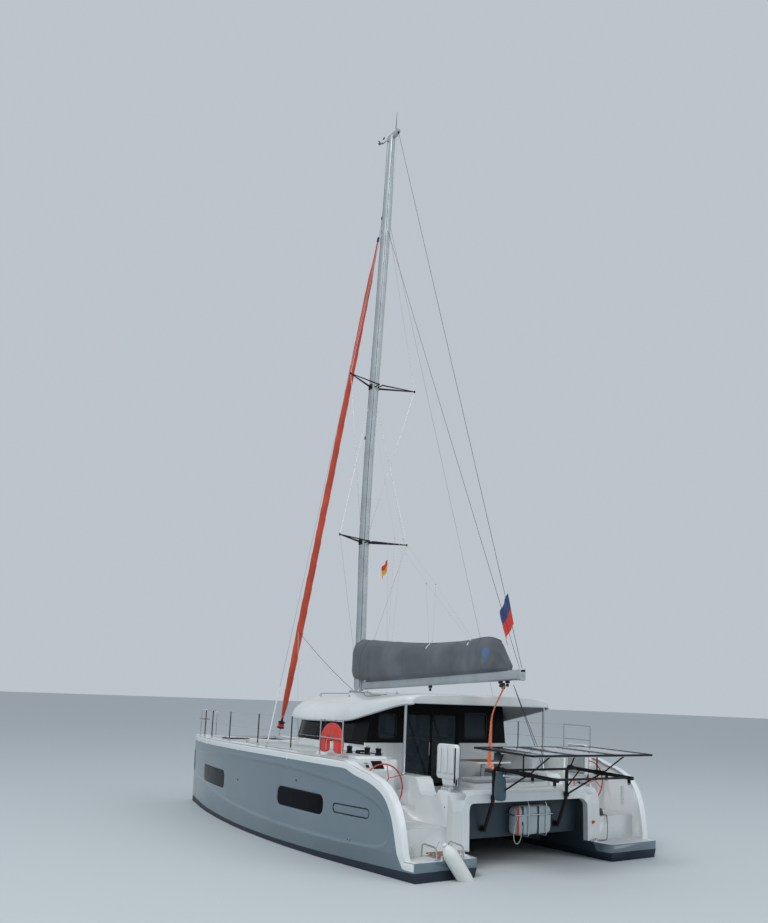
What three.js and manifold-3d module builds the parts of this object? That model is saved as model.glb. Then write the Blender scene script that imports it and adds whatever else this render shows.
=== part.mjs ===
// Cruising sailing catamaran, about eleven metres long, afloat with its sail stowed.
// Millimetres. +X forward, +Y port, +Z up. Origin amidships on the centreline at the waterline.
import * as THREE from 'three';
import { mergeVertices } from 'three/addons/utils/BufferGeometryUtils.js';
import Module from 'manifold-3d';

const wasm = await Module();
wasm.setup();

// Driving dimensions
const GAP = 0.3;
const SWING_GAP = 8;
const STERN_X = -5664;
const TUNNEL_Y = 1450;
const PLATFORM_Z = 310;
const WELL_FLOOR_Z = 730;
const WELL_AFT_X = -5050;
const WELL_FRONT_X = -3950;
const WELL_IN_Y = 1800;
const WELL_WALL = 100;
const COCKPIT_FLOOR_Z = 980;
const COAMING_Z = 1480;
const AFT_BEAM_Z = 1325;
const SALOON_FLOOR_Z = 1100;
const DECK_Z = 1760;
const BULKHEAD_X = -2400;
const WHEEL = { x: -4190, y: 2570, z: 1300, radius: 420, tube: 13, shaft: 18 };
const HELM_SEAT = {
  hingeY: 1745, hingeZ: 1348, x0: -5060, x1: -4590, thick: 170, height: 760, strapX: [-5000, -4860], strapHalf: 20,
  pin: 12,
};
const MAST = [
  [930, 3032],
  [965, 4750],
  [1015, 6710],
  [985, 8710],
  [885, 10720],
  [660, 14990],
  [545, 17600],
];
const MAST_HALF_CHORD = 140;
const MAST_HALF_WIDTH = 100;
const HOUND_Z = 15200;
const BOOM = { pivotX: 740, rootX: 690, rootZ: 3150, endX: -4930, endZ: 3400, depth: 200, width: 130, pin: 12 };
const BAG_RADIUS = 265;
const COLLAR_LOW_Z = 3275;
const CHAINPLATE = [-750, 3200, 1790];
const FORESTAY_FOOT = [5070, 0, 1775];
const FORESTAY_TOP = [835, 0, 15460];
const RUDDER = { x: -5150, y: 2262, topZ: -225, depth: 1080, chord: 430, stock: 24 };
const DRIVE = { x: -4330, y: 2262, shaftZ: -800 };
const PROP = { x: -4590, radius: 205, shaft: 15 };
const DAVIT = { y: 900, footX: -4975, kneeX: -5210, topZ: 1712, endX: -6800, endZ: 1640 };

// Colours, plain until the finish is added
const PAINT = {
  topsides: 0x8d9aa3,
  deck: 0xe9ebea,
  glass: 0x1d2429,
  metal: 0xb7bbbe,
  dark: 0x1f2326,
  canvas: 0x555b60,
  sail: 0xb23a2a,
  net: 0x6c7173,
  bottom: 0x1c2733,
  buoy: 0xc8281f,
  panel: 0x26303c,
};

const group = new THREE.Group();

// Solids from triangle lists, always facing out
function signedVolume(points, faces) {
  let sum = 0;
  for (let i = 0; i < faces.length; i += 3) {
    const [a, b, c] = [faces[i] * 3, faces[i + 1] * 3, faces[i + 2] * 3];
    sum += points[a] * (points[b + 1] * points[c + 2] - points[b + 2] * points[c + 1])
      - points[a + 1] * (points[b] * points[c + 2] - points[b + 2] * points[c])
      + points[a + 2] * (points[b] * points[c + 1] - points[b + 1] * points[c]);
  }
  return sum;
}

function solidFrom(points, faces) {
  const triVerts = Uint32Array.from(faces);
  if (signedVolume(points, triVerts) < 0) {
    for (let i = 0; i < triVerts.length; i += 3) {
      [triVerts[i + 1], triVerts[i + 2]] = [triVerts[i + 2], triVerts[i + 1]];
    }
  }
  const vertProperties = Float32Array.from(points);
  return new wasm.Manifold(new wasm.Mesh({ numProp: 3, vertProperties, triVerts }));
}

function solidOf(geometry, place = (p) => p) {
  const bare = geometry.clone();
  for (const name of Object.keys(bare.attributes)) {
    if (name !== 'position') bare.deleteAttribute(name);
  }
  const merged = mergeVertices(bare, 1e-3);
  const from = merged.getAttribute('position');
  const points = [];
  for (let i = 0; i < from.count; i += 1) {
    points.push(...place([from.getX(i), from.getY(i), from.getZ(i)]));
  }
  const faces = merged.index ? Array.from(merged.index.array) : [...Array(from.count).keys()];
  return solidFrom(points, faces);
}

function moved(solid, shift) {
  const mesh = solid.getMesh();
  const points = Array.from(mesh.vertProperties).map((v, i) => v + shift[i % 3]);
  return solidFrom(points, Array.from(mesh.triVerts));
}

function mirrored(solid) {
  const mesh = solid.getMesh();
  const points = Array.from(mesh.vertProperties);
  for (let i = 1; i < points.length; i += 3) points[i] = -points[i];
  return solidFrom(points, Array.from(mesh.triVerts));
}

const joined = (solids) => solids.reduce((a, b) => a.add(b));
const cutBy = (solid, cutters) => cutters.reduce((a, b) => a.subtract(b), solid);

// Basic shapes
function box([x0, x1], [y0, y1], [z0, z1]) {
  const shape = new THREE.BoxGeometry(x1 - x0, y1 - y0, z1 - z0);
  shape.translate((x0 + x1) / 2, (y0 + y1) / 2, (z0 + z1) / 2);
  return solidOf(shape);
}

const PLANES = {
  xy: ([u, v, w]) => [u, v, w],
  xz: ([u, v, w]) => [u, w, v],
  yz: ([u, v, w]) => [w, u, v],
};

function prism(outline, plane, [from, to]) {
  const shape = new THREE.Shape(outline.map(([u, v]) => new THREE.Vector2(u, v)));
  const body = new THREE.ExtrudeGeometry(shape, { depth: to - from, bevelEnabled: false });
  body.translate(0, 0, from);
  return solidOf(body, PLANES[plane]);
}

function rounded(outline, radius, steps = 3) {
  const out = [];
  const count = outline.length;
  outline.forEach((corner, i) => {
    const before = outline[(i + count - 1) % count];
    const after = outline[(i + 1) % count];
    const toward = (p) => {
      const length = Math.hypot(p[0] - corner[0], p[1] - corner[1]);
      const t = Math.min(radius, length * 0.48) / length;
      return [corner[0] + (p[0] - corner[0]) * t, corner[1] + (p[1] - corner[1]) * t];
    };
    const [a, b] = [toward(before), toward(after)];
    for (let k = 0; k <= steps; k += 1) {
      const t = k / steps;
      const mix = (j) => (1 - t) ** 2 * a[j] + 2 * t * (1 - t) * corner[j] + t * t * b[j];
      out.push([mix(0), mix(1)]);
    }
  });
  return out;
}

const rectangle = ([u0, u1], [v0, v1]) => [[u0, v0], [u1, v0], [u1, v1], [u0, v1]];

function roundedBox([x0, x1], [y0, y1], [z0, z1], radius, plane = 'xy') {
  if (plane === 'xy') return prism(rounded(rectangle([x0, x1], [y0, y1]), radius), 'xy', [z0, z1]);
  if (plane === 'xz') return prism(rounded(rectangle([x0, x1], [z0, z1]), radius), 'xz', [y0, y1]);
  return prism(rounded(rectangle([y0, y1], [z0, z1]), radius), 'yz', [x0, x1]);
}

function rod(from, to, radius, sides = 10, endRadius = radius) {
  const [a, b] = [new THREE.Vector3(...from), new THREE.Vector3(...to)];
  const shape = new THREE.CylinderGeometry(endRadius, radius, a.distanceTo(b), sides);
  const turn = new THREE.Quaternion().setFromUnitVectors(
    new THREE.Vector3(0, 1, 0), b.clone().sub(a).normalize());
  shape.applyQuaternion(turn);
  shape.translate(...a.add(b).multiplyScalar(0.5).toArray());
  return solidOf(shape);
}

// A hole that a pin of this radius turns in
const RUNNING = 0.2;
const BORE_SIDES = 16;
const bore = (from, to, radius) => rod(from, to, (radius + RUNNING) / Math.cos(Math.PI / BORE_SIDES), BORE_SIDES);

function pipe(points, radius, bend = 60, sides = 8) {
  const path = new THREE.CurvePath();
  const corner = points.map((p) => new THREE.Vector3(...p));
  let start = corner[0];
  for (let i = 1; i < corner.length - 1; i += 1) {
    const near = (other) => {
      const away = other.clone().sub(corner[i]);
      return corner[i].clone().addScaledVector(away.normalize(), Math.min(bend, away.length() * 1e9));
    };
    const [a, b] = [near(corner[i - 1]), near(corner[i + 1])];
    path.add(new THREE.LineCurve3(start, a));
    path.add(new THREE.QuadraticBezierCurve3(a, corner[i], b));
    start = b;
  }
  path.add(new THREE.LineCurve3(start, corner[corner.length - 1]));
  const ring = new THREE.Shape();
  for (let k = 0; k < sides; k += 1) {
    const angle = (k / sides) * Math.PI * 2;
    const spot = [Math.cos(angle) * radius, Math.sin(angle) * radius];
    if (k === 0) ring.moveTo(...spot);
    else ring.lineTo(...spot);
  }
  ring.closePath();
  const steps = Math.max(2, path.curves.length * 4);
  return solidOf(new THREE.ExtrudeGeometry(ring, { steps, extrudePath: path, bevelEnabled: false }));
}

function lathed(profile, sides, place) {
  const shape = new THREE.LatheGeometry(profile.map(([r, h]) => new THREE.Vector2(r, h)), sides);
  return solidOf(shape, place);
}

// A ring's end face, its triangles turned the same way as the ring
function capFaces(ring) {
  const normal = new THREE.Vector3();
  ring.forEach((p, i) => {
    const q = ring[(i + 1) % ring.length];
    normal.add(new THREE.Vector3(...p).cross(new THREE.Vector3(...q)));
  });
  const size = normal.toArray().map(Math.abs);
  const drop = size.indexOf(Math.max(...size));
  const [u, v] = [0, 1, 2].filter((axis) => axis !== drop);
  const flat = ring.map((p) => new THREE.Vector2(p[u], p[v]));
  const way = Math.sign(THREE.ShapeUtils.area(flat));
  return THREE.ShapeUtils.triangulateShape(flat, []).map((t) => {
    const turn = Math.sign(THREE.ShapeUtils.area(t.map((i) => flat[i])));
    return turn === way ? t : [t[0], t[2], t[1]];
  });
}

function loft(rings) {
  const size = rings[0].length;
  const faces = [];
  for (let i = 0; i < rings.length - 1; i += 1) {
    for (let j = 0; j < size; j += 1) {
      const next = (j + 1) % size;
      const [a, b] = [i * size + j, i * size + next];
      faces.push(a, b, b + size, a, b + size, a + size);
    }
  }
  const last = (rings.length - 1) * size;
  for (const [a, b, c] of capFaces(rings[0])) faces.push(a, c, b);
  for (const t of capFaces(rings[rings.length - 1])) faces.push(...t.map((i) => last + i));
  return solidFrom(rings.flat(2), faces);
}

function addNode(name, solid, colour, rough = 0.5, metal = 0) {
  const mesh = solid.getMesh();
  const shape = new THREE.BufferGeometry();
  shape.setAttribute('position', new THREE.BufferAttribute(Float32Array.from(mesh.vertProperties), 3));
  shape.setIndex(Array.from(mesh.triVerts));
  const clean = mergeVertices(shape, 1e-3);
  clean.computeVertexNormals();
  const material = new THREE.MeshStandardMaterial({ color: colour, roughness: rough, metalness: metal });
  const node = new THREE.Mesh(clean, material);
  node.name = name;
  group.add(node);
}

function addPair(name, solid, colour, rough, metal) {
  addNode(`${name}_port`, solid, colour, rough, metal);
  addNode(`${name}_starboard`, mirrored(solid), colour, rough, metal);
}

// Hull sections, one row each
const HULL_COLUMNS = ['x', 'deckOut', 'deckIn', 'chineOut', 'bootOut', 'bootIn', 'chineZ', 'knuckleZ',
  'sheerZ', 'keelZ'];
const HULL_ROWS = [
  [STERN_X, 2898, 1616, 2898, 2892, 1622, 400, 1150, DECK_Z, -30],
  [-5350, 2975, 1500, 2975, 2925, 1600, 400, 1200, DECK_Z, -140],
  [-5190, 3010, TUNNEL_Y, 3010, 2940, 1600, 405, 1230, DECK_Z, -185],
  [-4700, 3100, TUNNEL_Y, 3100, 2985, 1600, 410, 1300, DECK_Z, -280],
  [-3800, 3215, TUNNEL_Y, 3215, 3070, 1585, 400, 1380, 1770, -400],
  [-2800, 3275, TUNNEL_Y, 3275, 3150, 1570, 385, 1440, 1780, -470],
  [-1500, 3285, TUNNEL_Y, 3285, 3185, 1560, 390, 1470, 1785, -510],
  [-200, 3245, TUNNEL_Y, 3240, 3150, 1570, 420, 1480, 1780, -520],
  [1000, 3160, TUNNEL_Y, 3150, 3060, 1590, 480, 1475, 1775, -520],
  [2200, 3030, 1462, 3000, 2910, 1640, 560, 1460, 1765, -510],
  [3200, 2870, 1580, 2830, 2750, 1710, 640, 1440, 1755, -490],
  [4200, 2650, 1730, 2610, 2540, 1830, 710, 1420, 1745, -450],
  [5000, 2430, 1900, 2400, 2345, 1965, 750, 1405, 1735, -380],
  [5480, 2260, 2040, 2250, 2230, 2070, 770, 1400, 1728, -230],
  [5664, 2168, 2132, 2165, 2160, 2140, 780, 1400, 1725, -40],
];
const BOOT_Z = 130;

const hullStations = HULL_ROWS.map((row) => Object.fromEntries(HULL_COLUMNS.map((c, i) => [c, row[i]])));

function hullAt(x, column) {
  const after = hullStations.findIndex((s) => s.x >= x);
  if (after <= 0) return hullStations[0][column];
  const [a, b] = [hullStations[after - 1], hullStations[after]];
  const t = (x - a.x) / (b.x - a.x);
  return a[column] + (b[column] - a[column]) * t;
}

function hullRing(s) {
  const middle = (s.bootOut + s.bootIn) / 2;
  const half = (s.bootOut - s.bootIn) / 2;
  const lower = (side, y, z) => [s.x, middle + side * half * y, z];
  return [
    [s.x, s.deckOut, s.sheerZ],
    [s.x, s.deckOut + 4, s.knuckleZ],
    [s.x, s.chineOut, s.chineZ],
    [s.x, s.bootOut, BOOT_Z],
    lower(1, 0.93, s.keelZ * 0.42),
    lower(1, 0.66, s.keelZ * 0.8),
    lower(1, 0.2, s.keelZ),
    lower(-1, 0.2, s.keelZ),
    lower(-1, 0.66, s.keelZ * 0.8),
    lower(-1, 0.93, s.keelZ * 0.42),
    [s.x, s.bootIn, BOOT_Z],
    [s.x, s.bootIn * 0.45 + s.deckIn * 0.55, 480],
    [s.x, s.deckIn, 800],
    [s.x, s.deckIn, s.sheerZ],
  ];
}

// The gunwale drops round the helm to the bathing platform
const STERN_CURVE = [
  [-3900, 1900],
  [-3900, 1768],
  [-4250, 1672],
  [-4600, 1590],
  [-4880, 1480],
  [-5060, 1350],
  [-5190, 1180],
  [-5290, 960],
  [-5360, 700],
  [-5420, 380],
  [-5430, PLATFORM_Z],
  [-5800, PLATFORM_Z],
  [-5800, 1900],
];
const SILL_Z = 1190;
const HORN_CURVE = [
  [-4080, 1900],
  [-4080, COAMING_Z - 15],
  [-4140, 1430],
  [-4235, 1235],
  [-4290, SILL_Z],
  [-4690, SILL_Z],
  [-4730, 1215],
  [-4770, 1300],
  [-4810, AFT_BEAM_Z],
  [-4960, AFT_BEAM_Z],
  [-5080, 1280],
  [-5165, 1180],
  [-5205, 1000],
  [-5225, PLATFORM_Z],
  [-5800, PLATFORM_Z],
  [-5800, 1900],
];
const STAIRS = [
  { x: -4120, z: 975 },
  { x: -3860, z: 1230 },
  { x: -3600, z: COAMING_Z },
];
const STAIR_OUT_Y = 2110;
const DASH = { footZ: 1590, headX: -3790, y: [2215, 2880] };

function wellOutline(aft, front) {
  const inside = (x) => hullAt(x, 'deckOut') - WELL_WALL;
  const knees = [-4500, -5050].filter((x) => x < front && x > aft);
  return [[aft, WELL_IN_Y], [front, WELL_IN_Y], ...[front, ...knees].map((x) => [x, inside(x)]),
    [aft, inside(-5350)]];
}

const LID_LEDGE_Z = WELL_FLOOR_Z - 32;
const ENGINE_POCKET = { x: [-4990, -4350], y: [2020, 2640], z: [60, 700] };
const HATCH = { x: [2650, 3250], y: [1950, 2500], ledgeZ: DECK_Z - 24 };

function hull() {
  const shell = loft(hullStations.map(hullRing));
  const well = prism(wellOutline(-5800, WELL_AFT_X), 'xy', [PLATFORM_Z, 2000]);
  const helmFloor = prism(wellOutline(WELL_AFT_X - 1, WELL_FRONT_X), 'xy', [WELL_FLOOR_Z, 2000]);
  const steps = joined(STAIRS.map(({ x, z }) => box([x, WELL_FRONT_X + 400], [WELL_IN_Y - 1, STAIR_OUT_Y],
    [WELL_FLOOR_Z - 10, z])));
  const stairwell = box([STAIRS[0].x, STAIRS[2].x + 300], [WELL_IN_Y, STAIR_OUT_Y], [WELL_FLOOR_Z, 2000]);
  const hollow = joined([well, helmFloor, stairwell]).subtract(steps);
  const lid = ENGINE_POCKET;
  const cutters = [
    prism(STERN_CURVE, 'xz', [STAIR_OUT_Y, 3500]),
    prism(HORN_CURVE, 'xz', [1200, STAIR_OUT_Y + 1]),
    hollow,
    box([-4080, BULKHEAD_X + 80], [1200, WELL_IN_Y], [COAMING_Z, 2000]),
    prism([[WELL_FRONT_X - 1, DASH.footZ], [DASH.headX, hullAt(DASH.headX, 'sheerZ') + 1],
      [WELL_FRONT_X - 1, 2000]], 'xz', [DASH.y[0], hullAt(WELL_FRONT_X, 'deckOut') - WELL_WALL]),
    box(lid.x, lid.y, lid.z),
    box([lid.x[0] - 30, lid.x[1] + 30], [lid.y[0] - 30, lid.y[1] + 30], [LID_LEDGE_Z, WELL_FLOOR_Z + 1]),
    box(HATCH.x, HATCH.y, [HATCH.ledgeZ, 2000]),
    box([HATCH.x[0] + 40, HATCH.x[1] - 40], [HATCH.y[0] + 40, HATCH.y[1] - 40], [HATCH.ledgeZ - 120, 2000]),
    bore([RUDDER.x, RUDDER.y, -600], [RUDDER.x, RUDDER.y, 50], RUDDER.stock),
    bore([WELL_FRONT_X - 20, WHEEL.y, WHEEL.z], [WELL_FRONT_X + 60, WHEEL.y, WHEEL.z], WHEEL.shaft),
  ];
  return joined([cutBy(shell, cutters), ...seatLugs()]);
}

function seatLugs() {
  const { hingeY, hingeZ, strapX, strapHalf, pin } = HELM_SEAT;
  const lugs = strapX.flatMap((x) => [-1, 1].map((side) => {
    const inner = x + side * (strapHalf + 1);
    const span = [inner, inner + side * 14].sort((a, b) => a - b);
    return box(span, [hingeY - 24, hingeY + 24], [AFT_BEAM_Z - 60, hingeZ + 26]);
  }));
  const hole = bore([-5200, hingeY, hingeZ], [-4700, hingeY, hingeZ], pin);
  return lugs.map((lug) => lug.subtract(hole));
}

// Fin keel stubs, rudders and drives under each hull
function keel() {
  const outline = (half, front, aft) => [
    [front, 0], [front - 260, half * 0.8], [front - 800, half], [aft + 500, half * 0.7], [aft, 8],
    [aft, -8], [aft + 500, -half * 0.7], [front - 800, -half], [front - 260, -half * 0.8],
  ];
  const middle = 2350;
  const ring = (z, half, front, aft) => outline(half, front, aft).map(([x, y]) => [x, y + middle, z]);
  const bottom = loft([ring(-1150, 105, 1050, -950), ring(-430, 135, 1400, -1250)]);
  return bottom.subtract(moved(hull(), [0, 0, -GAP]));
}

function foil(chord, half, x, y, z, lead) {
  const stations = [[0, 0], [0.08, 0.72], [0.28, 1], [0.6, 0.72], [1, 0.06]];
  const upper = stations.map(([u, w]) => [x + lead - u * chord, y + w * half, z]);
  const under = stations.slice(1).reverse().map(([u, w]) => [x + lead - u * chord, y - w * half, z]);
  return [...upper, ...under];
}

function rudder() {
  const { x, y, topZ, depth, chord } = RUDDER;
  const blade = loft([
    foil(chord * 0.72, 24, x, y, -depth, 95),
    foil(chord, 34, x, y, topZ - 60, 130),
  ]);
  return blade.add(rod([x, y, topZ - 80], [x, y, 40], RUDDER.stock, BORE_SIDES));
}

function drive() {
  const { x, y, shaftZ } = DRIVE;
  const leg = loft([
    foil(330, 38, x, y, shaftZ - 90, 150),
    foil(330, 42, x, y, shaftZ + 90, 150),
    foil(400, 60, x, y, -200, 190),
  ]);
  const gear = lathed([[0, -160], [30, -140], [62, -60], [62, 90], [46, 164], [0, 164]], 20,
    ([a, h, b]) => [x - h - 30, y + a, shaftZ + b]);
  const hole = bore([x - 300, y, shaftZ], [PROP.x + 150, y, shaftZ], PROP.shaft);
  return cutBy(leg.add(gear), [moved(hull(), [0, 0, -GAP]), hole]);
}

function propeller() {
  const { y, shaftZ } = DRIVE;
  const hub = lathed([[0, 0], [52, 0], [50, 70], [24, 120], [0, 126]], 18,
    ([a, h, b]) => [PROP.x + 60 - h, y + a, shaftZ + b]);
  const blades = [0, 1, 2].map((k) => {
    const angle = (k * 2 * Math.PI) / 3;
    const ring = (r, width, pitch) => [[-1, -1], [1, -1], [1, 1], [-1, 1]].map(([u, w]) => {
      const along = u * width;
      const across = w * 5;
      const dx = along * Math.sin(pitch) + across * Math.cos(pitch);
      const side = along * Math.cos(pitch) - across * Math.sin(pitch);
      return [PROP.x + 25 + dx, y + r * Math.cos(angle) - side * Math.sin(angle),
        shaftZ + r * Math.sin(angle) + side * Math.cos(angle)];
    });
    return ring;
  }).map((ring, k) => {
    const rings = [ring(38, 34, 0.9), ring(100, 62, 0.62), ring(165, 58, 0.45), ring(PROP.radius, 26, 0.38)];
    return loft(rings);
  });
  const shaft = rod([PROP.x, y, shaftZ], [PROP.x + 142, y, shaftZ], PROP.shaft, BORE_SIDES);
  return joined([hub, shaft, ...blades]);
}

function engine() {
  const { x, y, z } = ENGINE_POCKET;
  return box([x[0] + 60, x[1] - 60], [y[0] + 90, y[1] - 90], [z[0] + GAP, z[1] - 130]);
}

function engineLid() {
  const { x, y } = ENGINE_POCKET;
  return box([x[0] - 22, x[1] + 22], [y[0] - 22, y[1] + 22], [LID_LEDGE_Z + GAP, WELL_FLOOR_Z + 2]);
}

function deckHatch() {
  const { x, y } = HATCH;
  return roundedBox([x[0] + 8, x[1] - 8], [y[0] + 8, y[1] - 8], [HATCH.ledgeZ + GAP, DECK_Z + 22], 70);
}

// The middle body carries the cockpit, the saloon floor and the foredeck
function bridgedeck() {
  const edge = TUNNEL_Y - GAP;
  const profile = [
    [-4900, 470], [-4900, 1090], [-5100, 1100], [-5150, 1160], [-5150, 1240], [-5100, 1300], [-5040, AFT_BEAM_Z],
    [BULKHEAD_X - 100, AFT_BEAM_Z], ...[BULKHEAD_X - 100, -1500, -200, 1000, 2200].map((x) => [x, hullAt(x, 'sheerZ')]),
    [2450, DECK_Z], [2640, 1700],
    [2700, 1560], [2560, 900], [2350, 640], [0, 520],
  ];
  const body = prism(profile, 'xz', [-edge, edge]);
  const cutters = [
    box([-4700, BULKHEAD_X - 60], [-edge - 5, edge + 5], [COCKPIT_FLOOR_Z, 3000]),
    box([BULKHEAD_X + 60, 1560], [-edge + 60, edge - 60], [SALOON_FLOOR_Z, 3000]),
    box([BULKHEAD_X - 120, BULKHEAD_X + 80], [-500, 960], [SALOON_FLOOR_Z, 3000]),
  ];
  const sides = [[-edge - 5, -edge + 260], [edge - 260, edge + 5]].map((y) => (
    box([-4701, BULKHEAD_X - 60], y, [COCKPIT_FLOOR_Z, 3000])));
  return cutBy(body, [...cutters, ...sides]);
}

const CABIN_BASE = [
  [BULKHEAD_X, 1850], [-1000, 1850], [300, 1810], [900, 1660], [1350, 1330], [1580, 850], [1660, 300],
];
const CABIN_TOP = [
  [BULKHEAD_X, 1740], [-1000, 1735], [250, 1680], [780, 1530], [1180, 1220], [1400, 780], [1480, 280],
];
const COAMING_TOP_Z = 1930;
const CABIN_TOP_Z = 3100;

function cabinOutline(points, inset) {
  const half = points.map(([x, y], i) => {
    const before = points[Math.max(0, i - 1)];
    const after = points[Math.min(points.length - 1, i + 1)];
    const [dx, dy] = [after[0] - before[0], after[1] - before[1]];
    const length = Math.hypot(dx, dy);
    return [x + (dy / length) * inset * (i ? 1 : 0), y - (dx / length) * inset];
  });
  return [...half, ...half.slice().reverse().map(([x, y]) => [x, -y])];
}

function cabinSolid(inset, z0, z1) {
  const ring = (z) => {
    const t = (z - DECK_Z) / (2620 - DECK_Z);
    const [low, high] = [cabinOutline(CABIN_BASE, inset), cabinOutline(CABIN_TOP, inset)];
    return low.map(([x, y], i) => [x + (high[i][0] - x) * t, y + (high[i][1] - y) * t, z]);
  };
  return loft([ring(z0), ring(z1)]);
}

const AFT_WALL = [BULKHEAD_X - 40, BULKHEAD_X + 20];
const DOOR = { y: [-470, 930], z: [SALOON_FLOOR_Z + 12, 2600] };

function cabinCoaming() {
  const base = DECK_Z - 40;
  const ring = cabinSolid(0, base, COAMING_TOP_Z).subtract(cabinSolid(60, base - 5, COAMING_TOP_Z + 5)
    .intersect(box([AFT_WALL[1], 4000], [-3000, 3000], [0, 4000])));
  const aft = box([AFT_WALL[0], AFT_WALL[1] + 30], [-1840, 1840], [base, COAMING_TOP_Z + 50]);
  const doorway = box([-3000, BULKHEAD_X + 200], [DOOR.y[0] - 30, DOOR.y[1] + 30], [0, 4000]);
  const sheer = [-3000, -2800, -1500, -200, 1000, 2200, 3000].map((x) => [x, hullAt(x, 'sheerZ') + GAP]);
  const decks = prism([[-3000, 1600], [3000, 1600], ...sheer.reverse()], 'xz', [-3000, 3000]);
  return cutBy(ring.add(aft), [doorway, decks]);
}

// Roof sections from aft to forward
const ROOF_COLUMNS = ['x', 'half', 'edgeZ', 'crownZ', 'power'];
const ROOF_ROWS = [
  [-3850, 1740, 2785, 2975, 4.6],
  [-3740, 1840, 2775, 2985, 4.6],
  [-3400, 1920, 2710, 2990, 4.3],
  [-2600, 1945, 2545, 2990, 3.3],
  [-1760, 1950, 2400, 2990, 2.7],
  [-800, 1950, 2360, 2990, 2.4],
  [0, 1940, 2350, 2990, 2.3],
  [600, 1870, 2350, 2985, 2.3],
  [1000, 1730, 2355, 2960, 2.3],
  [1350, 1520, 2370, 2900, 2.3],
  [1650, 1260, 2390, 2820, 2.3],
  [1900, 960, 2420, 2720, 2.3],
  [2080, 600, 2450, 2620, 2.3],
];
const ROOF_SKIN = 50;
const ROOF_STEPS = 14;
const FASCIA = { depth: 120, lowZ: 2785 };

function roofSolid(inset, floorZ) {
  const rows = ROOF_ROWS.map((row) => Object.fromEntries(ROOF_COLUMNS.map((c, i) => [c, row[i]])));
  const rings = rows.map(({ x, half, edgeZ, crownZ, power }, i) => {
    const along = x + (i === 0 ? inset : 0) - (i === rows.length - 1 ? inset : 0);
    const over = [];
    for (let k = 0; k <= ROOF_STEPS; k += 1) {
      const angle = (k / ROOF_STEPS) * Math.PI;
      const [c, s] = [Math.cos(angle), Math.sin(angle)];
      const u = Math.sign(c) * Math.abs(c) ** (2 / power);
      const w = s ** (2 / power);
      over.push([along, u * (half - inset), edgeZ + (crownZ - edgeZ - inset) * w]);
    }
    const first = over[0];
    const last = over[over.length - 1];
    return [...over, [along, last[1], floorZ(edgeZ)], [along, first[1], floorZ(edgeZ)]];
  });
  return loft(rings);
}

const underRoof = (extra) => roofSolid(ROOF_SKIN + extra, (z) => z - 2500);

function roof() {
  const outer = roofSolid(0, (z) => z - 14);
  const aft = ROOF_ROWS[0][0];
  const fascia = outer.intersect(box([aft, aft + FASCIA.depth], [-2000, 2000], [FASCIA.lowZ, 3000]));
  return outer.subtract(underRoof(0)).add(fascia);
}

function saloonGlass() {
  const band = cabinSolid(6, COAMING_TOP_Z + GAP, CABIN_TOP_Z)
    .subtract(cabinSolid(34, COAMING_TOP_Z - 5, CABIN_TOP_Z + 5));
  const ahead = box([AFT_WALL[1] + 30 + GAP, 4000], [-3000, 3000], [0, 4000]);
  return band.intersect(ahead).intersect(underRoof(GAP));
}

function aftBulkhead() {
  const slab = cabinSolid(0, DECK_Z + 30, CABIN_TOP_Z)
    .intersect(box([BULKHEAD_X, BULKHEAD_X + 50], [-3000, 3000], [COAMING_TOP_Z + 50 + GAP, 4000]));
  const frame = box([BULKHEAD_X, BULKHEAD_X + 50], [DOOR.y[0] - 29, DOOR.y[1] + 29],
    [SALOON_FLOOR_Z + GAP, 2700]);
  const openings = [
    box([-3000, -2000], DOOR.y, DOOR.z),
    roundedBox([-3000, -2000], [-1270, -640], [2060, 2620], 80, 'yz'),
    roundedBox([-3000, -2000], [1110, 1560], [2060, 2560], 80, 'yz'),
  ];
  return cutBy(slab.add(frame).intersect(underRoof(GAP)), openings);
}

function glassPane([x0, x1], y, z) {
  return box([x0, x1], y, z);
}

function saloonFurniture() {
  const counter = box([-2200, -500], [-1380, -850], [SALOON_FLOOR_Z + GAP, 1960]);
  const seat = box([-520, 1200], [-1380, -700], [SALOON_FLOOR_Z + GAP, 1520]);
  const back = box([900, 1500], [-1380, 1380], [SALOON_FLOOR_Z + GAP, 1520]);
  const portSeat = box([-1300, 1000], [700, 1380], [SALOON_FLOOR_Z + GAP, 1520]);
  return joined([counter, seat, back, portSeat]);
}

function roofPost(side) {
  const [x, y, foot] = [-3660, side * 1770, COAMING_Z + GAP];
  const post = rod([x, y, foot], [x, y, 2900], 26, 12).intersect(underRoof(GAP));
  const base = rod([x, y, foot], [x, y, foot + 14], 58, 14);
  return post.add(base).intersect(box([-4000, -3000], [1 - WELL_IN_Y, WELL_IN_Y - 1], [0, 4000]));
}

// Rig
function ellipseRing([x, z], halfX, halfY, count = 20) {
  return [...Array(count).keys()].map((k) => {
    const angle = (k / count) * Math.PI * 2;
    return [x + halfX * Math.cos(angle), halfY * Math.sin(angle), z];
  });
}

function mastX(z) {
  const i = Math.min(MAST.length - 2, Math.max(0, MAST.findIndex((p) => p[1] > z) - 1));
  const [a, b] = [MAST[i], MAST[i + 1]];
  return a[0] + ((b[0] - a[0]) * (z - a[1])) / (b[1] - a[1]);
}

function mastSpar(extra) {
  return loft(MAST.map((p) => ellipseRing(p, MAST_HALF_CHORD + extra, MAST_HALF_WIDTH + extra)));
}

function gooseneck() {
  const { pivotX, rootZ } = BOOM;
  const pin = rod([pivotX, 0, rootZ - 92], [pivotX, 0, rootZ + 92], BOOM.pin, BORE_SIDES);
  const cheeks = [-1, 1].map((s) => box([pivotX - 26, 900], [-30, 30],
    s < 0 ? [rootZ - 94, rootZ - 70] : [rootZ + 70, rootZ + 94]));
  return joined([pin, ...cheeks]);
}

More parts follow.
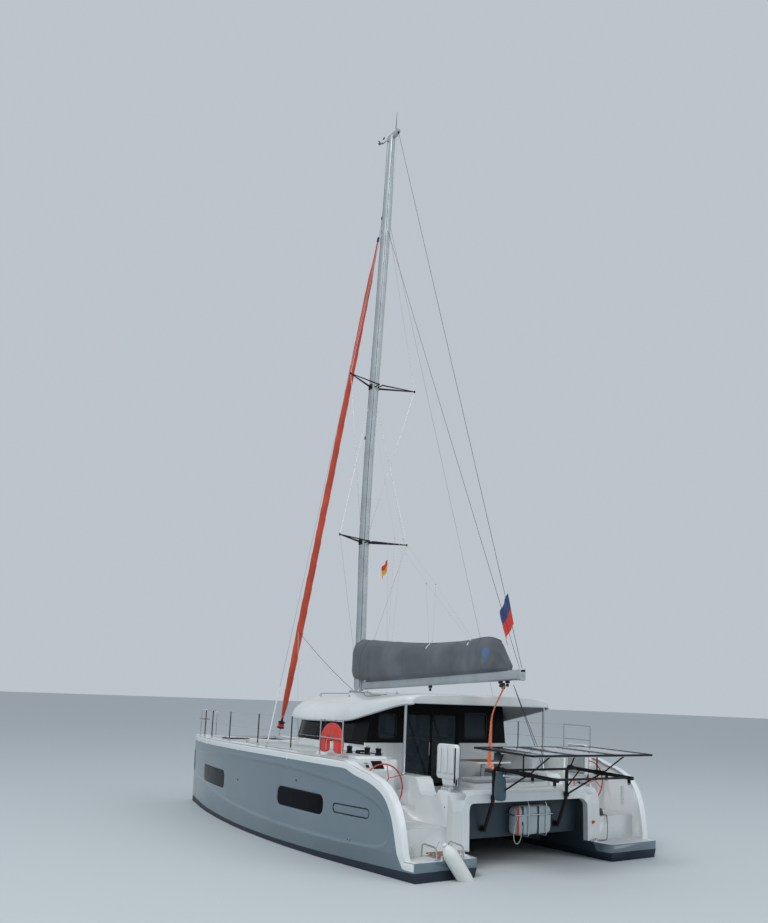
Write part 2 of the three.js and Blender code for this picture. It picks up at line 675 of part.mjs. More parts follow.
function mast() {
  const holes = SPREADERS.map(({ z }) => rod([mastX(z), -300, z], [mastX(z), 300, z], 16 + GAP, 12));
  const foot = roundedBox([MAST[0][0] - 220, MAST[0][0] + 220], [-160, 160], [2900, 3035], 60)
    .subtract(roofSolid(-GAP, (z) => z - 14));
  const head = [MAST[MAST.length - 1][0], MAST[MAST.length - 1][1]];
  const crane = roundedBox([head[0] - 330, head[0] + 230], [-45, 45], [head[1] - 60, head[1] + 70], 30, 'xz');
  const antenna = rod([head[0] - 160, 0, head[1] + 60], [head[0] - 185, 0, head[1] + 640], 7, 8);
  const arm = pipe([[head[0] + 100, 0, head[1] + 20], [head[0] + 450, 0, head[1] + 30],
    [head[0] + 620, 0, head[1] + 150]], 11, 60);
  return cutBy(joined([mastSpar(0), foot, crane, antenna, arm, gooseneck()]), holes);
}

const SPREADERS = [
  { name: 'lower', z: 6710, tip: [540, 976], rise: 10 },
  { name: 'upper', z: 10730, tip: [440, 963], rise: 10 },
];

function spreaders({ z, tip, rise }) {
  const root = mastX(z);
  const end = [tip[0], tip[1], z + rise];
  const arms = [
    rod([root + 60, 40, z], end, 22, 10, 17),
    rod([root - 330, 40, z - 20], end, 17, 10, 15),
    rod([root - 90, 30, z - 20], [root - 340, 46, z - 20], 15, 8),
    rod([tip[0], tip[1] - 4, z + rise - 26], [tip[0], tip[1] - 4, z + rise + 26], 20, 10),
  ];
  const port = joined(arms).subtract(mastSpar(GAP));
  const bar = rod([root, -MAST_HALF_WIDTH - 12, z], [root, MAST_HALF_WIDTH + 12, z], 16, 12);
  return joined([port, mirrored(port), bar]);
}

function shroud() {
  const top = [mastX(HOUND_Z), MAST_HALF_WIDTH + 2, HOUND_Z];
  const wire = rod([CHAINPLATE[0], CHAINPLATE[1], CHAINPLATE[2] + 30], top, 7, 8);
  const along = new THREE.Vector3(...top).sub(new THREE.Vector3(...CHAINPLATE)).normalize();
  const low = new THREE.Vector3(...CHAINPLATE).addScaledVector(along, 20);
  const high = low.clone().addScaledVector(along, 420);
  const screw = rod(low.toArray(), high.toArray(), 18, 10);
  const foot = roundedBox([CHAINPLATE[0] - 70, CHAINPLATE[0] + 70], [CHAINPLATE[1] - 12, CHAINPLATE[1] + 12],
    [1700, CHAINPLATE[2] + 70], 20, 'xz');
  return joined([wire, screw, foot]).subtract(mastSpar(GAP)).subtract(moved(hull(), [0, 0, GAP]));
}

function stayPoint(z, radiusShift = 0) {
  const t = (z - FORESTAY_FOOT[2]) / (FORESTAY_TOP[2] - FORESTAY_FOOT[2]);
  return [FORESTAY_FOOT[0] + (FORESTAY_TOP[0] - FORESTAY_FOOT[0]) * t, radiusShift, z];
}

// Radius of the furled sail, its drum and swivel up the stay
const JIB_PROFILE = [
  [1830, 11], [1935, 11], [1940, 105], [2110, 105], [2115, 28], [2230, 28], [2420, 55], [2700, 76], [4600, 98],
  [9500, 84], [13800, 60], [14400, 30], [14900, 30], [14905, 9], [15430, 9],
];

function furledJib() {
  const ring = (z, r) => [...Array(14).keys()].map((k) => {
    const angle = (k / 14) * Math.PI * 2;
    const [x, , height] = stayPoint(z);
    return [x + r * Math.cos(angle), r * Math.sin(angle), height];
  });
  const roll = loft(JIB_PROFILE.map(([z, r]) => ring(z, r)));
  const tang = box([FORESTAY_FOOT[0] - 40, FORESTAY_FOOT[0] + 40], [-12, 12], [1722 + GAP, 1850]);
  const eye = rod(stayPoint(15425), FORESTAY_TOP, 14, 10);
  return joined([roll, tang, eye]).subtract(mastSpar(GAP));
}

function boomSpar(extra) {
  const { rootX, rootZ, endX, endZ } = BOOM;
  const [half, tall] = [BOOM.width / 2 + extra, BOOM.depth / 2 + extra];
  const end = (x, z) => rounded(rectangle([-half, half], [z - tall, z + tall]), 40, 2).map(([y, v]) => [x, y, v]);
  return loft([end(endX + 40, endZ), end(rootX - 60, rootZ)]);
}

function boom() {
  const { pivotX, rootX, rootZ, endX, endZ, width } = BOOM;
  const plate = box([endX, endX + 45], [-width / 2 - 12, width / 2 + 12], [endZ - 115, endZ + 115]);
  const fork = box([rootX - 90, pivotX + 15], [-24, 24], [rootZ - 45, rootZ + 45]);
  const eye = rod([pivotX, 0, rootZ - 60], [pivotX, 0, rootZ + 60], 28, 16);
  return joined([boomSpar(0), plate, fork, eye]).subtract(bore([pivotX, 0, rootZ - 80], [pivotX, 0, rootZ + 80], BOOM.pin));
}

// The stowed mainsail lies in a long cloth bag on the boom
const BAG_COLUMNS = ['x', 'lowZ', 'topZ', 'half'];
const BAG_ROWS = [
  [1060, 3215, 4300, 215],
  [600, 3225, 4250, 225],
  [-570, 3275, 4150, 225],
  [-2250, 3350, 4075, 205],
  [-3000, 3385, 4080, 190],
  [-3880, 3425, 4140, 165],
  [-4270, 3440, 4060, 140],
  [-4560, 3455, 3640, 70],
];

function bagSolid() {
  const rings = BAG_ROWS.map(([x, low, top, half]) => {
    const height = top - low;
    const side = [[0.28, 0], [0.8, 0.12], [1, 0.38], [0.92, 0.62], [0.55, 0.86], [0.12, 1]];
    const port = side.map(([w, h]) => [x, w * half, low + h * height]);
    return [...port, ...port.slice().reverse().map(([a, y, z]) => [a, -y, z])];
  });
  return loft(rings);
}

function sailBag() {
  const core = rod([BOOM.pivotX, 0, 3000], [BOOM.pivotX, 0, 4600], BAG_RADIUS + SWING_GAP, 40);
  const ahead = box([BOOM.pivotX, 2000], [-600, 600], [3000, 4600]);
  return cutBy(bagSolid(), [core, ahead, boomSpar(GAP)]);
}

function bagCollar() {
  const core = rod([BOOM.pivotX, 0, 3000], [BOOM.pivotX, 0, 4600], BAG_RADIUS, 40);
  const ahead = box([BOOM.pivotX, 2000], [-600, 600], [3000, 4600]);
  const sweep = rod([BOOM.pivotX, 0, 3000], [BOOM.pivotX, 0, COLLAR_LOW_Z], BAG_RADIUS + SWING_GAP, 40);
  return bagSolid().intersect(core.add(ahead)).subtract(mastSpar(GAP)).subtract(sweep);
}

// Helm
function helmWheel() {
  const { x, y, z, radius, tube } = WHEEL;
  const rim = solidOf(new THREE.TorusGeometry(radius, tube, 6, 36), ([a, b, c]) => [x + c, y + a, z + b]);
  const spokes = [0.5, 0.5 + 2 / 3, 0.5 + 4 / 3].map((turn) => {
    const angle = turn * Math.PI;
    const split = 0.32;
    const at = (r, a) => [x, y + r * Math.cos(a), z + r * Math.sin(a)];
    const fork = at(radius * 0.52, angle);
    return joined([
      rod(at(20, angle), fork, 9, 8),
      rod(fork, at(radius, angle - split), 9, 8),
      rod(fork, at(radius, angle + split), 9, 8),
      solidOf(new THREE.IcosahedronGeometry(11, 1), ([a, b, c]) => [fork[0] + a, fork[1] + b, fork[2] + c]),
    ]);
  });
  const hub = rod([x - 34, y, z], [x + 24, y, z], 36, 16);
  const shaft = rod([x, y, z], [WELL_FRONT_X + 50, y, z], WHEEL.shaft, BORE_SIDES);
  return joined([rim, ...spokes, hub, shaft]);
}

const POD_Z = 1820;
const WINCHES = [[-2900, 2500], [-3290, 2350], [-3580, 2290]];

function winchDrums() {
  const profile = [[0, 0], [62, 0], [62, 18], [48, 34], [40, 70], [46, 98], [58, 112], [56, 128], [28, 134], [28, 158],
    [0, 158]];
  return joined(WINCHES.map(([x, y]) => lathed(profile, 16, ([a, h, b]) => [x + a, y + b, POD_Z - 12 + h])));
}

function helmPod() {
  const deck = (x) => [x, hullAt(x, 'sheerZ') + 2 * GAP];
  const outline = [
    deck(DASH.headX), [DASH.headX + 38, POD_Z - 8], [DASH.headX + 60, POD_Z], [-2360, POD_Z], [-2280, POD_Z - 20],
    deck(-2240), deck(-2800),
  ];
  return prism(outline, 'xz', DASH.y).add(winchDrums());
}

function helmSeat() {
  const { hingeY, hingeZ, x0, x1, thick, height, strapX, strapHalf, pin } = HELM_SEAT;
  const [inner, outer] = [hingeY - 70 - thick, hingeY - 70];
  const shell = roundedBox([x0, x1], [inner + 45, outer], [hingeZ + 40, hingeZ + height], 60, 'xz');
  const cushion = roundedBox([x0 + 14, x1 - 14], [inner, inner + 60], [hingeZ + 60, hingeZ + height - 16], 60, 'xz');
  const ribs = [0.2, 0.5, 0.8].map((t) => box(
    [x0 + (x1 - x0) * t - 16, x0 + (x1 - x0) * t + 16], [outer - 5, outer + 14], [hingeZ + 90, hingeZ + height - 60]));
  const hinge = strapX.map((x) => joined([
    rod([x - strapHalf - 14, hingeY, hingeZ], [x + strapHalf + 14, hingeY, hingeZ], pin, BORE_SIDES),
    box([x - strapHalf, x + strapHalf], [outer - 30, hingeY + 8], [hingeZ - 10, hingeZ + 60]),
  ]));
  return joined([shell, cushion, ...ribs, ...hinge]);
}

// Stern gear
const PANEL = { x: [-6780, -5300], underZ: [2016, 2056], thick: 35, half: 1450 };
const PANEL_RAILS = [-5480, -5970, -6600];

function panelUnder(x) {
  const [aft, fore] = PANEL.x;
  return PANEL.underZ[0] + ((x - aft) * (PANEL.underZ[1] - PANEL.underZ[0])) / (fore - aft);
}

function davits() {
  const { y: reach, footX, kneeX, topZ, endX, endZ } = DAVIT;
  const armZ = (x) => topZ + ((x - kneeX) * (endZ - topZ)) / (endX - kneeX);
  const struts = [
    { from: [kneeX, 1200], to: [-6090, armZ(-6090)], radius: 18 },
    { from: [kneeX, 1330], to: [-5560, armZ(-5560)], radius: 15 },
    { from: [-5300, armZ(-5300)], to: [PANEL_RAILS[0], panelUnder(PANEL_RAILS[0]) - 20], radius: 15 },
    { from: [PANEL_RAILS[1], armZ(PANEL_RAILS[1])], to: [PANEL_RAILS[1], panelUnder(PANEL_RAILS[1]) - 10], radius: 15 },
    { from: [-6110, armZ(-6110)], to: [PANEL_RAILS[2], panelUnder(PANEL_RAILS[2]) - 20], radius: 15 },
  ];
  const parts = [];
  for (const y of [-reach, reach]) {
    parts.push(pipe([[footX, y, 600], [kneeX, y, 1160], [kneeX, y, topZ], [endX, y, endZ]], 34, 110, 10));
    parts.push(rod([footX - 14, y, 640], [-4900 - GAP, y, 640], 34, 10));
    parts.push(rod([kneeX, y, 1200], [-5150 - GAP, y, 1200], 30, 10));
    for (const { from, to, radius } of struts) {
      parts.push(rod([from[0], y, from[1]], [to[0], y, to[1]], radius, 8));
    }
  }
  for (const x of [-6700, -5500]) parts.push(rod([x, -reach, armZ(x)], [x, reach, armZ(x)], 20, 10));
  const rails = PANEL_RAILS.map((x) => box([x - 22, x + 22], [-1400, 1400],
    [panelUnder(x) - 24, panelUnder(x - 22) - GAP]));
  return joined([...parts, ...rails]);
}

function solarPanel() {
  const { x: [aft, fore], underZ: [low, high], thick, half } = PANEL;
  return prism([[aft, low], [fore, high], [fore, high + thick], [aft, low + thick]], 'xz', [-half, half]);
}

function lifeRaft() {
  return roundedBox([-5140, -4900 - GAP], [-600, 290], [500, 1010], 70, 'yz');
}

const FENDER_RADIUS = 126;

function fender() {
  const profile = [[0, 0], [34, 10], [46, 60], [90, 130], [122, 220], [FENDER_RADIUS, 500], [122, 760], [90, 860], [46, 925],
    [34, 975], [0, 985]];
  const from = new THREE.Vector3(STERN_X - FENDER_RADIUS - GAP, 2410, 600);
  const aim = new THREE.Vector3(STERN_X - FENDER_RADIUS - GAP, 1800, -175).sub(from).normalize();
  const turn = new THREE.Quaternion().setFromUnitVectors(new THREE.Vector3(0, 1, 0), aim);
  return lathed(profile, 24, (p) => new THREE.Vector3(...p).applyQuaternion(turn).add(from).toArray());
}

// Two hand hoops stand on the port platform with the bathing ladder folded between them
const HOOP_Y = [1860, 2410];
const HOOP_X = [-5610, -5190];
const LADDER = { y: [1950, 2310], hingeX: -5636, endX: -5180, z: PLATFORM_Z + 45, pin: 12 };

function handHoop(y) {
  const base = PLATFORM_Z + GAP;
  const top = base + 215;
  const [aft, fore] = HOOP_X;
  const feet = HOOP_X.map((x) => rod([x, y, base], [x, y, base + 8], 34, 12));
  const bow = pipe([[aft, y, base + 4], [aft + 15, y, top - 20], [fore - 15, y, top], [fore, y, base + 4]], 14, 60, 8);
  return joined([...feet, bow]);
}

function ladderLugs() {
  const { y, hingeX, z, pin } = LADDER;
  const hole = bore([hingeX, y[0] - 60, z], [hingeX, y[1] + 60, z], pin);
  return [y[0] - 17, y[1] + 1].map((y0) => (
    box([hingeX - 20, hingeX + 20], [y0, y0 + 16], [PLATFORM_Z - 20, z + 24]).subtract(hole)));
}

function swimLadder() {
  const { y: [y0, y1], hingeX, endX, z } = LADDER;
  const rails = [y0 + 14, y1 - 14].map((y) => rod([hingeX, y, z], [endX, y, z], 13, 8));
  const treads = [0.2, 0.45, 0.7, 0.95].map((t) => {
    const x = hingeX + (endX - hingeX) * t;
    return box([x - 32, x + 32], [y0, y1], [z - 12, z + 14]);
  });
  return joined([...rails, ...treads, rod([hingeX, y0 - 17, z], [hingeX, y1 + 17, z], LADDER.pin, BORE_SIDES)]);
}

function lifebuoy() {
  const [x0, x1, z0, z1] = [-3640, -2860, 1815, 2390];
  const arch = rounded([[x0, z0], [x0 + 290, z0], [x0 + 310, z0 + 330], [x1 - 310, z0 + 330], [x1 - 290, z0],
    [x1, z0], [x1, z1 - 60], [x1 - 180, z1], [x0 + 180, z1], [x0, z1 - 60]], 90, 3);
  return prism(arch, 'xz', [3000, QUARTER_RAIL_Y - RAIL_RADIUS - GAP]);
}

// Guard rails, one run on each side
const QUARTER_RAIL_Y = 3140;
const RAIL_RADIUS = 13;
const STANCHIONS = [
  [4900, 2370], [4200, 2530], [3400, 2670], [2000, 2810], [100, 2980], [-1500, 3015], [-2900, QUARTER_RAIL_Y],
  [-3700, QUARTER_RAIL_Y],
];
const RAIL_TOP = 660;

function guardRail() {
  const posts = STANCHIONS.map(([x, y]) => {
    const z = Math.max(hullAt(x - 30, 'sheerZ'), hullAt(x + 30, 'sheerZ')) + GAP;
    return { x, y, z };
  });
  const parts = posts.map(({ x, y, z }) => joined([
    rod([x, y, z], [x, y, z + RAIL_TOP], RAIL_RADIUS, 8),
    rod([x, y, z], [x, y, z + 30], 26, 8),
  ]));
  for (let i = 0; i < posts.length - 1; i += 1) {
    const [a, b] = [posts[i], posts[i + 1]];
    for (const h of [0.52, 0.985]) {
      const radius = (i < 2 && h > 0.9) || i > 5 ? RAIL_RADIUS : 5;
      parts.push(rod([a.x, a.y, a.z + RAIL_TOP * h], [b.x, b.y, b.z + RAIL_TOP * h], radius, 8));
    }
  }
  const bow = posts[0];
  const inner = [4900, hullAt(4900, 'deckIn') + 70, bow.z];
  parts.push(pipe([[bow.x, bow.y, bow.z + 645], [5350, bow.y - 90, bow.z + 655],
    [5350, inner[1] + 90, bow.z + 655], [inner[0], inner[1], bow.z + 645]], 13, 120, 8));
  parts.push(rod(inner, [inner[0], inner[1], bow.z + 660], 13, 8));
  return joined(parts);
}

// Foredeck
function crossbeam() {
  const tube = rounded(rectangle([5010, 5150], [1580, 1722]), 55, 3);
  const inward = moved(hull(), [0, -GAP, 0]);
  return cutBy(prism(tube, 'xz', [-1960, 1960]), [inward, mirrored(inward)]);
}

function longeron() {
  const outline = rounded([[2700 + GAP, 1560], [5010 - GAP, 1610], [5010 - GAP, 1735], [2645, 1690]], 10, 1);
  return prism(outline, 'xz', [-120, 120]);
}

function trampoline() {
  const inside = (x) => hullAt(x, 'deckIn') - GAP;
  const [aft, fore, middle] = [2667, 5010 - GAP, 120 + GAP];
  const outline = [[aft, middle], [fore, middle], ...[fore, 5000, 4200, 3200, aft].map((x) => [x, inside(x)])];
  return prism(outline, 'xy', [1640, 1656]);
}

// Cockpit
function cockpitBench() {
  const floor = COCKPIT_FLOOR_Z + GAP;
  const aft = box([-4700 + GAP, -4230], [-900, 900], [floor, 1390]);
  const side = box([-3900, -2600], [-1440, -1010], [floor, 1390]);
  const link = box([-4300, -3800], [-1180, -700], [floor, 1390]).subtract(
    box([-4900, -4200], [-1500, -900], [floor - 5, 2000]));
  return joined([aft, side, link]);
}

function cockpitTable() {
  const top = roundedBox([-3650, -2850], [-920, -40], [1640, 1675], 60);
  const leg = rod([-3250, -480, COCKPIT_FLOOR_Z + GAP], [-3250, -480, 1650], 45, 16);
  const foot = rod([-3250, -480, COCKPIT_FLOOR_Z + GAP], [-3250, -480, COCKPIT_FLOOR_Z + 12], 150, 20);
  return joined([top, leg, foot]);
}

// Assembly
const hullSolid = hull();
addNode('hull_port', joined([hullSolid, ...ladderLugs()]), PAINT.topsides, 0.35);
addNode('hull_starboard', mirrored(hullSolid), PAINT.topsides, 0.35);
addPair('keel', keel(), PAINT.bottom, 0.7);
addPair('rudder', rudder(), PAINT.bottom, 0.7);
addPair('saildrive', drive(), PAINT.bottom, 0.5);
addPair('propeller', propeller(), PAINT.metal, 0.3, 1);
addPair('engine', engine(), PAINT.dark, 0.6);
addPair('engine_lid', engineLid(), PAINT.deck);
addPair('deck_hatch', deckHatch(), PAINT.glass, 0.2);
addNode('bridgedeck', bridgedeck(), PAINT.deck);
addNode('cabin_coaming', cabinCoaming(), PAINT.deck);
addNode('saloon_glass', saloonGlass(), PAINT.glass, 0.1);
addNode('aft_bulkhead', aftBulkhead(), PAINT.dark);
addNode('door_pane_fixed', glassPane([BULKHEAD_X + 8, BULKHEAD_X + 34], [DOOR.y[0] + GAP, 250],
  [DOOR.z[0] + GAP, DOOR.z[1] - GAP]), PAINT.glass, 0.1);
addNode('sliding_door', glassPane([BULKHEAD_X - 38, BULKHEAD_X - 8], [232, DOOR.y[1] - 6],
  [SALOON_FLOOR_Z + GAP, 2600]), PAINT.glass, 0.1);
addNode('roof', roof(), PAINT.deck, 0.3);
addNode('roof_post_port', roofPost(1), PAINT.metal, 0.3, 1);
addNode('roof_post_starboard', roofPost(-1), PAINT.metal, 0.3, 1);
addNode('saloon_furniture', saloonFurniture(), PAINT.deck);
addNode('mast', mast(), PAINT.metal, 0.4, 0.6);
for (const row of SPREADERS) addNode(`spreaders_${row.name}`, spreaders(row), PAINT.dark, 0.4, 0.6);
addPair('shroud', shroud(), PAINT.metal, 0.3, 1);
addNode('furled_jib', furledJib(), PAINT.sail, 0.8);
addNode('boom', boom(), PAINT.metal, 0.4, 0.6);
addNode('sail_bag', sailBag(), PAINT.canvas, 0.9);
addNode('sail_bag_collar', bagCollar(), PAINT.canvas, 0.9);
addPair('helm_wheel', helmWheel(), PAINT.buoy, 0.4);
addPair('helm_pod', helmPod(), PAINT.deck, 0.4);
addPair('helm_seat', helmSeat(), PAINT.deck, 0.6);
addNode('davits', davits(), PAINT.dark, 0.4, 0.6);
addNode('solar_panel', solarPanel(), PAINT.panel, 0.2);
addNode('life_raft', lifeRaft(), PAINT.deck, 0.5);
addNode('fender', fender(), PAINT.deck, 0.5);
addNode('hand_hoop_inboard', handHoop(HOOP_Y[0]), PAINT.metal, 0.3, 1);
addNode('hand_hoop_outboard', handHoop(HOOP_Y[1]), PAINT.metal, 0.3, 1);
addNode('swim_ladder', swimLadder(), PAINT.metal, 0.3, 1);
addNode('lifebuoy', lifebuoy(), PAINT.buoy, 0.8);
addPair('guard_rail', guardRail(), PAINT.metal, 0.3, 1);
addNode('crossbeam', crossbeam(), PAINT.metal, 0.4, 0.6);
addNode('longeron', longeron(), PAINT.deck);
addPair('trampoline', trampoline(), PAINT.net, 0.9);
addNode('cockpit_bench', cockpitBench(), PAINT.deck);
addNode('cockpit_table', cockpitTable(), PAINT.deck);

export default group;
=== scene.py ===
"""Dressed model of a cruising catamaran afloat, with her mainsail stowed in its bag.

Every length is in metres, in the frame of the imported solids: x forward, y to port, z up from the waterline.
"""

import logging
import math
from collections.abc import Callable, Sequence
from dataclasses import dataclass, field
from enum import Enum
from functools import partial

import bmesh
import bpy
import numpy as np
from mathutils import Matrix, Vector


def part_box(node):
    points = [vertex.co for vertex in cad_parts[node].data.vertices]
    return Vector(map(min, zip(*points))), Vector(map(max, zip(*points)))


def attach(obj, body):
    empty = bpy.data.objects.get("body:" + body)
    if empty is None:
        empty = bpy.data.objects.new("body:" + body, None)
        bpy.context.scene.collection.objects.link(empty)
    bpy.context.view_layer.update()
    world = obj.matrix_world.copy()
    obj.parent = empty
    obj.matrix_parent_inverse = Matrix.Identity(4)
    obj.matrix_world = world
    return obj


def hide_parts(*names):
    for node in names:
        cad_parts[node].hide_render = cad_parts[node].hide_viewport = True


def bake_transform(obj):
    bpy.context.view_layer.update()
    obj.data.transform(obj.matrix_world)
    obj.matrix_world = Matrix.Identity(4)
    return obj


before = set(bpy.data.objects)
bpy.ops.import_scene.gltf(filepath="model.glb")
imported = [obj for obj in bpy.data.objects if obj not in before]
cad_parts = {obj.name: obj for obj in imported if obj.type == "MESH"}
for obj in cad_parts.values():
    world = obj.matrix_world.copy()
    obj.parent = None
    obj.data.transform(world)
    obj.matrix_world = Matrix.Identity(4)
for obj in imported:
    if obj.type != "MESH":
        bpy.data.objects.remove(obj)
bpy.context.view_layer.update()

LOG = logging.getLogger("catamaran")

Array = np.ndarray
Colour = tuple[float, float, float]
Triple = tuple[float, float, float]


class Side(Enum):
    """The two sides of the boat, with the sign of y."""

    PORT = 1
    STARBOARD = -1

    @property
    def tag(self) -> str:
        """The ending of a node's or body's name on this side."""
        return self.name.lower()


def shade(red: int, green: int, blue: int) -> Colour:
    """Turns a display colour of 0 to 255 into linear light.

    Args:
        red, green, blue: the display values.

    Returns:
        The three linear values.
    """
    value = np.array([red, green, blue]) / 255
    linear = np.where(value <= 0.04045, value / 12.92, ((value + 0.055) / 1.055) ** 2.4)
    return tuple(float(v) for v in linear)


def toned(colour: Colour, factor: float) -> Colour:
    """The colour, darker or lighter by this factor."""
    return tuple(c * factor for c in colour)


# Shader expressions


def operator(operation: str, swapped: bool = False) -> Callable[..., "Socket"]:
    """A method that puts one Math node on a shader value and its operands.

    Args:
        operation: the node's operation.
        swapped: whether the operand comes first.

    Returns:
        The method.
    """

    def apply(value: "Socket", *others: "Socket | float") -> "Socket":
        """Adds the node."""
        values = (*others, value) if swapped else (value, *others)
        return value.paint.node("ShaderNodeMath", {"operation": operation}, dict(enumerate(values)))

    return apply


class Socket:
    """A shader value. Arithmetic on it adds Math nodes to the same tree."""

    __add__ = __radd__ = operator("ADD")
    __mul__ = __rmul__ = operator("MULTIPLY")
    __sub__, __rsub__ = operator("SUBTRACT"), operator("SUBTRACT", swapped=True)
    __truediv__, __rtruediv__ = operator("DIVIDE"), operator("DIVIDE", swapped=True)
    __gt__, __lt__ = operator("GREATER_THAN"), operator("LESS_THAN")
    size, part, sine = operator("ABSOLUTE"), operator("FRACT"), operator("SINE")
    least, most = operator("MINIMUM"), operator("MAXIMUM")

    def __init__(self, paint: "Paint", link: bpy.types.NodeSocket) -> None:
        """Keeps the output and the paint that it belongs to."""
        self.paint = paint
        self.link = link

    def ease(self, start: float, end: float) -> "Socket":
        """Rises smoothly from 0 at start to 1 at end."""
        settings = {"interpolation_type": "SMOOTHSTEP"}
        return self.paint.node("ShaderNodeMapRange", settings, {0: self, 1: start, 2: end})


class Paint:
    """One material and the shader tree behind it."""

    def __init__(self, name: str, seen_through: bool = False) -> None:
        """Starts a material with its own shader.

        Args:
            name: the material's name.
            seen_through: whether light passes it, as with glass and netting.
        """
        self.material = bpy.data.materials.new(f"{name}_finish")
        self.material.use_nodes = True
        self.tree = self.material.node_tree
        self.shader = self.tree.nodes["Principled BSDF"]
        if seen_through:
            self.material.surface_render_method = "BLENDED"

    def node(
        self,
        kind: str,
        settings: dict | None = None,
        inputs: dict | None = None,
        output: int | str = 0,
    ) -> Socket:
        """Adds a node, sets it and feeds its sockets.

        Args:
            kind: the node's type.
            settings: attributes of the node, or stops as (place, colour) pairs of a ramp.
            inputs: values or sockets by input name or number.
            output: which output comes back.

        Returns:
            The chosen output.
        """
        node = self.tree.nodes.new(kind)
        for key, value in (settings or {}).items():
            if key == "stops":
                self._stops(node.color_ramp, value)
            else:
                setattr(node, key, value)
        for key, value in (inputs or {}).items():
            if isinstance(value, Socket):
                self.tree.links.new(value.link, node.inputs[key])
            else:
                node.inputs[key].default_value = value
        return Socket(self, node.outputs[output])

    @staticmethod
    def _stops(ramp: bpy.types.ColorRamp, stops: Sequence[tuple[float, Colour]]) -> None:
        """Puts the stops into a colour ramp."""
        while len(ramp.elements) < len(stops):
            ramp.elements.new(0.5)
        for element, (place, colour) in zip(ramp.elements, stops):
            element.position = place
            element.color = (*colour, 1)

    def place(self, turn: Triple = (0, 0, 0), centre: Triple = (0, 0, 0), source: str = "Object") -> Socket:
        """The coordinates of the surface, moved and turned by a Mapping node."""
        where = self.node("ShaderNodeTexCoord", output=source)
        return self.node("ShaderNodeMapping", {}, {"Vector": where, "Location": centre, "Rotation": turn})

    def axis(self, name: str, source: str = "Object") -> Socket:
        """One coordinate of the surface, X, Y or Z."""
        where = self.node("ShaderNodeTexCoord", output=source)
        return self.node("ShaderNodeSeparateXYZ", {}, {0: where}, name)

    def noise(self, scale: float, detail: float = 3, stretch: Triple = (1, 1, 1),
              source: str = "Object") -> Socket:
        """A cloudy pattern from 0 to 1, drawn out by stretch along each axis."""
        where = self.node("ShaderNodeTexCoord", output=source)
        squeezed = self.node("ShaderNodeMapping", {},
                             {"Vector": where, "Scale": tuple(1 / s for s in stretch)})
        return self.node("ShaderNodeTexNoise", {},
                         {"Vector": squeezed, "Scale": scale, "Detail": detail}, 0)

    def mix(self, share: "Socket | float", first: "Socket | Colour", second: "Socket | Colour") -> Socket:
        """Goes from the first colour to the second by share."""
        sides = [v if isinstance(v, Socket) else (*v, 1) for v in (first, second)]
        return self.node("ShaderNodeMix", {"data_type": "RGBA"}, {0: share, 6: sides[0], 7: sides[1]}, 2)

    def bump(self, height: Socket, depth: float, strength: float = 1.0, rounding: float = 0.0) -> None:
        """Feeds a height pattern to the shader's normal.

        Args:
            height: the pattern, 0 to 1.
            depth: what 1 stands for, in metres.
            strength: how much of it shows.
            rounding: radius that crisp edges are shaded with, in metres.
        """
        values = {"Height": height, "Distance": depth, "Strength": strength}
        if rounding:
            values["Normal"] = self.node("ShaderNodeBevel", {"samples": 6}, {"Radius": rounding})
        self.feed({"Normal": self.node("ShaderNodeBump", {}, values)})

    def feed(self, inputs: dict) -> "Paint":
        """Sets or links inputs of the main shader by name."""
        for key, value in inputs.items():
            if isinstance(value, Socket):
                self.tree.links.new(value.link, self.shader.inputs[key])
            else:
                self.shader.inputs[key].default_value = (*value, 1) if isinstance(value, tuple) else value
        return self


@dataclass(frozen=True)
class Finish:
    """A named surface finish. Its material is made once."""

    seen_through = False
    name: str

    def material(self) -> bpy.types.Material:
        """The finish's material, made on first use."""
        found = bpy.data.materials.get(f"{self.name}_finish")
        if found is not None:
            return found
        paint = Paint(self.name, self.seen_through)
        self.fill(paint)
        return paint.material

    def fill(self, paint: "Paint") -> None:
        """Adds the finish's shader nodes."""
        raise NotImplementedError


@dataclass(frozen=True)
class Gelcoat(Finish):
    """Polished resin skin with faint clouding, light soiling and a slight waviness."""

    colour: Colour
    roughness: float = 0.28
    soil: float = 0.06
    shine: float = 0.4

    def fill(self, paint: Paint) -> None:
        """Adds the finish's shader nodes."""
        cloud = paint.noise(0.9, 4)
        runs = paint.noise(7, 3, (1, 1, 9)).ease(0.45, 0.8)
        dull = toned(self.colour, 0.86)
        grimy = tuple(c * f for c, f in zip(self.colour, (0.78, 0.77, 0.72)))
        base = paint.mix(cloud.ease(0.3, 0.75), self.colour, dull)
        paint.feed({
            "Base Color": paint.mix(runs * self.soil * 4, base, grimy),
            "Roughness": self.roughness + paint.noise(2.5, 3) * 0.16,
            "Coat Weight": self.shine,
            "Coat Roughness": 0.08,
            "Specular IOR Level": 0.45,
        })
        paint.bump(paint.noise(1.8, 1) + paint.noise(160, 1) * 0.03, 0.002, 0.2, 0.008)


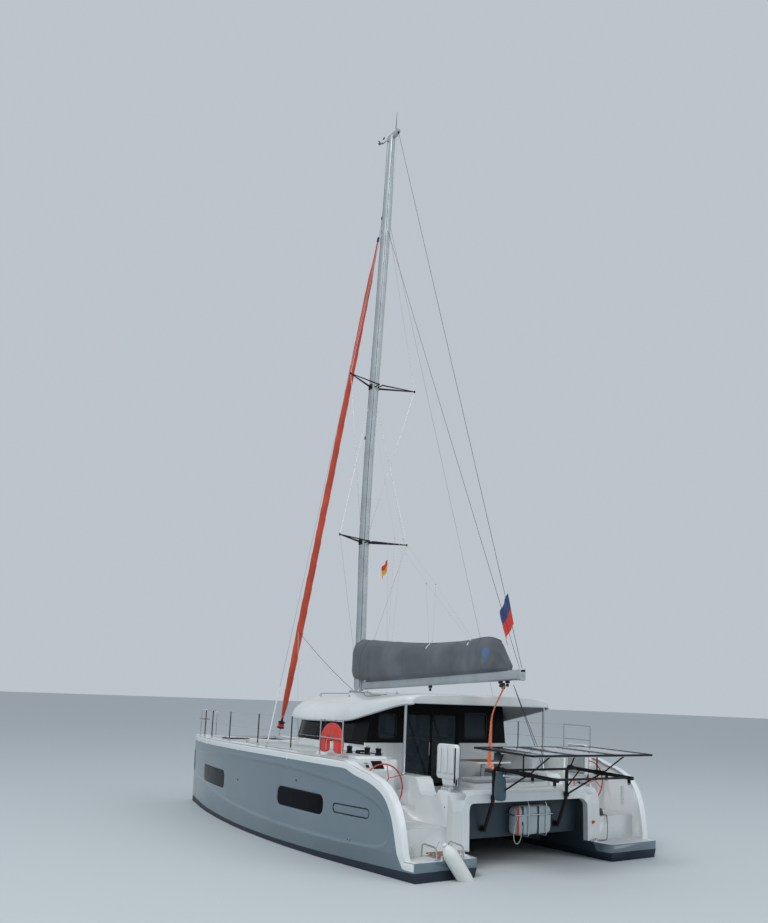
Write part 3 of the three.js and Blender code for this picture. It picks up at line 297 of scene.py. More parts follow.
@dataclass(frozen=True)
class Topsides(Finish):
    """The hull's outer skin: navy below the boot line, grey sides and a white rim along the top edge.

    The skin's UV map runs in metres: u along the rim and v down from it.
    """

    grey: Colour
    white: Colour
    navy: Colour
    rim: float = 0.12

    def fill(self, paint: Paint) -> None:
        """Adds the finish's shader nodes."""
        across = paint.axis("X")
        height = paint.axis("Z")
        down = paint.axis("Y", "UV")
        cloud = paint.noise(0.7, 4).ease(0.3, 0.75)
        runs = paint.noise(5, 3, (1, 1, 12)).ease(0.5, 0.85)
        low = (1 - height.ease(0.1, 0.9)) * runs * 0.28
        grey = paint.mix(cloud, self.grey, toned(self.grey, 0.93))
        worn = paint.mix(low, grey, tuple(c * f for c, f in zip(self.grey, (0.72, 0.74, 0.7))))
        sides = paint.mix((down < self.rim), worn, self.white)
        boot = 0.092 + across * across * 0.0021
        wet = paint.noise(9, 4, (3, 3, 1)).ease(0.35, 0.75)
        navy = paint.mix(wet * 0.5, self.navy, toned(self.navy, 1.9))
        under = height < boot
        paint.feed({
            "Base Color": paint.mix(under, sides, navy),
            "Roughness": under * 0.32 + 0.24 + paint.noise(2.2, 3) * 0.12,
            "Coat Weight": 0.45 - under * 0.4,
            "Coat Roughness": 0.07,
        })
        paint.bump(paint.noise(1.4, 1) + wet * under * 0.4, 0.003, 0.2,
                   rounding=0.016 if self.rim < 0 else 0.0)


@dataclass(frozen=True)
class NonSlip(Finish):
    """Moulded deck tread: a fine field of raised diamonds, darker in the grooves between them."""

    colour: Colour
    pitch: float = 0.012

    def fill(self, paint: Paint) -> None:
        """Adds the finish's shader nodes."""
        turned = paint.place((0, 0, math.radians(45)))
        split = [paint.node("ShaderNodeSeparateXYZ", {}, {0: turned}, a) for a in ("X", "Y")]
        ribs = [((s / self.pitch).part() - 0.5).size() for s in split]
        field_ = ribs[0].least(ribs[1]).ease(0.05, 0.3)
        worn = paint.noise(1.7, 5).ease(0.35, 0.8)
        dark = toned(self.colour, 0.72)
        paint.feed({
            "Base Color": paint.mix(worn * 0.5 + (1 - field_) * 0.25, self.colour, dark),
            "Roughness": 0.62 + worn * 0.15,
        })
        paint.bump(field_, 0.0012, 0.6)


@dataclass(frozen=True)
class Metal(Finish):
    """Drawn or anodised metal with fine lengthwise brushing and handled patches."""

    colour: Colour
    roughness: float = 0.3
    metallic: float = 1.0
    grain: Triple = (1, 1, 30)

    def fill(self, paint: Paint) -> None:
        """Adds the finish's shader nodes."""
        brushed = paint.noise(90, 3, self.grain)
        handled = paint.noise(2.4, 4).ease(0.35, 0.75)
        dull = toned(self.colour, 0.78)
        paint.feed({
            "Base Color": paint.mix(handled * 0.6 + brushed * 0.3, self.colour, dull),
            "Roughness": self.roughness + brushed * 0.1 + handled * 0.08,
            "Metallic": self.metallic,
        })
        paint.bump(brushed, 0.0004, 0.25)


@dataclass(frozen=True)
class TintedGlass(Finish):
    """Tinted pane that lets some light through, with faint salt spots."""

    seen_through = True
    colour: Colour
    cover: float = 0.72

    def fill(self, paint: Paint) -> None:
        """Adds the finish's shader nodes."""
        salt = paint.noise(26, 5).ease(0.58, 0.8)
        paint.feed({
            "Base Color": paint.mix(salt * 0.12, self.colour, (0.5, 0.52, 0.52)),
            "Roughness": 0.05 + salt * 0.2,
            "Alpha": self.cover + salt * 0.08,
            "Specular IOR Level": 0.12,
        })


@dataclass(frozen=True)
class Cloth(Finish):
    """Woven cloth: threads both ways, sheen, faded patches and weather stains."""

    colour: Colour
    pitch: float = 0.004
    fade: float = 0.22
    sheen: float = 0.3
    source: str = "Object"

    def fill(self, paint: Paint) -> None:
        """Adds the finish's shader nodes."""
        axes = ("X", "Y") if self.source == "UV" else ("X", "Z")
        threads = [(paint.axis(a, self.source) * (math.tau / self.pitch)).sine() for a in axes]
        weave = (threads[0] * threads[1]) * 0.5 + 0.5
        faded = paint.noise(1.3, 5).ease(0.32, 0.78)
        stain = paint.noise(4.2, 4, (1, 1, 5)).ease(0.5, 0.8)
        light = tuple(min(1.0, c * (1 + self.fade * 1.6) + 0.01) for c in self.colour)
        dark = tuple(c * (1 - self.fade) for c in self.colour)
        base = paint.mix(faded, dark, light)
        paint.feed({
            "Base Color": paint.mix(stain * 0.35, base, toned(self.colour, 0.62)),
            "Roughness": 0.78 + faded * 0.12,
            "Sheen Weight": self.sheen,
            "Sheen Roughness": 0.5,
        })
        paint.bump(weave * 0.35 + paint.noise(55, 3), 0.0016, 0.5)


@dataclass(frozen=True)
class Plastic(Finish):
    """Moulded plastic or rubber with a fine grain, scuffs and dust."""

    colour: Colour
    roughness: float = 0.42
    grain: float = 420.0
    gloss: float = 0.5

    def fill(self, paint: Paint) -> None:
        """Adds the finish's shader nodes."""
        scuff = paint.noise(13, 5, (1, 1, 3)).ease(0.52, 0.78)
        pale = tuple(min(1.0, c * 1.35 + 0.015) for c in self.colour)
        dusty = paint.noise(2.1, 4).ease(0.3, 0.8)
        base = paint.mix(dusty * 0.5, self.colour, toned(self.colour, 0.84))
        paint.feed({
            "Base Color": paint.mix(scuff * 0.4, base, pale),
            "Roughness": self.roughness + scuff * 0.2,
            "Specular IOR Level": self.gloss,
        })
        paint.bump(paint.noise(self.grain, 2), 0.0004, 0.35)


@dataclass(frozen=True)
class Rope(Finish):
    """Braided line. Its UV map runs round it in u and along it in v, in metres."""

    colour: Colour
    fleck: Colour
    pitch: float = 0.02

    def fill(self, paint: Paint) -> None:
        """Adds the finish's shader nodes."""
        around = paint.axis("X", "UV")
        along = paint.axis("Y", "UV")
        lay = [((around * 2 + along * (s / self.pitch)).part() - 0.5).size() for s in (1, -1)]
        strand = lay[0].least(lay[1]).ease(0.02, 0.3)
        tracer = (((around + along / (self.pitch * 4)).part()) < 0.2)
        paint.feed({
            "Base Color": paint.mix(tracer * 0.7 + (1 - strand) * 0.2, self.colour, self.fleck),
            "Roughness": 0.8,
            "Sheen Weight": 0.2,
        })
        paint.bump(strand, 0.0012, 0.6)


@dataclass(frozen=True)
class Teak(Finish):
    """Weathered teak with grain and dark pores along x."""

    colour: Colour

    def fill(self, paint: Paint) -> None:
        """Adds the finish's shader nodes."""
        grain = paint.noise(38, 6, (14, 1, 1))
        bleached = paint.noise(3, 4).ease(0.35, 0.75)
        grey = (0.30, 0.27, 0.23)
        base = paint.mix(bleached * 0.55, self.colour, grey)
        paint.feed({
            "Base Color": paint.mix(grain.ease(0.5, 0.72) * 0.6, base, toned(self.colour, 0.35)),
            "Roughness": 0.66 + grain * 0.15,
        })
        paint.bump(grain, 0.001, 0.5)


@dataclass(frozen=True)
class SolarCells(Finish):
    """Dark cells in a square lattice under glass, with pale gaps and fine silver bus lines."""

    colour: Colour
    pitch: float = 0.166

    def fill(self, paint: Paint) -> None:
        """Adds the finish's shader nodes."""
        spots = [(paint.axis(a) / self.pitch + 0.5).part() for a in ("X", "Y")]
        edges = [(s - 0.5).size() for s in spots]
        gap = edges[0].most(edges[1]) > 0.482
        corner = (edges[0] + edges[1]) > 0.93
        bus = (((spots[0] * 3).part() - 0.5).size() < 0.018)
        fingers = ((paint.axis("Y") * 420).part() < 0.12) * 0.12
        cloud = paint.noise(1.1, 3).ease(0.3, 0.8)
        cell = paint.mix(cloud * 0.5 + fingers, self.colour, toned(self.colour, 1.7))
        lines = gap.most(corner) * 0.55 + bus * 0.35
        paint.feed({
            "Base Color": paint.mix(lines.least(1.0), cell, (0.45, 0.48, 0.5)),
            "Roughness": 0.16 + paint.noise(7, 4).ease(0.4, 0.8) * 0.16,
            "Coat Weight": 0.9,
            "Coat Roughness": 0.06,
        })


@dataclass(frozen=True)
class Net(Finish):
    """Knotless square netting: cords with open squares between them."""

    seen_through = True
    colour: Colour
    pitch: float = 0.03

    def fill(self, paint: Paint) -> None:
        """Adds the finish's shader nodes."""
        turned = paint.place((0, 0, math.radians(45)))
        cords = []
        for name in ("X", "Y"):
            spot = paint.node("ShaderNodeSeparateXYZ", {}, {0: turned}, name)
            cords.append(((spot / self.pitch).part() - 0.5).size())
        cord = cords[0].most(cords[1])
        paint.feed({
            "Base Color": paint.mix(paint.noise(30, 3), self.colour, toned(self.colour, 0.6)),
            "Roughness": 0.85,
            "Alpha": (cord > 0.36),
        })
        paint.bump(cord, 0.002, 0.5)


class Finishes:
    """Every finish on the boat, by the name of its use."""

    WHITE = Gelcoat("white_gelcoat", shade(222, 227, 228))
    # White gelcoat darkened to grey for the roof's underside: painted shade.
    SHADED_UNDERSIDE = Gelcoat("underside_painted_shade", shade(178, 186, 190), 0.4, 0.03, 0.2)
    SIDES = Topsides("topsides_skin", shade(108, 125, 135), shade(222, 227, 228), shade(20, 34, 50))
    HULL = Topsides("hull_moulding", shade(108, 125, 135), shade(222, 227, 228), shade(20, 34, 50), -1.0)
    TREAD = NonSlip("deck_tread", shade(203, 208, 208))
    SOLE = NonSlip("cockpit_tread", shade(150, 156, 158))
    # Hull grey darkened for the tunnel and the bridgedeck's underside and aft face: painted shade.
    SHADED_TUNNEL = Gelcoat("tunnel_painted_shade", shade(46, 62, 72), 0.45, 0.2, 0.05)
    BOTTOM = Plastic("antifouling", shade(24, 34, 48), 0.75, 60)
    SPAR = Metal("spar_silver", shade(182, 188, 192), 0.42, 0.55)
    STEEL = Metal("polished_steel", shade(205, 208, 210), 0.18, 1.0, (1, 1, 12))
    BRONZE = Metal("bronze", shade(176, 132, 84), 0.35)
    BLACK = Metal("black_anodised", shade(30, 32, 35), 0.45, 0.5)
    DARK_GLASS = TintedGlass("dark_glass", shade(8, 11, 16), 0.86)
    PALE_GLASS = TintedGlass("pale_glass", shade(70, 84, 92), 0.35)
    PORT_GLASS = Plastic("hull_window_glass", shade(7, 12, 18), 0.14, gloss=0.04)
    FRAME = Plastic("dark_frame", shade(10, 12, 15), 0.4, gloss=0.08)
    RUBBER = Plastic("black_rubber", shade(20, 21, 23), 0.55, gloss=0.2)
    CANVAS = Cloth("bag_canvas", shade(84, 90, 97), 0.005, 0.2, 0.25)
    LINING = Cloth("bag_webbing", shade(205, 208, 206), 0.003, 0.1)
    SACRIFICE = Cloth("sail_strip", shade(196, 70, 44), 0.004, 0.16, 0.2)
    RED = Cloth("buoy_cover", shade(206, 48, 34), 0.004, 0.14, 0.2)
    RIM_RED = Plastic("wheel_rim", shade(198, 58, 40), 0.4)
    ORANGE = Plastic("orange_moulding", shade(232, 112, 34), 0.45)
    CUSHION = Cloth("cushion_cover", shade(150, 156, 158), 0.003, 0.1, 0.3)
    PALE_CUSHION = Cloth("seat_vinyl", shade(208, 212, 211), 0.006, 0.06, 0.1)
    FENDER = Plastic("fender_vinyl", shade(226, 229, 226), 0.38, 200)
    RAFT = Cloth("raft_cloth", shade(176, 190, 196), 0.006, 0.12)
    FLAG_BLUE = Cloth("blue_bunting", shade(40, 62, 112), 0.002, 0.12, 0.2)
    FLAG_YELLOW = Cloth("yellow_bunting", shade(214, 170, 50), 0.002, 0.12, 0.2)
    BADGE = Cloth("badge_cloth", shade(70, 104, 142), 0.003, 0.1)
    BLUE_CANVAS = Cloth("blue_canvas", shade(70, 92, 108), 0.005, 0.2, 0.2)
    CELLS = SolarCells("solar_cells", shade(36, 46, 62))
    NET = Net("trampoline_net", shade(52, 56, 60))
    TEAK = Teak("teak", shade(150, 106, 70))
    OAK = Teak("cabin_oak", shade(176, 140, 98))
    ENGINE = Plastic("engine_enamel", shade(96, 108, 116), 0.4, 90)
    WHITE_ROPE = Rope("white_line", shade(206, 206, 198), shade(120, 122, 124))
    BLACK_ROPE = Rope("black_line", shade(34, 35, 38), shade(96, 98, 100))
    ORANGE_ROPE = Rope("orange_line", shade(226, 92, 40), shade(250, 190, 150))


# Surfaces on grids


def along(knots: Sequence[float], values: Sequence[float], at: Array) -> Array:
    """Monotone cubic through a table. A knot's slope is the harmonic mean of its neighbours' slopes.

    Args:
        knots: rising places.
        values: the table's values there.
        at: where the curve is wanted.

    Returns:
        The curve's values.
    """
    x, y = np.asarray(knots, float), np.asarray(values, float)
    step = np.diff(x)
    rise = np.diff(y) / step
    product = rise[:-1] * rise[1:]
    total = np.where(np.abs(rise[:-1] + rise[1:]) < 1e-12, 1.0, rise[:-1] + rise[1:])
    inner = np.where(product > 0, 2 * product / total, 0.0)
    slope = np.concatenate([rise[:1], inner, rise[-1:]])
    i = np.clip(np.searchsorted(x, at) - 1, 0, len(x) - 2)
    t = np.clip((at - x[i]) / step[i], 0, 1)
    h = step[i]
    return (
        y[i] * (1 + 2 * t) * (1 - t) ** 2
        + h * slope[i] * t * (1 - t) ** 2
        + y[i + 1] * t * t * (3 - 2 * t)
        + h * slope[i + 1] * t * t * (t - 1)
    )


def resampled(path: Sequence[Sequence[float]], count: int, smooth: bool = True) -> Array:
    """Points at even spacing along a path, through a monotone cubic of each coordinate over its length."""
    knots = np.asarray(path, float)
    gaps = np.maximum(np.linalg.norm(np.diff(knots, axis=0), axis=1), 1e-9)
    length = np.concatenate([[0], np.cumsum(gaps)])
    at = np.linspace(0, length[-1], count)
    if smooth:
        return np.stack([along(length, knots[:, k], at) for k in range(knots.shape[1])], 1)
    return np.stack([np.interp(at, length, knots[:, k]) for k in range(knots.shape[1])], 1)


def ease(value: Array, start: float, end: float) -> Array:
    """The smooth step t*t*(3 - 2t), with t running from 0 at start to 1 at end."""
    t = np.clip((value - start) / (end - start), 0, 1)
    return t * t * (3 - 2 * t)


def circle(count: int) -> Array:
    """Evenly spaced angles once round."""
    return np.arange(count) / count * math.tau


def signed_power(value: Array, power: Array | float) -> Array:
    """The value's size to a power, with its sign."""
    return np.sign(value) * np.abs(value) ** power


def squarish(angle: Array, power: float) -> tuple[Array, Array]:
    """Cosine and sine drawn out to a rounded square."""
    return signed_power(np.cos(angle), power), signed_power(np.sin(angle), power)


def lattice(*coordinates: Array | float) -> Array:
    """Points with these coordinates, each spread over the shape that they share."""
    return np.stack(np.broadcast_arrays(*coordinates), -1)


def normals_of(path: Array) -> Array:
    """Unit vectors square to a flat path, to its right."""
    step = np.gradient(path, axis=0)
    step /= np.maximum(np.linalg.norm(step, axis=1), 1e-9)[:, None]
    return np.stack([step[:, 1], -step[:, 0]], 1)


def spot(curve: Callable[..., Array], *place: float) -> float:
    """One value of a curve or surface that is written for arrays."""
    return float(curve(*(np.array([v]) for v in place))[0])


class Skin:
    """Gathers grids of points and turns them into one mesh object."""

    planes = {"xy": [0, 1, 2], "xz": [0, 2, 1], "yz": [2, 0, 1]}

    def __init__(self) -> None:
        """Starts empty."""
        self.points: list[Array] = []
        self.faces: list[tuple[Array, int]] = []
        self.uvs: list[Array] = []
        self.count = 0

    def add(self, points: Array, faces: Sequence[Array], slot: int = 0, uv: Array | None = None) -> "Skin":
        """Adds points with their faces.

        Args:
            points: rows of x, y, z.
            faces: arrays of corner numbers, one array for each face size.
            slot: the finish's number.
            uv: rows of u, v, if the piece has them.

        Returns:
            The skin itself.
        """
        points = np.asarray(points, float).reshape(-1, 3)
        self.points.append(points)
        self.uvs.append(np.zeros((len(points), 2)) if uv is None else uv.reshape(-1, 2))
        self.faces += [(np.atleast_2d(f) + self.count, slot) for f in faces]
        self.count += len(points)
        return self

    def grid(
        self,
        points: Array,
        slot: int = 0,
        round_u: bool = False,
        round_v: bool = False,
        caps: bool = False,
        uv: Array | None = None,
        flip: bool = False,
    ) -> "Skin":
        """Adds a grid of quads.

        Args:
            points: an array of rows by columns by 3.
            slot: the finish's number.
            round_u: whether the last row joins the first.
            round_v: whether the last column joins the first.
            caps: whether the first and last rows are closed with a face; the whole is then turned outwards.
            uv: an array of rows by columns by 2.
            flip: turns the faces over.

        Returns:
            The skin itself.
        """
        rows, columns = points.shape[:2]
        number = np.arange(rows * columns).reshape(rows, columns)
        if round_u:
            number = np.vstack([number, number[:1]])
        if round_v:
            number = np.hstack([number, number[:, :1]])
        corners = (number[:-1, :-1], number[1:, :-1], number[1:, 1:], number[:-1, 1:])
        quads = np.stack([c.ravel() for c in corners], 1)
        faces = [quads]
        if caps:
            faces += [number[0, :columns][None, :], number[rows - 1, :columns][::-1][None, :]]
        closed = (caps and round_v) or (round_u and round_v)
        if closed and self._volume(points.reshape(-1, 3), faces) < 0:
            flip = not flip
        if flip:
            faces = [f[:, ::-1] for f in faces]
        return self.add(points, faces, slot, uv)

    @staticmethod
    def _volume(points: Array, faces: Sequence[Array]) -> float:
        """Six times the signed volume, from fans of triangles on every face."""
        total = 0.0
        for face in faces:
            first = points[face[:, 0]]
            for k in range(1, face.shape[1] - 1):
                total += np.einsum("ij,ij->", first, np.cross(points[face[:, k]], points[face[:, k + 1]]))
        return total

    def tube(self, path: Array, radius: float | Array, sides: int = 10, slot: int = 0) -> "Skin":
        """Adds a closed round bar along a path: centre + r (cos a N + sin a B), N and B square to it."""
        path = np.asarray(path, float)
        tangent = np.gradient(path, axis=0)
        tangent /= np.linalg.norm(tangent, axis=1)[:, None]
        spread = np.linalg.svd(path - path.mean(0))[2][2] if len(path) > 2 else np.array([0.0, 0.0, 1.0])
        if len(path) == 2 and abs(tangent[0, 2]) > 0.9:
            spread = np.array([1.0, 0.0, 0.0])
        normal = np.cross(tangent, spread)
        normal /= np.maximum(np.linalg.norm(normal, axis=1), 1e-9)[:, None]
        other = np.cross(tangent, normal)
        angle = circle(sides)
        r = np.broadcast_to(np.asarray(radius, float), len(path))[:, None, None]
        cosine, sine = np.cos(angle)[None, :, None], np.sin(angle)[None, :, None]
        ring = cosine * normal[:, None] + sine * other[:, None]
        length = np.concatenate([[0], np.cumsum(np.linalg.norm(np.diff(path, axis=0), axis=1))])
        uv = np.stack(np.meshgrid(angle / math.tau, length), -1)
        return self.grid(path[:, None] + r * ring, slot, round_v=True, caps=True, uv=uv)

    def bar(self, start: Triple, end: Triple, radius: float | Array, sides: int = 10,
            slot: int = 0) -> "Skin":
        """Adds a straight round bar between two points."""
        count = 2 if np.ndim(radius) == 0 else len(radius)
        return self.tube(np.linspace(start, end, count), radius, sides, slot)

    def pipe(self, path: Sequence[Triple], radius: float, slot: int = 0, sides: int = 12,
             bend: float = 0.06) -> "Skin":
        """Adds a bent pipe with rounded corners."""
        return self.tube(filleted(path, bend), radius, sides, slot)

    def turned(
        self,
        profile: Sequence[tuple[float, float]],
        centre: Triple,
        axis: Triple = (0, 0, 1),
        sides: int = 32,
        slot: int = 0,
    ) -> "Skin":
        """Adds a lathe shape: each profile point is (radius, height) about the axis through centre."""
        shape = np.asarray(profile, float)
        up = np.asarray(axis, float) / np.linalg.norm(axis)
        across = np.cross(up, (1.0, 0.0, 0.0) if abs(up[0]) < 0.9 else (0.0, 1.0, 0.0))
        across /= np.linalg.norm(across)
        other = np.cross(up, across)
        angle = circle(sides)
        ring = np.cos(angle)[:, None] * across + np.sin(angle)[:, None] * other
        radius = np.maximum(shape[:, 0], 1e-4)[:, None, None]
        points = np.asarray(centre, float) + radius * ring[None] + shape[:, 1][:, None, None] * up
        return self.grid(points, slot, round_v=True, caps=True)

    def sheave(self, centre: Triple, rim: float, waist: float, half: float, sides: int) -> None:
        """Adds a grooved wheel that turns about y, in the third finish."""
        profile = [(0, -half), (rim, -half), (waist, 0), (rim, half), (0, half)]
        self.turned(profile, centre, (0, 1, 0), sides, 2)

    def box(
        self,
        low: Triple,
        high: Triple,
        radius: float = 0.01,
        slot: int = 0,
        steps: int = 4,
        bulge: float = 0.0,
    ) -> "Skin":
        """Adds a box with rounded edges: corner centre + r n, for directions n, one octant at a time.

        Args:
            low, high: opposite corners.
            radius: of the edges.
            slot: the finish's number.
            steps: points on a quarter turn.
            bulge: how far the broad faces crown outwards in the middle.

        Returns:
            The skin itself.
        """
        low, high = np.asarray(low, float), np.asarray(high, float)
        radius = min(radius, float((high - low).min()) / 2.02)
        quarter = np.linspace(0, math.pi / 2, steps)
        turn = np.concatenate([quarter + k * math.pi / 2 for k in range(4)])
        sign_x = np.repeat([1, -1, -1, 1], steps)
        sign_y = np.repeat([1, 1, -1, -1], steps)
        tilt = np.concatenate([quarter - math.pi / 2, quarter])
        sign_z = np.repeat([-1, 1], steps)
        direction = np.stack([
            np.cos(tilt)[:, None] * np.cos(turn)[None],
            np.cos(tilt)[:, None] * np.sin(turn)[None],
            np.broadcast_to(np.sin(tilt)[:, None], (len(tilt), len(turn))),
        ], -1)
        signs = np.stack(np.broadcast_arrays(sign_x[None], sign_y[None], sign_z[:, None]), -1)
        half = (high - low) / 2 - radius
        points = (low + high) / 2 + signs * half + radius * direction
        if bulge:
            middle = (low + high) / 2
            reach = np.maximum((high - low) / 2, 1e-6)
            t = (points - middle) / reach
            crown = np.prod(1 - np.clip(np.abs(t[..., :2]), 0, 1) ** 4, axis=-1)
            points[..., 2] += np.sign(t[..., 2]) * crown * bulge
        return self.grid(points, slot, round_v=True, caps=True)

    def prism(
        self,
        outline: Array,
        spans: tuple[float, float],
        plane: str = "xz",
        soft: float = 0.004,
        slot: int = 0,
    ) -> "Skin":
        """Adds a flat-sided body: an outline carried across its plane, with rounded rims.

        Args:
            outline: points in the plane, in order round it.
            spans: start and end across the plane.
            plane: xy, xz or yz.
            soft: the radius of the rims.
            slot: the finish's number.

        Returns:
            The skin itself.
        """
        outline = np.asarray(outline, float)
        quarter = np.linspace(0, math.pi / 2, 4)
        inward = soft * (1 - np.sin(quarter))
        rise = soft * (1 - np.cos(quarter))
        levels = np.concatenate([spans[0] + rise, spans[1] - rise[::-1]])
        insets = np.concatenate([inward, inward[::-1]])
        rings = np.stack([inset(outline, d) for d in insets])
        order = self.planes[plane]
        across = np.broadcast_to(levels[:, None, None], (*rings.shape[:2], 1))
        return self.grid(np.concatenate([rings, across], -1)[..., order], slot, round_v=True, caps=True)

    def object(self, name: str, finishes: Sequence[Finish], sharp: float = 35.0) -> bpy.types.Object:
        """Makes the mesh object with its finishes and smooth shading.

        Args:
            name: the piece's name.
            finishes: one for each slot number.
            sharp: the angle in degrees past which an edge stays crisp.

        Returns:
            The new object.
        """
        mesh = bpy.data.meshes.new(name)
        points = np.concatenate(self.points)
        mesh.vertices.add(len(points))
        mesh.vertices.foreach_set("co", points.ravel())
        corners = np.concatenate([f.ravel() for f, _ in self.faces])
        totals = np.concatenate([np.full(len(f), f.shape[1]) for f, _ in self.faces])
        slots = np.concatenate([np.full(len(f), s) for f, s in self.faces])
        mesh.loops.add(len(corners))
        mesh.loops.foreach_set("vertex_index", corners.astype(np.int32))
        mesh.polygons.add(len(totals))
        starts = np.concatenate([[0], np.cumsum(totals)[:-1]])
        mesh.polygons.foreach_set("loop_start", starts.astype(np.int32))
        paint_faces(mesh, slots)
        mesh.polygons.foreach_set("use_smooth", np.ones(len(totals), bool))
        layer = mesh.uv_layers.new(name="UVMap")
        layer.data.foreach_set("uv", np.concatenate(self.uvs)[corners].ravel().astype(np.float32))
        mesh.update(calc_edges=True)
        mesh.validate()
        mesh.set_sharp_from_angle(angle=math.radians(sharp))
        for finish in finishes:
            mesh.materials.append(finish.material())
        made = bpy.data.objects.new(name, mesh)
        bpy.context.scene.collection.objects.link(made)
        return made


def inset(outline: Array, depth: float) -> Array:
    """Moves each corner inwards along the mitre of its two edges: p + d (n1 + n2) / (1 + n1.n2)."""
    edge = np.roll(outline, -1, 0) - outline
    edge /= np.maximum(np.linalg.norm(edge, axis=1), 1e-9)[:, None]
    x, y = outline.T
    turn = 1.0 if (x * np.roll(y, -1) - y * np.roll(x, -1)).sum() > 0 else -1.0
    normal = turn * np.stack([-edge[:, 1], edge[:, 0]], 1)
    before = np.roll(normal, 1, 0)
    scale = np.maximum(1 + (normal * before).sum(1), 0.3)[:, None]
    return outline + depth * (normal + before) / scale


def filleted(path: Sequence[Sequence[float]], bend: float, steps: int = 6) -> Array:
    """Rounds a path's corners with (1-t)^2 a + 2t(1-t) corner + t^2 b between points bend away.

    Args:
        path: the corners.
        bend: how far from a corner its curve starts.
        steps: points on each curve.

    Returns:
        The finer path.
    """
    knots = np.asarray(path, float)
    if len(knots) < 3:
        return knots
    before, corner, after = knots[:-2], knots[1:-1], knots[2:]
    back, ahead = before - corner, after - corner
    lengths = [np.linalg.norm(v, axis=1)[:, None] for v in (back, ahead)]
    a = corner + back / lengths[0] * np.minimum(bend, lengths[0] * 0.48)
    b = corner + ahead / lengths[1] * np.minimum(bend, lengths[1] * 0.48)
    t = np.linspace(0, 1, steps)[None, :, None]
    arcs = (1 - t) ** 2 * a[:, None] + 2 * t * (1 - t) * corner[:, None] + t * t * b[:, None]
    return np.concatenate([knots[:1], arcs.reshape(-1, knots.shape[1]), knots[-1:]])


def rounded_outline(low: Sequence[float], high: Sequence[float], radius: float, steps: int = 6) -> Array:
    """A rectangle with quarter circles at its corners, counter-clockwise."""
    quarter = np.linspace(0, math.pi / 2, steps)
    centres = [(high[0], high[1], 1, 1), (low[0], high[1], -1, 1), (low[0], low[1], -1, -1),
               (high[0], low[1], 1, -1)]
    arcs = []
    for k, (x, y, sx, sy) in enumerate(centres):
        a = quarter + k * math.pi / 2
        arcs.append(np.stack([x - sx * radius + radius * np.cos(a),
                              y - sy * radius + radius * np.sin(a)], 1))
    return np.concatenate(arcs)


def dress(made: bpy.types.Object, body: str, slot: str, *nodes: str) -> bpy.types.Object:
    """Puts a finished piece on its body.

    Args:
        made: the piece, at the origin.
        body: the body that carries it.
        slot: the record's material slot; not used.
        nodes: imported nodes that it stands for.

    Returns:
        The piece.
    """
    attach(made, body)
    if nodes:
        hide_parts(*nodes)
    return made


def lead(made: bpy.types.Object) -> bpy.types.Object:
    """Bakes the placement of a line that runs from the boat to the boom into its mesh; it is put on no body.

    Args:
        made: the piece, at the origin.

    Returns:
        The piece.
    """
    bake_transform(made)
    return made


def parts_of(low: Triple, high: Triple, axis: int, count: int,
             gap: float = 0.004) -> list[tuple[Triple, Triple]]:
    """Cuts a box into equal parts along one axis.

    Args:
        low: the box's lowest corner.
        high: its highest corner.
        axis: 0 for x, 1 for y, 2 for z.
        count: how many parts.
        gap: taken off each part's two ends.

    Returns:
        Each part's lowest and highest corner.
    """
    parts = []
    edges = np.linspace(low[axis], high[axis], count + 1)
    for a, b in zip(edges[:-1], edges[1:]):
        start, end = list(low), list(high)
        start[axis], end[axis] = a + gap, b - gap
        parts.append((tuple(start), tuple(end)))
    return parts


def face_places(mesh: bpy.types.Mesh) -> tuple[Array, Array]:
    """Centres and normals of a mesh's faces."""
    found = []
    for key in ("center", "normal"):
        values = np.zeros(len(mesh.polygons) * 3)
        mesh.polygons.foreach_get(key, values)
        found.append(values.reshape(-1, 3))
    return found[0], found[1]


def paint_faces(mesh: bpy.types.Mesh, slots: Array) -> None:
    """Gives each face its finish by number."""
    mesh.polygons.foreach_set("material_index", slots.astype(np.int32))


def copied(
    node: str,
    finishes: Sequence[Finish],
    drop: Callable[[Array, Array], Array] | None = None,
    sharp: float = 28.0,
) -> bpy.types.Object:
    """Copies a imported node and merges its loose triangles.

    Args:
        node: the node's name.
        finishes: the copy's finishes.
        drop: picks faces to leave out, from their centres and normals.
        sharp: the angle in degrees past which an edge counts as crisp.

    Returns:
        The copy, at the origin.
    """
    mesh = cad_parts[node].data.copy()
    mesh.name = f"{node}_soft"
    work = bmesh.new()
    work.from_mesh(mesh)
    bmesh.ops.remove_doubles(work, verts=work.verts, dist=2e-5)
    if drop is not None:
        centres = np.array([f.calc_center_median() for f in work.faces])
        normals = np.array([f.normal for f in work.faces])
        gone = [f for f, out in zip(work.faces, drop(centres, normals)) if out]
        bmesh.ops.delete(work, geom=gone, context="FACES")
    work.to_mesh(mesh)
    work.free()
    mesh.materials.clear()
    for finish in finishes:
        mesh.materials.append(finish.material())
    mesh.polygons.foreach_set("use_smooth", np.ones(len(mesh.polygons), bool))
    paint_faces(mesh, np.zeros(len(mesh.polygons)))
    made = bpy.data.objects.new(mesh.name, mesh)
    bpy.context.scene.collection.objects.link(made)
    mesh.set_sharp_from_angle(angle=math.radians(sharp))
    return made


# Camera, light and floor


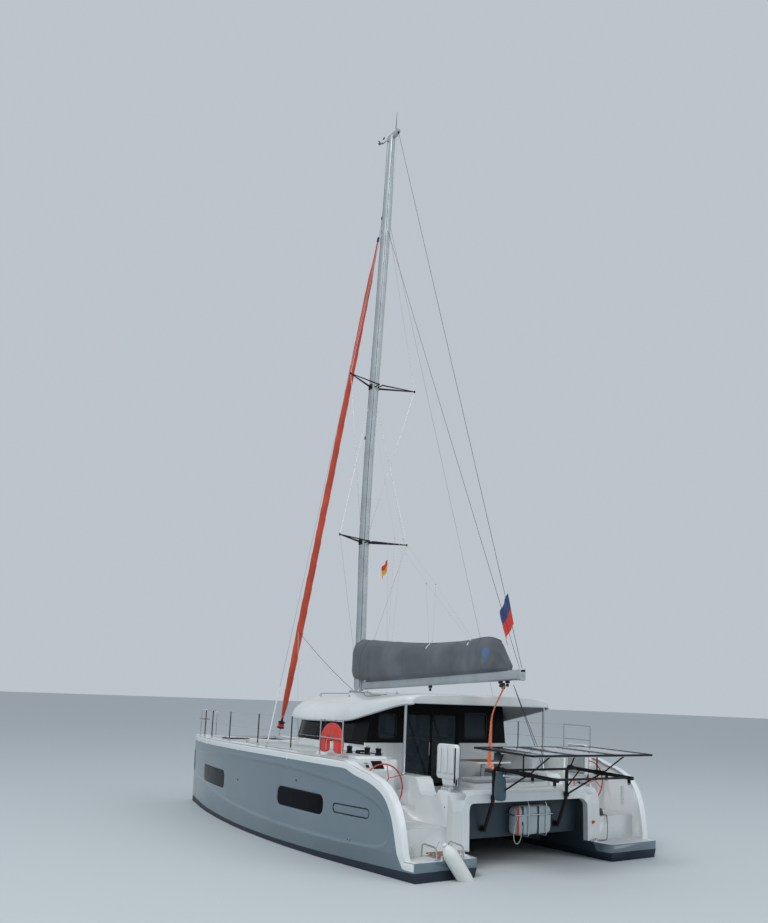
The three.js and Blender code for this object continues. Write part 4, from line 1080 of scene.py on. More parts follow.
@dataclass
class Studio:
    """The camera at the photograph's place, a pale floor at the waterline and soft light."""

    eye: Triple = (-16.961, 10.994, 2.847)
    heading: float = -0.615
    tilt: float = 0.153
    roll: float = 0.037
    focal_pixels: float = 852.085
    centre_pixels: tuple[float, float] = (418.572, 568.82)
    image: tuple[int, int] = (768, 923)
    sensor: float = 36.0
    floor_half: float = 400.0

    def build(self) -> None:
        """Builds all three."""
        self.camera()
        self.floor()
        self.lights()

    def camera(self) -> None:
        """Aims the camera: forward from heading and tilt, then rolled about it."""
        h, t, r = self.heading, self.tilt, self.roll
        forward = np.array([math.cos(h) * math.cos(t), math.sin(h) * math.cos(t), math.sin(t)])
        level = np.array([math.sin(h), -math.cos(h), 0.0])
        upright = np.cross(level, forward)
        right = math.cos(r) * level + math.sin(r) * upright
        up = math.cos(r) * upright - math.sin(r) * level
        data = bpy.data.cameras.new("camera")
        data.sensor_width = self.sensor
        longest = max(self.image)
        data.lens = self.focal_pixels * self.sensor / longest
        data.shift_x = (self.image[0] / 2 - self.centre_pixels[0]) / longest
        data.shift_y = (self.centre_pixels[1] - self.image[1] / 2) / longest
        data.clip_end = 2000
        made = bpy.data.objects.new("camera", data)
        turned = Matrix(np.stack([right, up, -forward], 1).tolist()).to_4x4()
        made.matrix_world = Matrix.Translation(self.eye) @ turned
        bpy.context.scene.collection.objects.link(made)
        bpy.context.scene.camera = made

    def floor(self) -> None:
        """Lays a pale floor whose height is the waterline."""
        h = self.floor_half
        paint = Paint("floor")
        paint.feed({"Base Color": shade(196, 203, 206), "Roughness": 0.7, "Specular IOR Level": 0.2})
        mesh = bpy.data.meshes.new("floor")
        mesh.from_pydata([(-h, -h, 0), (h, -h, 0), (h, h, 0), (-h, h, 0)], [], [(0, 1, 2, 3)])
        mesh.materials.append(paint.material)
        made = bpy.data.objects.new("floor", mesh)
        bpy.context.scene.collection.objects.link(made)

    def lights(self) -> None:
        """An even pale sky, a key lamp from aft and to port, a fill lamp from aft and to starboard."""
        world = bpy.data.worlds.new("sky")
        world.use_nodes = True
        ground = world.node_tree.nodes["Background"]
        ground.inputs["Color"].default_value = (*shade(206, 214, 222), 1)
        ground.inputs["Strength"].default_value = 0.82
        bpy.context.scene.world = world
        for name, place, energy, size in (("key", (-14, 22, 30), 5200, 16),
                                          ("fill", (-30, -14, 18), 2200, 18)):
            data = bpy.data.lights.new(name, "AREA")
            data.energy = energy
            data.size = size
            made = bpy.data.objects.new(name, data)
            turn = (Vector((0, 0, 3)) - Vector(place)).to_track_quat("-Z", "Y")
            made.matrix_world = Matrix.Translation(place) @ turn.to_matrix().to_4x4()
            bpy.context.scene.collection.objects.link(made)
        bpy.context.scene.view_settings.view_transform = "Standard"


# Hulls


HULL_COLUMNS = ("x", "deck_out", "deck_in", "chine_out", "boot_out", "boot_in", "chine",
                "knuckle", "sheer", "keel")
HULL_ROWS = np.array([
    (-5664, 2898, 1616, 2898, 2892, 1622, 400, 1150, 1760, -30),
    (-5350, 2975, 1500, 2975, 2925, 1600, 400, 1200, 1760, -140),
    (-5190, 3010, 1450, 3010, 2940, 1600, 405, 1230, 1760, -185),
    (-4700, 3100, 1450, 3100, 2985, 1600, 410, 1300, 1760, -280),
    (-3800, 3215, 1450, 3215, 3070, 1585, 400, 1380, 1770, -400),
    (-2800, 3275, 1450, 3275, 3150, 1570, 385, 1440, 1780, -470),
    (-1500, 3285, 1450, 3285, 3185, 1560, 390, 1470, 1785, -510),
    (-200, 3245, 1450, 3240, 3150, 1570, 420, 1480, 1780, -520),
    (1000, 3160, 1450, 3150, 3060, 1590, 480, 1475, 1775, -520),
    (2200, 3030, 1462, 3000, 2910, 1640, 560, 1460, 1765, -510),
    (3200, 2870, 1580, 2830, 2750, 1710, 640, 1440, 1755, -490),
    (4200, 2650, 1730, 2610, 2540, 1830, 710, 1420, 1745, -450),
    (5000, 2430, 1900, 2400, 2345, 1965, 750, 1405, 1735, -380),
    (5480, 2260, 2040, 2250, 2230, 2070, 770, 1400, 1728, -230),
    (5664, 2168, 2132, 2165, 2160, 2140, 780, 1400, 1725, -40),
]) / 1000
BOOT_HEIGHT = 0.13
PLATFORM_HEIGHT = 0.31


def hull_line(name: str, x: Array, smooth: bool = True) -> Array:
    """One of the hull's long lines at the places x, from the table."""
    column = HULL_ROWS[:, HULL_COLUMNS.index(name)]
    return along(HULL_ROWS[:, 0], column, x) if smooth else np.interp(x, HULL_ROWS[:, 0], column)


def outer_breadth(x: Array, z: Array) -> Array:
    """Half-breadth of the outer side at height z, straight between the hull's lines."""
    boots = [hull_line(n, x) for n in ("boot_out", "boot_in")]
    middle, half = (boots[0] + boots[1]) / 2, (boots[0] - boots[1]) / 2
    keel = hull_line("keel", x)
    deck = hull_line("deck_out", x)
    heights = np.stack([
        keel, keel * 0.8, keel * 0.42, np.full_like(x, BOOT_HEIGHT),
        hull_line("chine", x), hull_line("knuckle", x), hull_line("sheer", x),
    ])
    breadths = np.stack([
        middle + half * 0.2, middle + half * 0.66, middle + half * 0.93, boots[0],
        hull_line("chine_out", x), deck + 0.004, deck,
    ])
    i = np.clip((z[None] > heights).sum(0) - 1, 0, len(heights) - 2)

    def pick(table: Array, row: Array) -> Array:
        """Each place's own row of a table."""
        return np.take_along_axis(table, row[None], 0)[0]

    low, high = pick(heights, i), pick(heights, i + 1)
    t = np.clip((z - low) / np.maximum(high - low, 1e-6), 0, 1)
    return pick(breadths, i) * (1 - t) + pick(breadths, i + 1) * t


def within(points: Array, outline: Array) -> Array:
    """Signed distance from points to a closed outline, positive inside."""
    a, b = outline, np.roll(outline, -1, 0)
    edge = b - a
    offset = points[:, None] - a[None]
    t = np.clip((offset * edge).sum(-1) / np.maximum((edge ** 2).sum(-1), 1e-12), 0, 1)
    distance = np.linalg.norm(offset - t[..., None] * edge, axis=-1).min(1)
    y = points[:, None, 1]
    crosses = (a[None, :, 1] > y) != (b[None, :, 1] > y)
    slope = edge[None, :, 0] / np.where(np.abs(edge[None, :, 1]) < 1e-12, 1e-12, edge[None, :, 1])
    inside = (crosses & (points[:, None, 0] < a[None, :, 0] + (y - a[None, :, 1]) * slope)).sum(1) % 2 == 1
    return np.where(inside, distance, -distance)


@dataclass
class HullSkin:
    """The outer skin of one hull, with its long inset panel, window recesses and vent outline."""

    side: Side
    columns: int = 460
    rim_inboard: float = 0.10
    rim_radius: float = 0.055
    panel_depth: float = 0.026
    rim_path: tuple = (
        (-3.9, 1.768), (-4.25, 1.672), (-4.6, 1.59), (-4.88, 1.48), (-5.06, 1.35), (-5.19, 1.18),
        (-5.29, 0.96), (-5.36, 0.7), (-5.42, 0.38), (-5.43, 0.31), (-5.664, 0.31),
    )
    panel: tuple = (
        (5.5, 1.345), (4.4, 1.37), (3.4, 1.39), (1.5, 1.49), (-0.2, 1.515), (-1.6, 1.51), (-3.3, 1.42),
        (-4.1, 1.33), (-4.7, 1.18), (-5.02, 0.97), (-5.13, 0.72), (-5.0, 0.5), (-4.6, 0.43), (-3.2, 0.41),
        (-1.7, 0.42), (1.0, 0.51), (3.3, 0.69), (5.5, 0.83),
    )
    windows: tuple = ((1.52, 0.73, 3.48, 1.13), (-3.28, 0.76, -1.52, 1.12))
    window_corner: float = 0.14
    window_depth: float = 0.016
    vent: tuple = (-4.6, 0.865, -3.6, 1.02)
    vent_corner: float = 0.07
    vent_line: float = 0.012
    stem_middle: float = 2.15

    def build(self) -> list[bpy.types.Object]:
        """Builds the skin, its windows and fittings.

        Returns:
            The finished pieces.
        """
        return [self.skin(), self.glazing(), self.fittings()]

    def outlines(self) -> list[Array]:
        """The window outlines in x and z, as rounded rectangles."""
        return [rounded_outline(w[:2], w[2:], self.window_corner, 8) for w in self.windows]

    def vent_outline(self) -> Array:
        """The vent's outline in x and z."""
        return rounded_outline(self.vent[:2], self.vent[2:], self.vent_corner, 8)

    def relief(self, x: Array, z: Array) -> Array:
        """How far the side stands in or out: a soft step at the panel's edge and a recess at each opening."""
        points = np.stack([x, z], 1)
        panel = within(points, resampled([*self.panel, self.panel[0]], 160)[:-1])
        depth = -self.panel_depth * ease(panel, -0.004, 0.03)
        depth += 0.006 * ease(panel, -0.09, -0.01) * (panel < 0)
        for outline in self.outlines():
            depth -= self.window_depth * ease(within(points, outline), -0.012, 0.008)
        slot = within(points, self.vent_outline())
        depth -= 0.012 * ease(slot, -0.006, 0.004) - 0.006 * ease(slot, 0.014, 0.03)
        return depth

    def surface(self, x: Array, z: Array) -> Array:
        """Breadth of the finished side at x and z, with the relief."""
        flat_x, flat_z = np.ravel(x), np.ravel(z)
        y = outer_breadth(flat_x, flat_z)
        shown = flat_z > BOOT_HEIGHT + 0.1
        y[shown] += self.relief(flat_x[shown], flat_z[shown])
        return y.reshape(np.shape(x))

    def skin(self) -> bpy.types.Object:
        """Columns run from the rim to the keel: x and z by a Hermite curve that leaves square to the rim.

        P(v) = h00 G + h10 T0 + h01 B + h11 T1, and y is the breadth there, less the rounding of the rim.
        """
        along_bow = np.linspace(5.664, -3.6, 60)
        bow = np.stack([along_bow, hull_line("sheer", along_bow)], 1)
        rim = resampled([*bow, *self.rim_path], self.columns)
        normal = normals_of(rim)
        run = np.concatenate([[0], np.cumsum(np.linalg.norm(np.diff(rim, axis=0), axis=1))])
        turn = int(np.argmin(np.abs(rim[:, 0] + 3.2)))
        foot_x = rim[:, 0].copy()
        aft = (run[turn:] - run[turn]) / (run[-1] - run[turn])
        foot_x[turn:] = rim[turn, 0] + aft * (rim[-1, 0] - rim[turn, 0])
        foot = np.stack([foot_x, hull_line("keel", foot_x)], 1)
        reach = np.linalg.norm(foot - rim, axis=1)
        bend = np.linspace(0, math.pi / 2, 9)
        radius = np.minimum(self.rim_radius,
                            0.4 * (hull_line("deck_out", rim[:, 0]) - hull_line("deck_in", rim[:, 0])))
        drop = radius[:, None] * (1 - np.cos(bend))[None]
        inboard = radius[:, None] * (1 - np.sin(bend))[None]
        share = np.concatenate([np.linspace(0, 0.62, 64)[1:], np.linspace(0.62, 1, 26)[1:]])
        down = radius[:, None] + (reach - radius)[:, None] * share[None]
        depth = np.concatenate([drop, down], 1)
        v = (depth / reach[:, None])[..., None]
        start_tangent = -normal * reach[:, None]
        end_tangent = np.stack([np.zeros_like(reach), -reach], 1)
        points = (
            (1 + 2 * v) * (1 - v) ** 2 * rim[:, None]
            + v * (1 - v) ** 2 * start_tangent[:, None]
            + v * v * (3 - 2 * v) * foot[:, None]
            + v * v * (v - 1) * end_tangent[:, None]
        )
        x, z = points[..., 0], points[..., 1]
        y = self.surface(x, z)
        y[:, : len(bend)] = y[:, len(bend) - 1 : len(bend)] - inboard
        strip = np.minimum(self.rim_inboard, 0.9 * (y[:, 0] - hull_line("deck_in", rim[:, 0])) - 0.01)
        lift = np.array([-0.02, 0.0005, 0.003])
        across = np.array([1.0, 1.0, 0.5])
        top = rim[:, None] + normal[:, None] * lift[None, :, None]
        top_y = y[:, :1] - np.maximum(strip, 0.002)[:, None] * across[None]
        grid = np.stack([x, y, z], -1)
        grid[:, : len(bend)] += 0.003 * lattice(normal[:, 0], 0, normal[:, 1])[:, None]
        grid = np.concatenate([np.stack([top[..., 0], top_y, top[..., 1]], -1), grid], 1)
        length = np.cumsum(np.linalg.norm(np.diff(grid, axis=1, prepend=grid[:, :1]), axis=-1), 1)
        edge = length[:, 3 + len(bend) // 2][:, None]
        uv = lattice(run[:, None], length - edge)
        stem = self.stem(grid)
        grid = np.concatenate([stem, grid])
        uv = np.concatenate([np.repeat(uv[:1], len(stem), 0), uv])
        grid[..., 1] *= self.side.value
        made = Skin().grid(grid, uv=uv, flip=self.side is Side.PORT).object(
            f"topsides_{self.side.tag}", [Finishes.SIDES], 50)
        return dress(made, "boat", "gelcoat_topsides")

    def stem(self, grid: Array) -> Array:
        """Rounds the stem: the first column carried in a half turn to the inner side."""
        angle = np.linspace(math.pi, 0, 9)[:-1]
        first = grid[0]
        middle = np.minimum(self.stem_middle, first[:, 1])
        half = np.maximum(first[:, 1] - middle, 0.004)
        columns = np.repeat(first[None], len(angle), 0)
        columns[..., 1] = middle + half * np.cos(angle)[:, None]
        columns[..., 0] += half * np.sin(angle)[:, None]
        return columns

    def glazing(self) -> bpy.types.Object:
        """Dark panes set in the window recesses, each on a thin seal, as grids over the side's breadth."""
        skin = Skin()
        for x0, z0, x1, z1 in self.windows:
            for margin, lift, slot in ((0.004, 0.008, 1), (0.02, 0.012, 0)):
                outline = rounded_outline((x0 + margin, z0 + margin), (x1 - margin, z1 - margin),
                                          self.window_corner - margin, 10)
                outline = resampled([*outline, outline[0]], 145)[:-1]
                centre = outline.mean(0)
                share = np.concatenate([[0.001], np.linspace(0.1, 1, 10)])
                flat = centre + (outline - centre)[None] * share[:, None, None]
                y = outer_breadth(flat[..., 0].ravel(), flat[..., 1].ravel()).reshape(flat.shape[:2])
                y = (y - self.panel_depth - self.window_depth + lift) * self.side.value
                points = np.stack([flat[..., 0], y, flat[..., 1]], -1)
                rim = points[-1:].copy()
                rim[..., 1] -= 0.02 * self.side.value
                points = np.concatenate([points, rim])
                skin.grid(points, slot, round_v=True, flip=self.side is Side.STARBOARD)
        made = skin.object(f"hull_windows_{self.side.tag}", [Finishes.PORT_GLASS, Finishes.RUBBER], 40)
        return dress(made, "boat", "dark_glass")

    def fittings(self) -> bpy.types.Object:
        """Exhaust outlet, two drains, the small round fairings under the rim and the vent's black seal."""
        skin = Skin()
        seal = self.vent_outline()
        seal = resampled(np.concatenate([seal, seal[:1]]), 120, smooth=False)
        breadth = (self.surface(seal[:, 0], seal[:, 1]) - 0.002) * self.side.value
        skin.tube(np.stack([seal[:, 0], breadth, seal[:, 1]], 1), self.vent_line, 8, 2)
        s = self.side.value
        ring = [(0.0, -0.02), (0.03, -0.02), (0.034, 0.0), (0.034, 0.012), (0.024, 0.014),
                (0.022, -0.01), (0.0, -0.01)]
        dome = [(0.0, -0.01), (0.03, -0.01), (0.03, 0.004), (0.024, 0.012), (0.012, 0.018), (0.0, 0.019)]
        places = [(-4.1, 0.47, ring, 0), (0.55, 1.02, ring, 2), (-2.28, 1.28, ring, 2)]
        places += [(x, z, dome, 1) for x, z in ((4.35, 1.63), (3.15, 1.64), (0.6, 1.66), (-1.9, 1.66))]
        for x, z, profile, slot in places:
            y = spot(self.surface, x, z)
            size = 0.5 if slot == 2 else 1.0
            scaled = [(r * size, h * size) for r, h in profile]
            skin.turned(scaled, (x, s * (y + 0.002), z), (0, s, 0), 20, slot)
        made = skin.object(f"hull_fittings_{self.side.tag}",
                           [Finishes.STEEL, Finishes.WHITE, Finishes.RUBBER])
        return dress(made, "boat", "stainless")


@dataclass
class HullMoulding:
    """The rest of one hull: deck, helm well, steps, platform, transom and tunnel side."""

    side: Side
    tread_height: float = 0.003
    deck_panels: tuple = (
        (4.75, 3.45, 0.34, 0.14), (3.35, 3.28, 0.34, 0.14), (2.5, 0.9, 0.34, 0.36), (0.8, -2.0, 0.34, 0.42),
    )

    def build(self) -> list[bpy.types.Object]:
        """Builds the moulding and its treads.

        Returns:
            The finished pieces.
        """
        return [self.moulding(), self.treads()]

    def moulding(self) -> bpy.types.Object:
        """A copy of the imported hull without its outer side, which the skin covers."""
        s = self.side.value

        def outer(centres: Array, normals: Array) -> Array:
            """Faces of the outer side and the outer half of the bottom."""
            x, y, z = centres[:, 0], centres[:, 1] * s, centres[:, 2]
            out = normals[:, 1] * s
            near = np.abs(y - outer_breadth(x, z)) < 0.06
            middle = (hull_line("boot_out", x) + hull_line("boot_in", x)) / 2
            return np.where(z > BOOT_HEIGHT, near & (out > 0.3), (out > 0.05) & (y > middle))

        made = copied(f"hull_{self.side.tag}", [Finishes.HULL, Finishes.WHITE, Finishes.SHADED_TUNNEL], outer)
        centres, normals = face_places(made.data)
        x, y, z = centres[:, 0], centres[:, 1] * s, centres[:, 2]
        inside = (x < -2.35) & (z > PLATFORM_HEIGHT - 0.005) & ((y > 1.47) | (z > 0.97)) & (x > -5.655)
        tunnel = (normals[:, 1] * s < -0.5) & (y < 1.66) & (z < 1.3) & ((x < -4.88) | (z < 0.97))
        white = (inside & ~tunnel) | ((normals[:, 2] > 0.25) & (z > 0.25)) | (z > 1.7)
        # Inboard faces in the tunnel near the stern take the darkened tunnel finish in slot 2: painted shade.
        dark = tunnel & (x < -4.0) & (x > -5.3) & (z > 0.1)
        paint_faces(made.data, np.where(dark, 2, white))
        return dress(made, "boat", "gelcoat_white", f"hull_{self.side.tag}")

    def treads(self) -> bpy.types.Object:
        """Non-slip panels on the side deck, the steps and the platform: flat grids with rounded corners."""
        skin = Skin()
        s = self.side.value
        for ahead, behind, outside, inside in self.deck_panels:
            across = np.linspace(0, 1, 14)
            length = np.linspace(ahead, behind, 60)
            outer = hull_line("deck_out", length) - outside
            inner = hull_line("deck_in", length) + inside
            y = outer[:, None] + (inner - outer)[:, None] * across[None]
            z = hull_line("sheer", length, smooth=False)[:, None] + self.tread_height
            points = lattice(length[:, None], y * s, z)
            skin.grid(points, flip=self.side is Side.STARBOARD)
        flats = (
            (-5.62, 1.72, -5.12, 2.8, 0.31), (-4.09, 1.83, -3.89, 2.08, 0.975),
            (-3.83, 1.83, -3.63, 2.08, 1.23),
            (-3.57, 1.83, -3.33, 2.08, 1.48),
            (-5.02, 1.86, -4.03, 1.98, 0.73), (-4.29, 2.68, -4.0, 2.98, 0.73),
        )
        for x0, y0, x1, y1, z in flats:
            outline = rounded_outline((x0, y0), (x1, y1), 0.05)
            outline[:, 1] *= s
            skin.prism(outline, (z - 0.002, z + self.tread_height), "xy", 0.002)
        made = skin.object(f"deck_treads_{self.side.tag}", [Finishes.TREAD])
        return dress(made, "boat", "gelcoat_white")


# Cabin, roof and cockpit


DECK_HEIGHT = 1.76
SILL_HEIGHT = 1.93
BULKHEAD = -2.4


@dataclass
class Roof:
    """The cabin's long roof: each section is a flat arch, z = edge + rise (1 - |y/half|^p)^(1/p)."""

    skin_depth: float = 0.05
    fascia: tuple[float, float] = (0.115, 2.787)
    sections: tuple = (
        (-3.85, 1.74, 2.785, 2.975, 4.6), (-3.74, 1.84, 2.775, 2.985, 4.6), (-3.4, 1.92, 2.71, 2.99, 4.3),
        (-2.6, 1.945, 2.545, 2.99, 3.3), (-1.76, 1.95, 2.4, 2.99, 2.7), (-0.8, 1.95, 2.36, 2.99, 2.4),
        (0.0, 1.94, 2.35, 2.99, 2.3), (0.6, 1.87, 2.35, 2.985, 2.3), (1.0, 1.73, 2.355, 2.96, 2.3),
        (1.35, 1.52, 2.37, 2.9, 2.3), (1.65, 1.26, 2.39, 2.82, 2.3), (1.9, 0.96, 2.42, 2.72, 2.3),
        (2.08, 0.6, 2.45, 2.62, 2.3),
    )

    def line(self, column: int, x: Array) -> Array:
        """Half-breadth (1), edge height (2), crown height (3) or power (4) at the places x."""
        table = np.array(self.sections)
        return along(table[:, 0], table[:, column], x)

    def height(self, x: Array, y: Array) -> Array:
        """Height of the outer surface."""
        aft, fore = self.sections[0][0], self.sections[-1][0]
        half, edge, crown, power = (self.line(c, np.clip(x, aft, fore)) for c in (1, 2, 3, 4))
        share = np.clip(np.abs(y) / half, 0, 1)
        return edge + (crown - edge) * (1 - share ** power) ** (1 / power)

    def build(self) -> list[bpy.types.Object]:
        """Builds the shell and what is fixed on it.

        Returns:
            The finished pieces.
        """
        return [self.shell(), self.fittings()]

    def shell(self) -> bpy.types.Object:
        """A closed shell: over the top from port to starboard, round the lip and back underneath."""
        roll = np.linspace(0, math.radians(84), 6)
        lip = self.skin_depth * 0.5
        aft_end = self.sections[0][0] + lip * 1.6 * (1 - np.sin(roll[::-1]))
        length = np.linspace(-3.76, 2.04, 130)
        places = np.concatenate([aft_end, length, 2.045 + 0.04 * np.sin(roll)])
        thin = np.concatenate([np.cos(roll[::-1]), np.ones_like(length), np.cos(roll)])
        turn = np.linspace(0, math.pi, 90)
        half, edge, crown, power = (self.line(c, places)[:, None] for c in (1, 2, 3, 4))
        cosine, sine = np.cos(turn)[None], np.sin(turn)[None]
        out = signed_power(cosine, 2 / power)
        rise = sine ** (2 / power)
        middle = (lip * thin)[:, None]
        top_y = (half - lip + middle) * out
        top_z = edge + (crown - edge - lip + middle) * rise
        low_y = (half - lip - middle) * out[:, ::-1]
        low_z = edge + (crown - edge - lip - middle) * rise[:, ::-1]
        bend = np.linspace(0, math.pi, 9)[1:-1]
        reach, dip = middle * np.cos(bend)[None], middle * np.sin(bend)[None]
        ys = np.concatenate([top_y, -(half - lip + reach), low_y, half - lip - reach], 1)
        zs = np.concatenate([top_z, edge - dip, low_z, edge - dip], 1)
        skin = Skin().grid(lattice(places[:, None], ys, zs), round_v=True, caps=True)
        self.add_fascia(skin)
        made = skin.object("roof_shell", [Finishes.WHITE, Finishes.SHADED_UNDERSIDE], 50)
        self.shade_underside(made)
        return dress(made, "boat", "gelcoat_white", "roof")

    def add_fascia(self, skin: Skin) -> None:
        """The deep lip across the aft end: from its level foot up to just under the outer surface."""
        depth, foot = self.fascia
        y = np.linspace(-1, 1, 90)
        loops = []
        for x, low, drop in ((-3.842, 0, 0.016), (-3.849, 0.012, 0.012), (-3.849, 1, 0.008),
                             (-3.849 + depth, 1, 0.02),
                             (-3.849 + depth, 0, 0.02)):
            half = 1.732 if x < -3.8 else spot(partial(self.line, 1), x) - 0.03
            across = half * signed_power(y, 0.8)
            top = self.height(np.full(90, x), across) - drop
            z = np.maximum(top, foot + 0.004) if low == 1 else np.full(90, foot + low)
            loops.append(lattice(x, across, z))
        skin.grid(np.stack(loops, 1), round_v=True, caps=True)

    def shade_underside(self, made: bpy.types.Object) -> None:
        """Gives the faces below the roof a darker grey: painted shade."""
        centres, normals = face_places(made.data)
        gap = self.height(centres[:, 0], centres[:, 1]) - centres[:, 2]
        # Downward faces under the roof's skin get the darker grey: painted shade.
        paint_faces(made.data, (normals[:, 2] < 0) & (gap > self.skin_depth * 0.6))

    def fittings(self) -> bpy.types.Object:
        """Grab rails, pad-eyes and the lines that lead aft from the mast."""
        skin = Skin()
        for s in (1, -1):
            path = [(0.42, 1.32 * s), (0.42, 1.32 * s), (-0.9, 1.36 * s), (-0.9, 1.36 * s)]
            lifts = (-0.01, 0.075, 0.075, -0.01)
            points = [(x, y, spot(self.height, x, y) + h)
                      for (x, y), h in zip(path, lifts)]
            skin.pipe(points, 0.014, 0, 12, 0.05)
            for k, x in enumerate((0.3, 0.24, 0.18)):
                run = np.linspace(x + 0.4, -2.2, 30)
                y = s * (0.34 + 0.08 * k + 0.9 * ease(-run, -0.2, 1.9))
                z = self.height(run, y) + 0.008
                skin.tube(np.stack([run, y, z], 1), 0.006, 6, 1 + k % 2)
            for x, y in ((1.02, 1.0), (-2.5, 1.2)):
                z = spot(self.height, x, y)
                skin.turned([(0, 0), (0.04, 0), (0.04, 0.008), (0.012, 0.012), (0, 0.012)],
                            (x, y * s, z - 0.003))
                angle = np.linspace(0, math.pi, 14)
                hoop = lattice(x + 0.028 * np.cos(angle), y * s, z + 0.008 + 0.036 * np.sin(angle))
                skin.tube(hoop, 0.006, 8, 0)
        made = skin.object("roof_fittings", [Finishes.STEEL, Finishes.BLACK_ROPE, Finishes.WHITE_ROPE])
        return dress(made, "boat", "stainless")


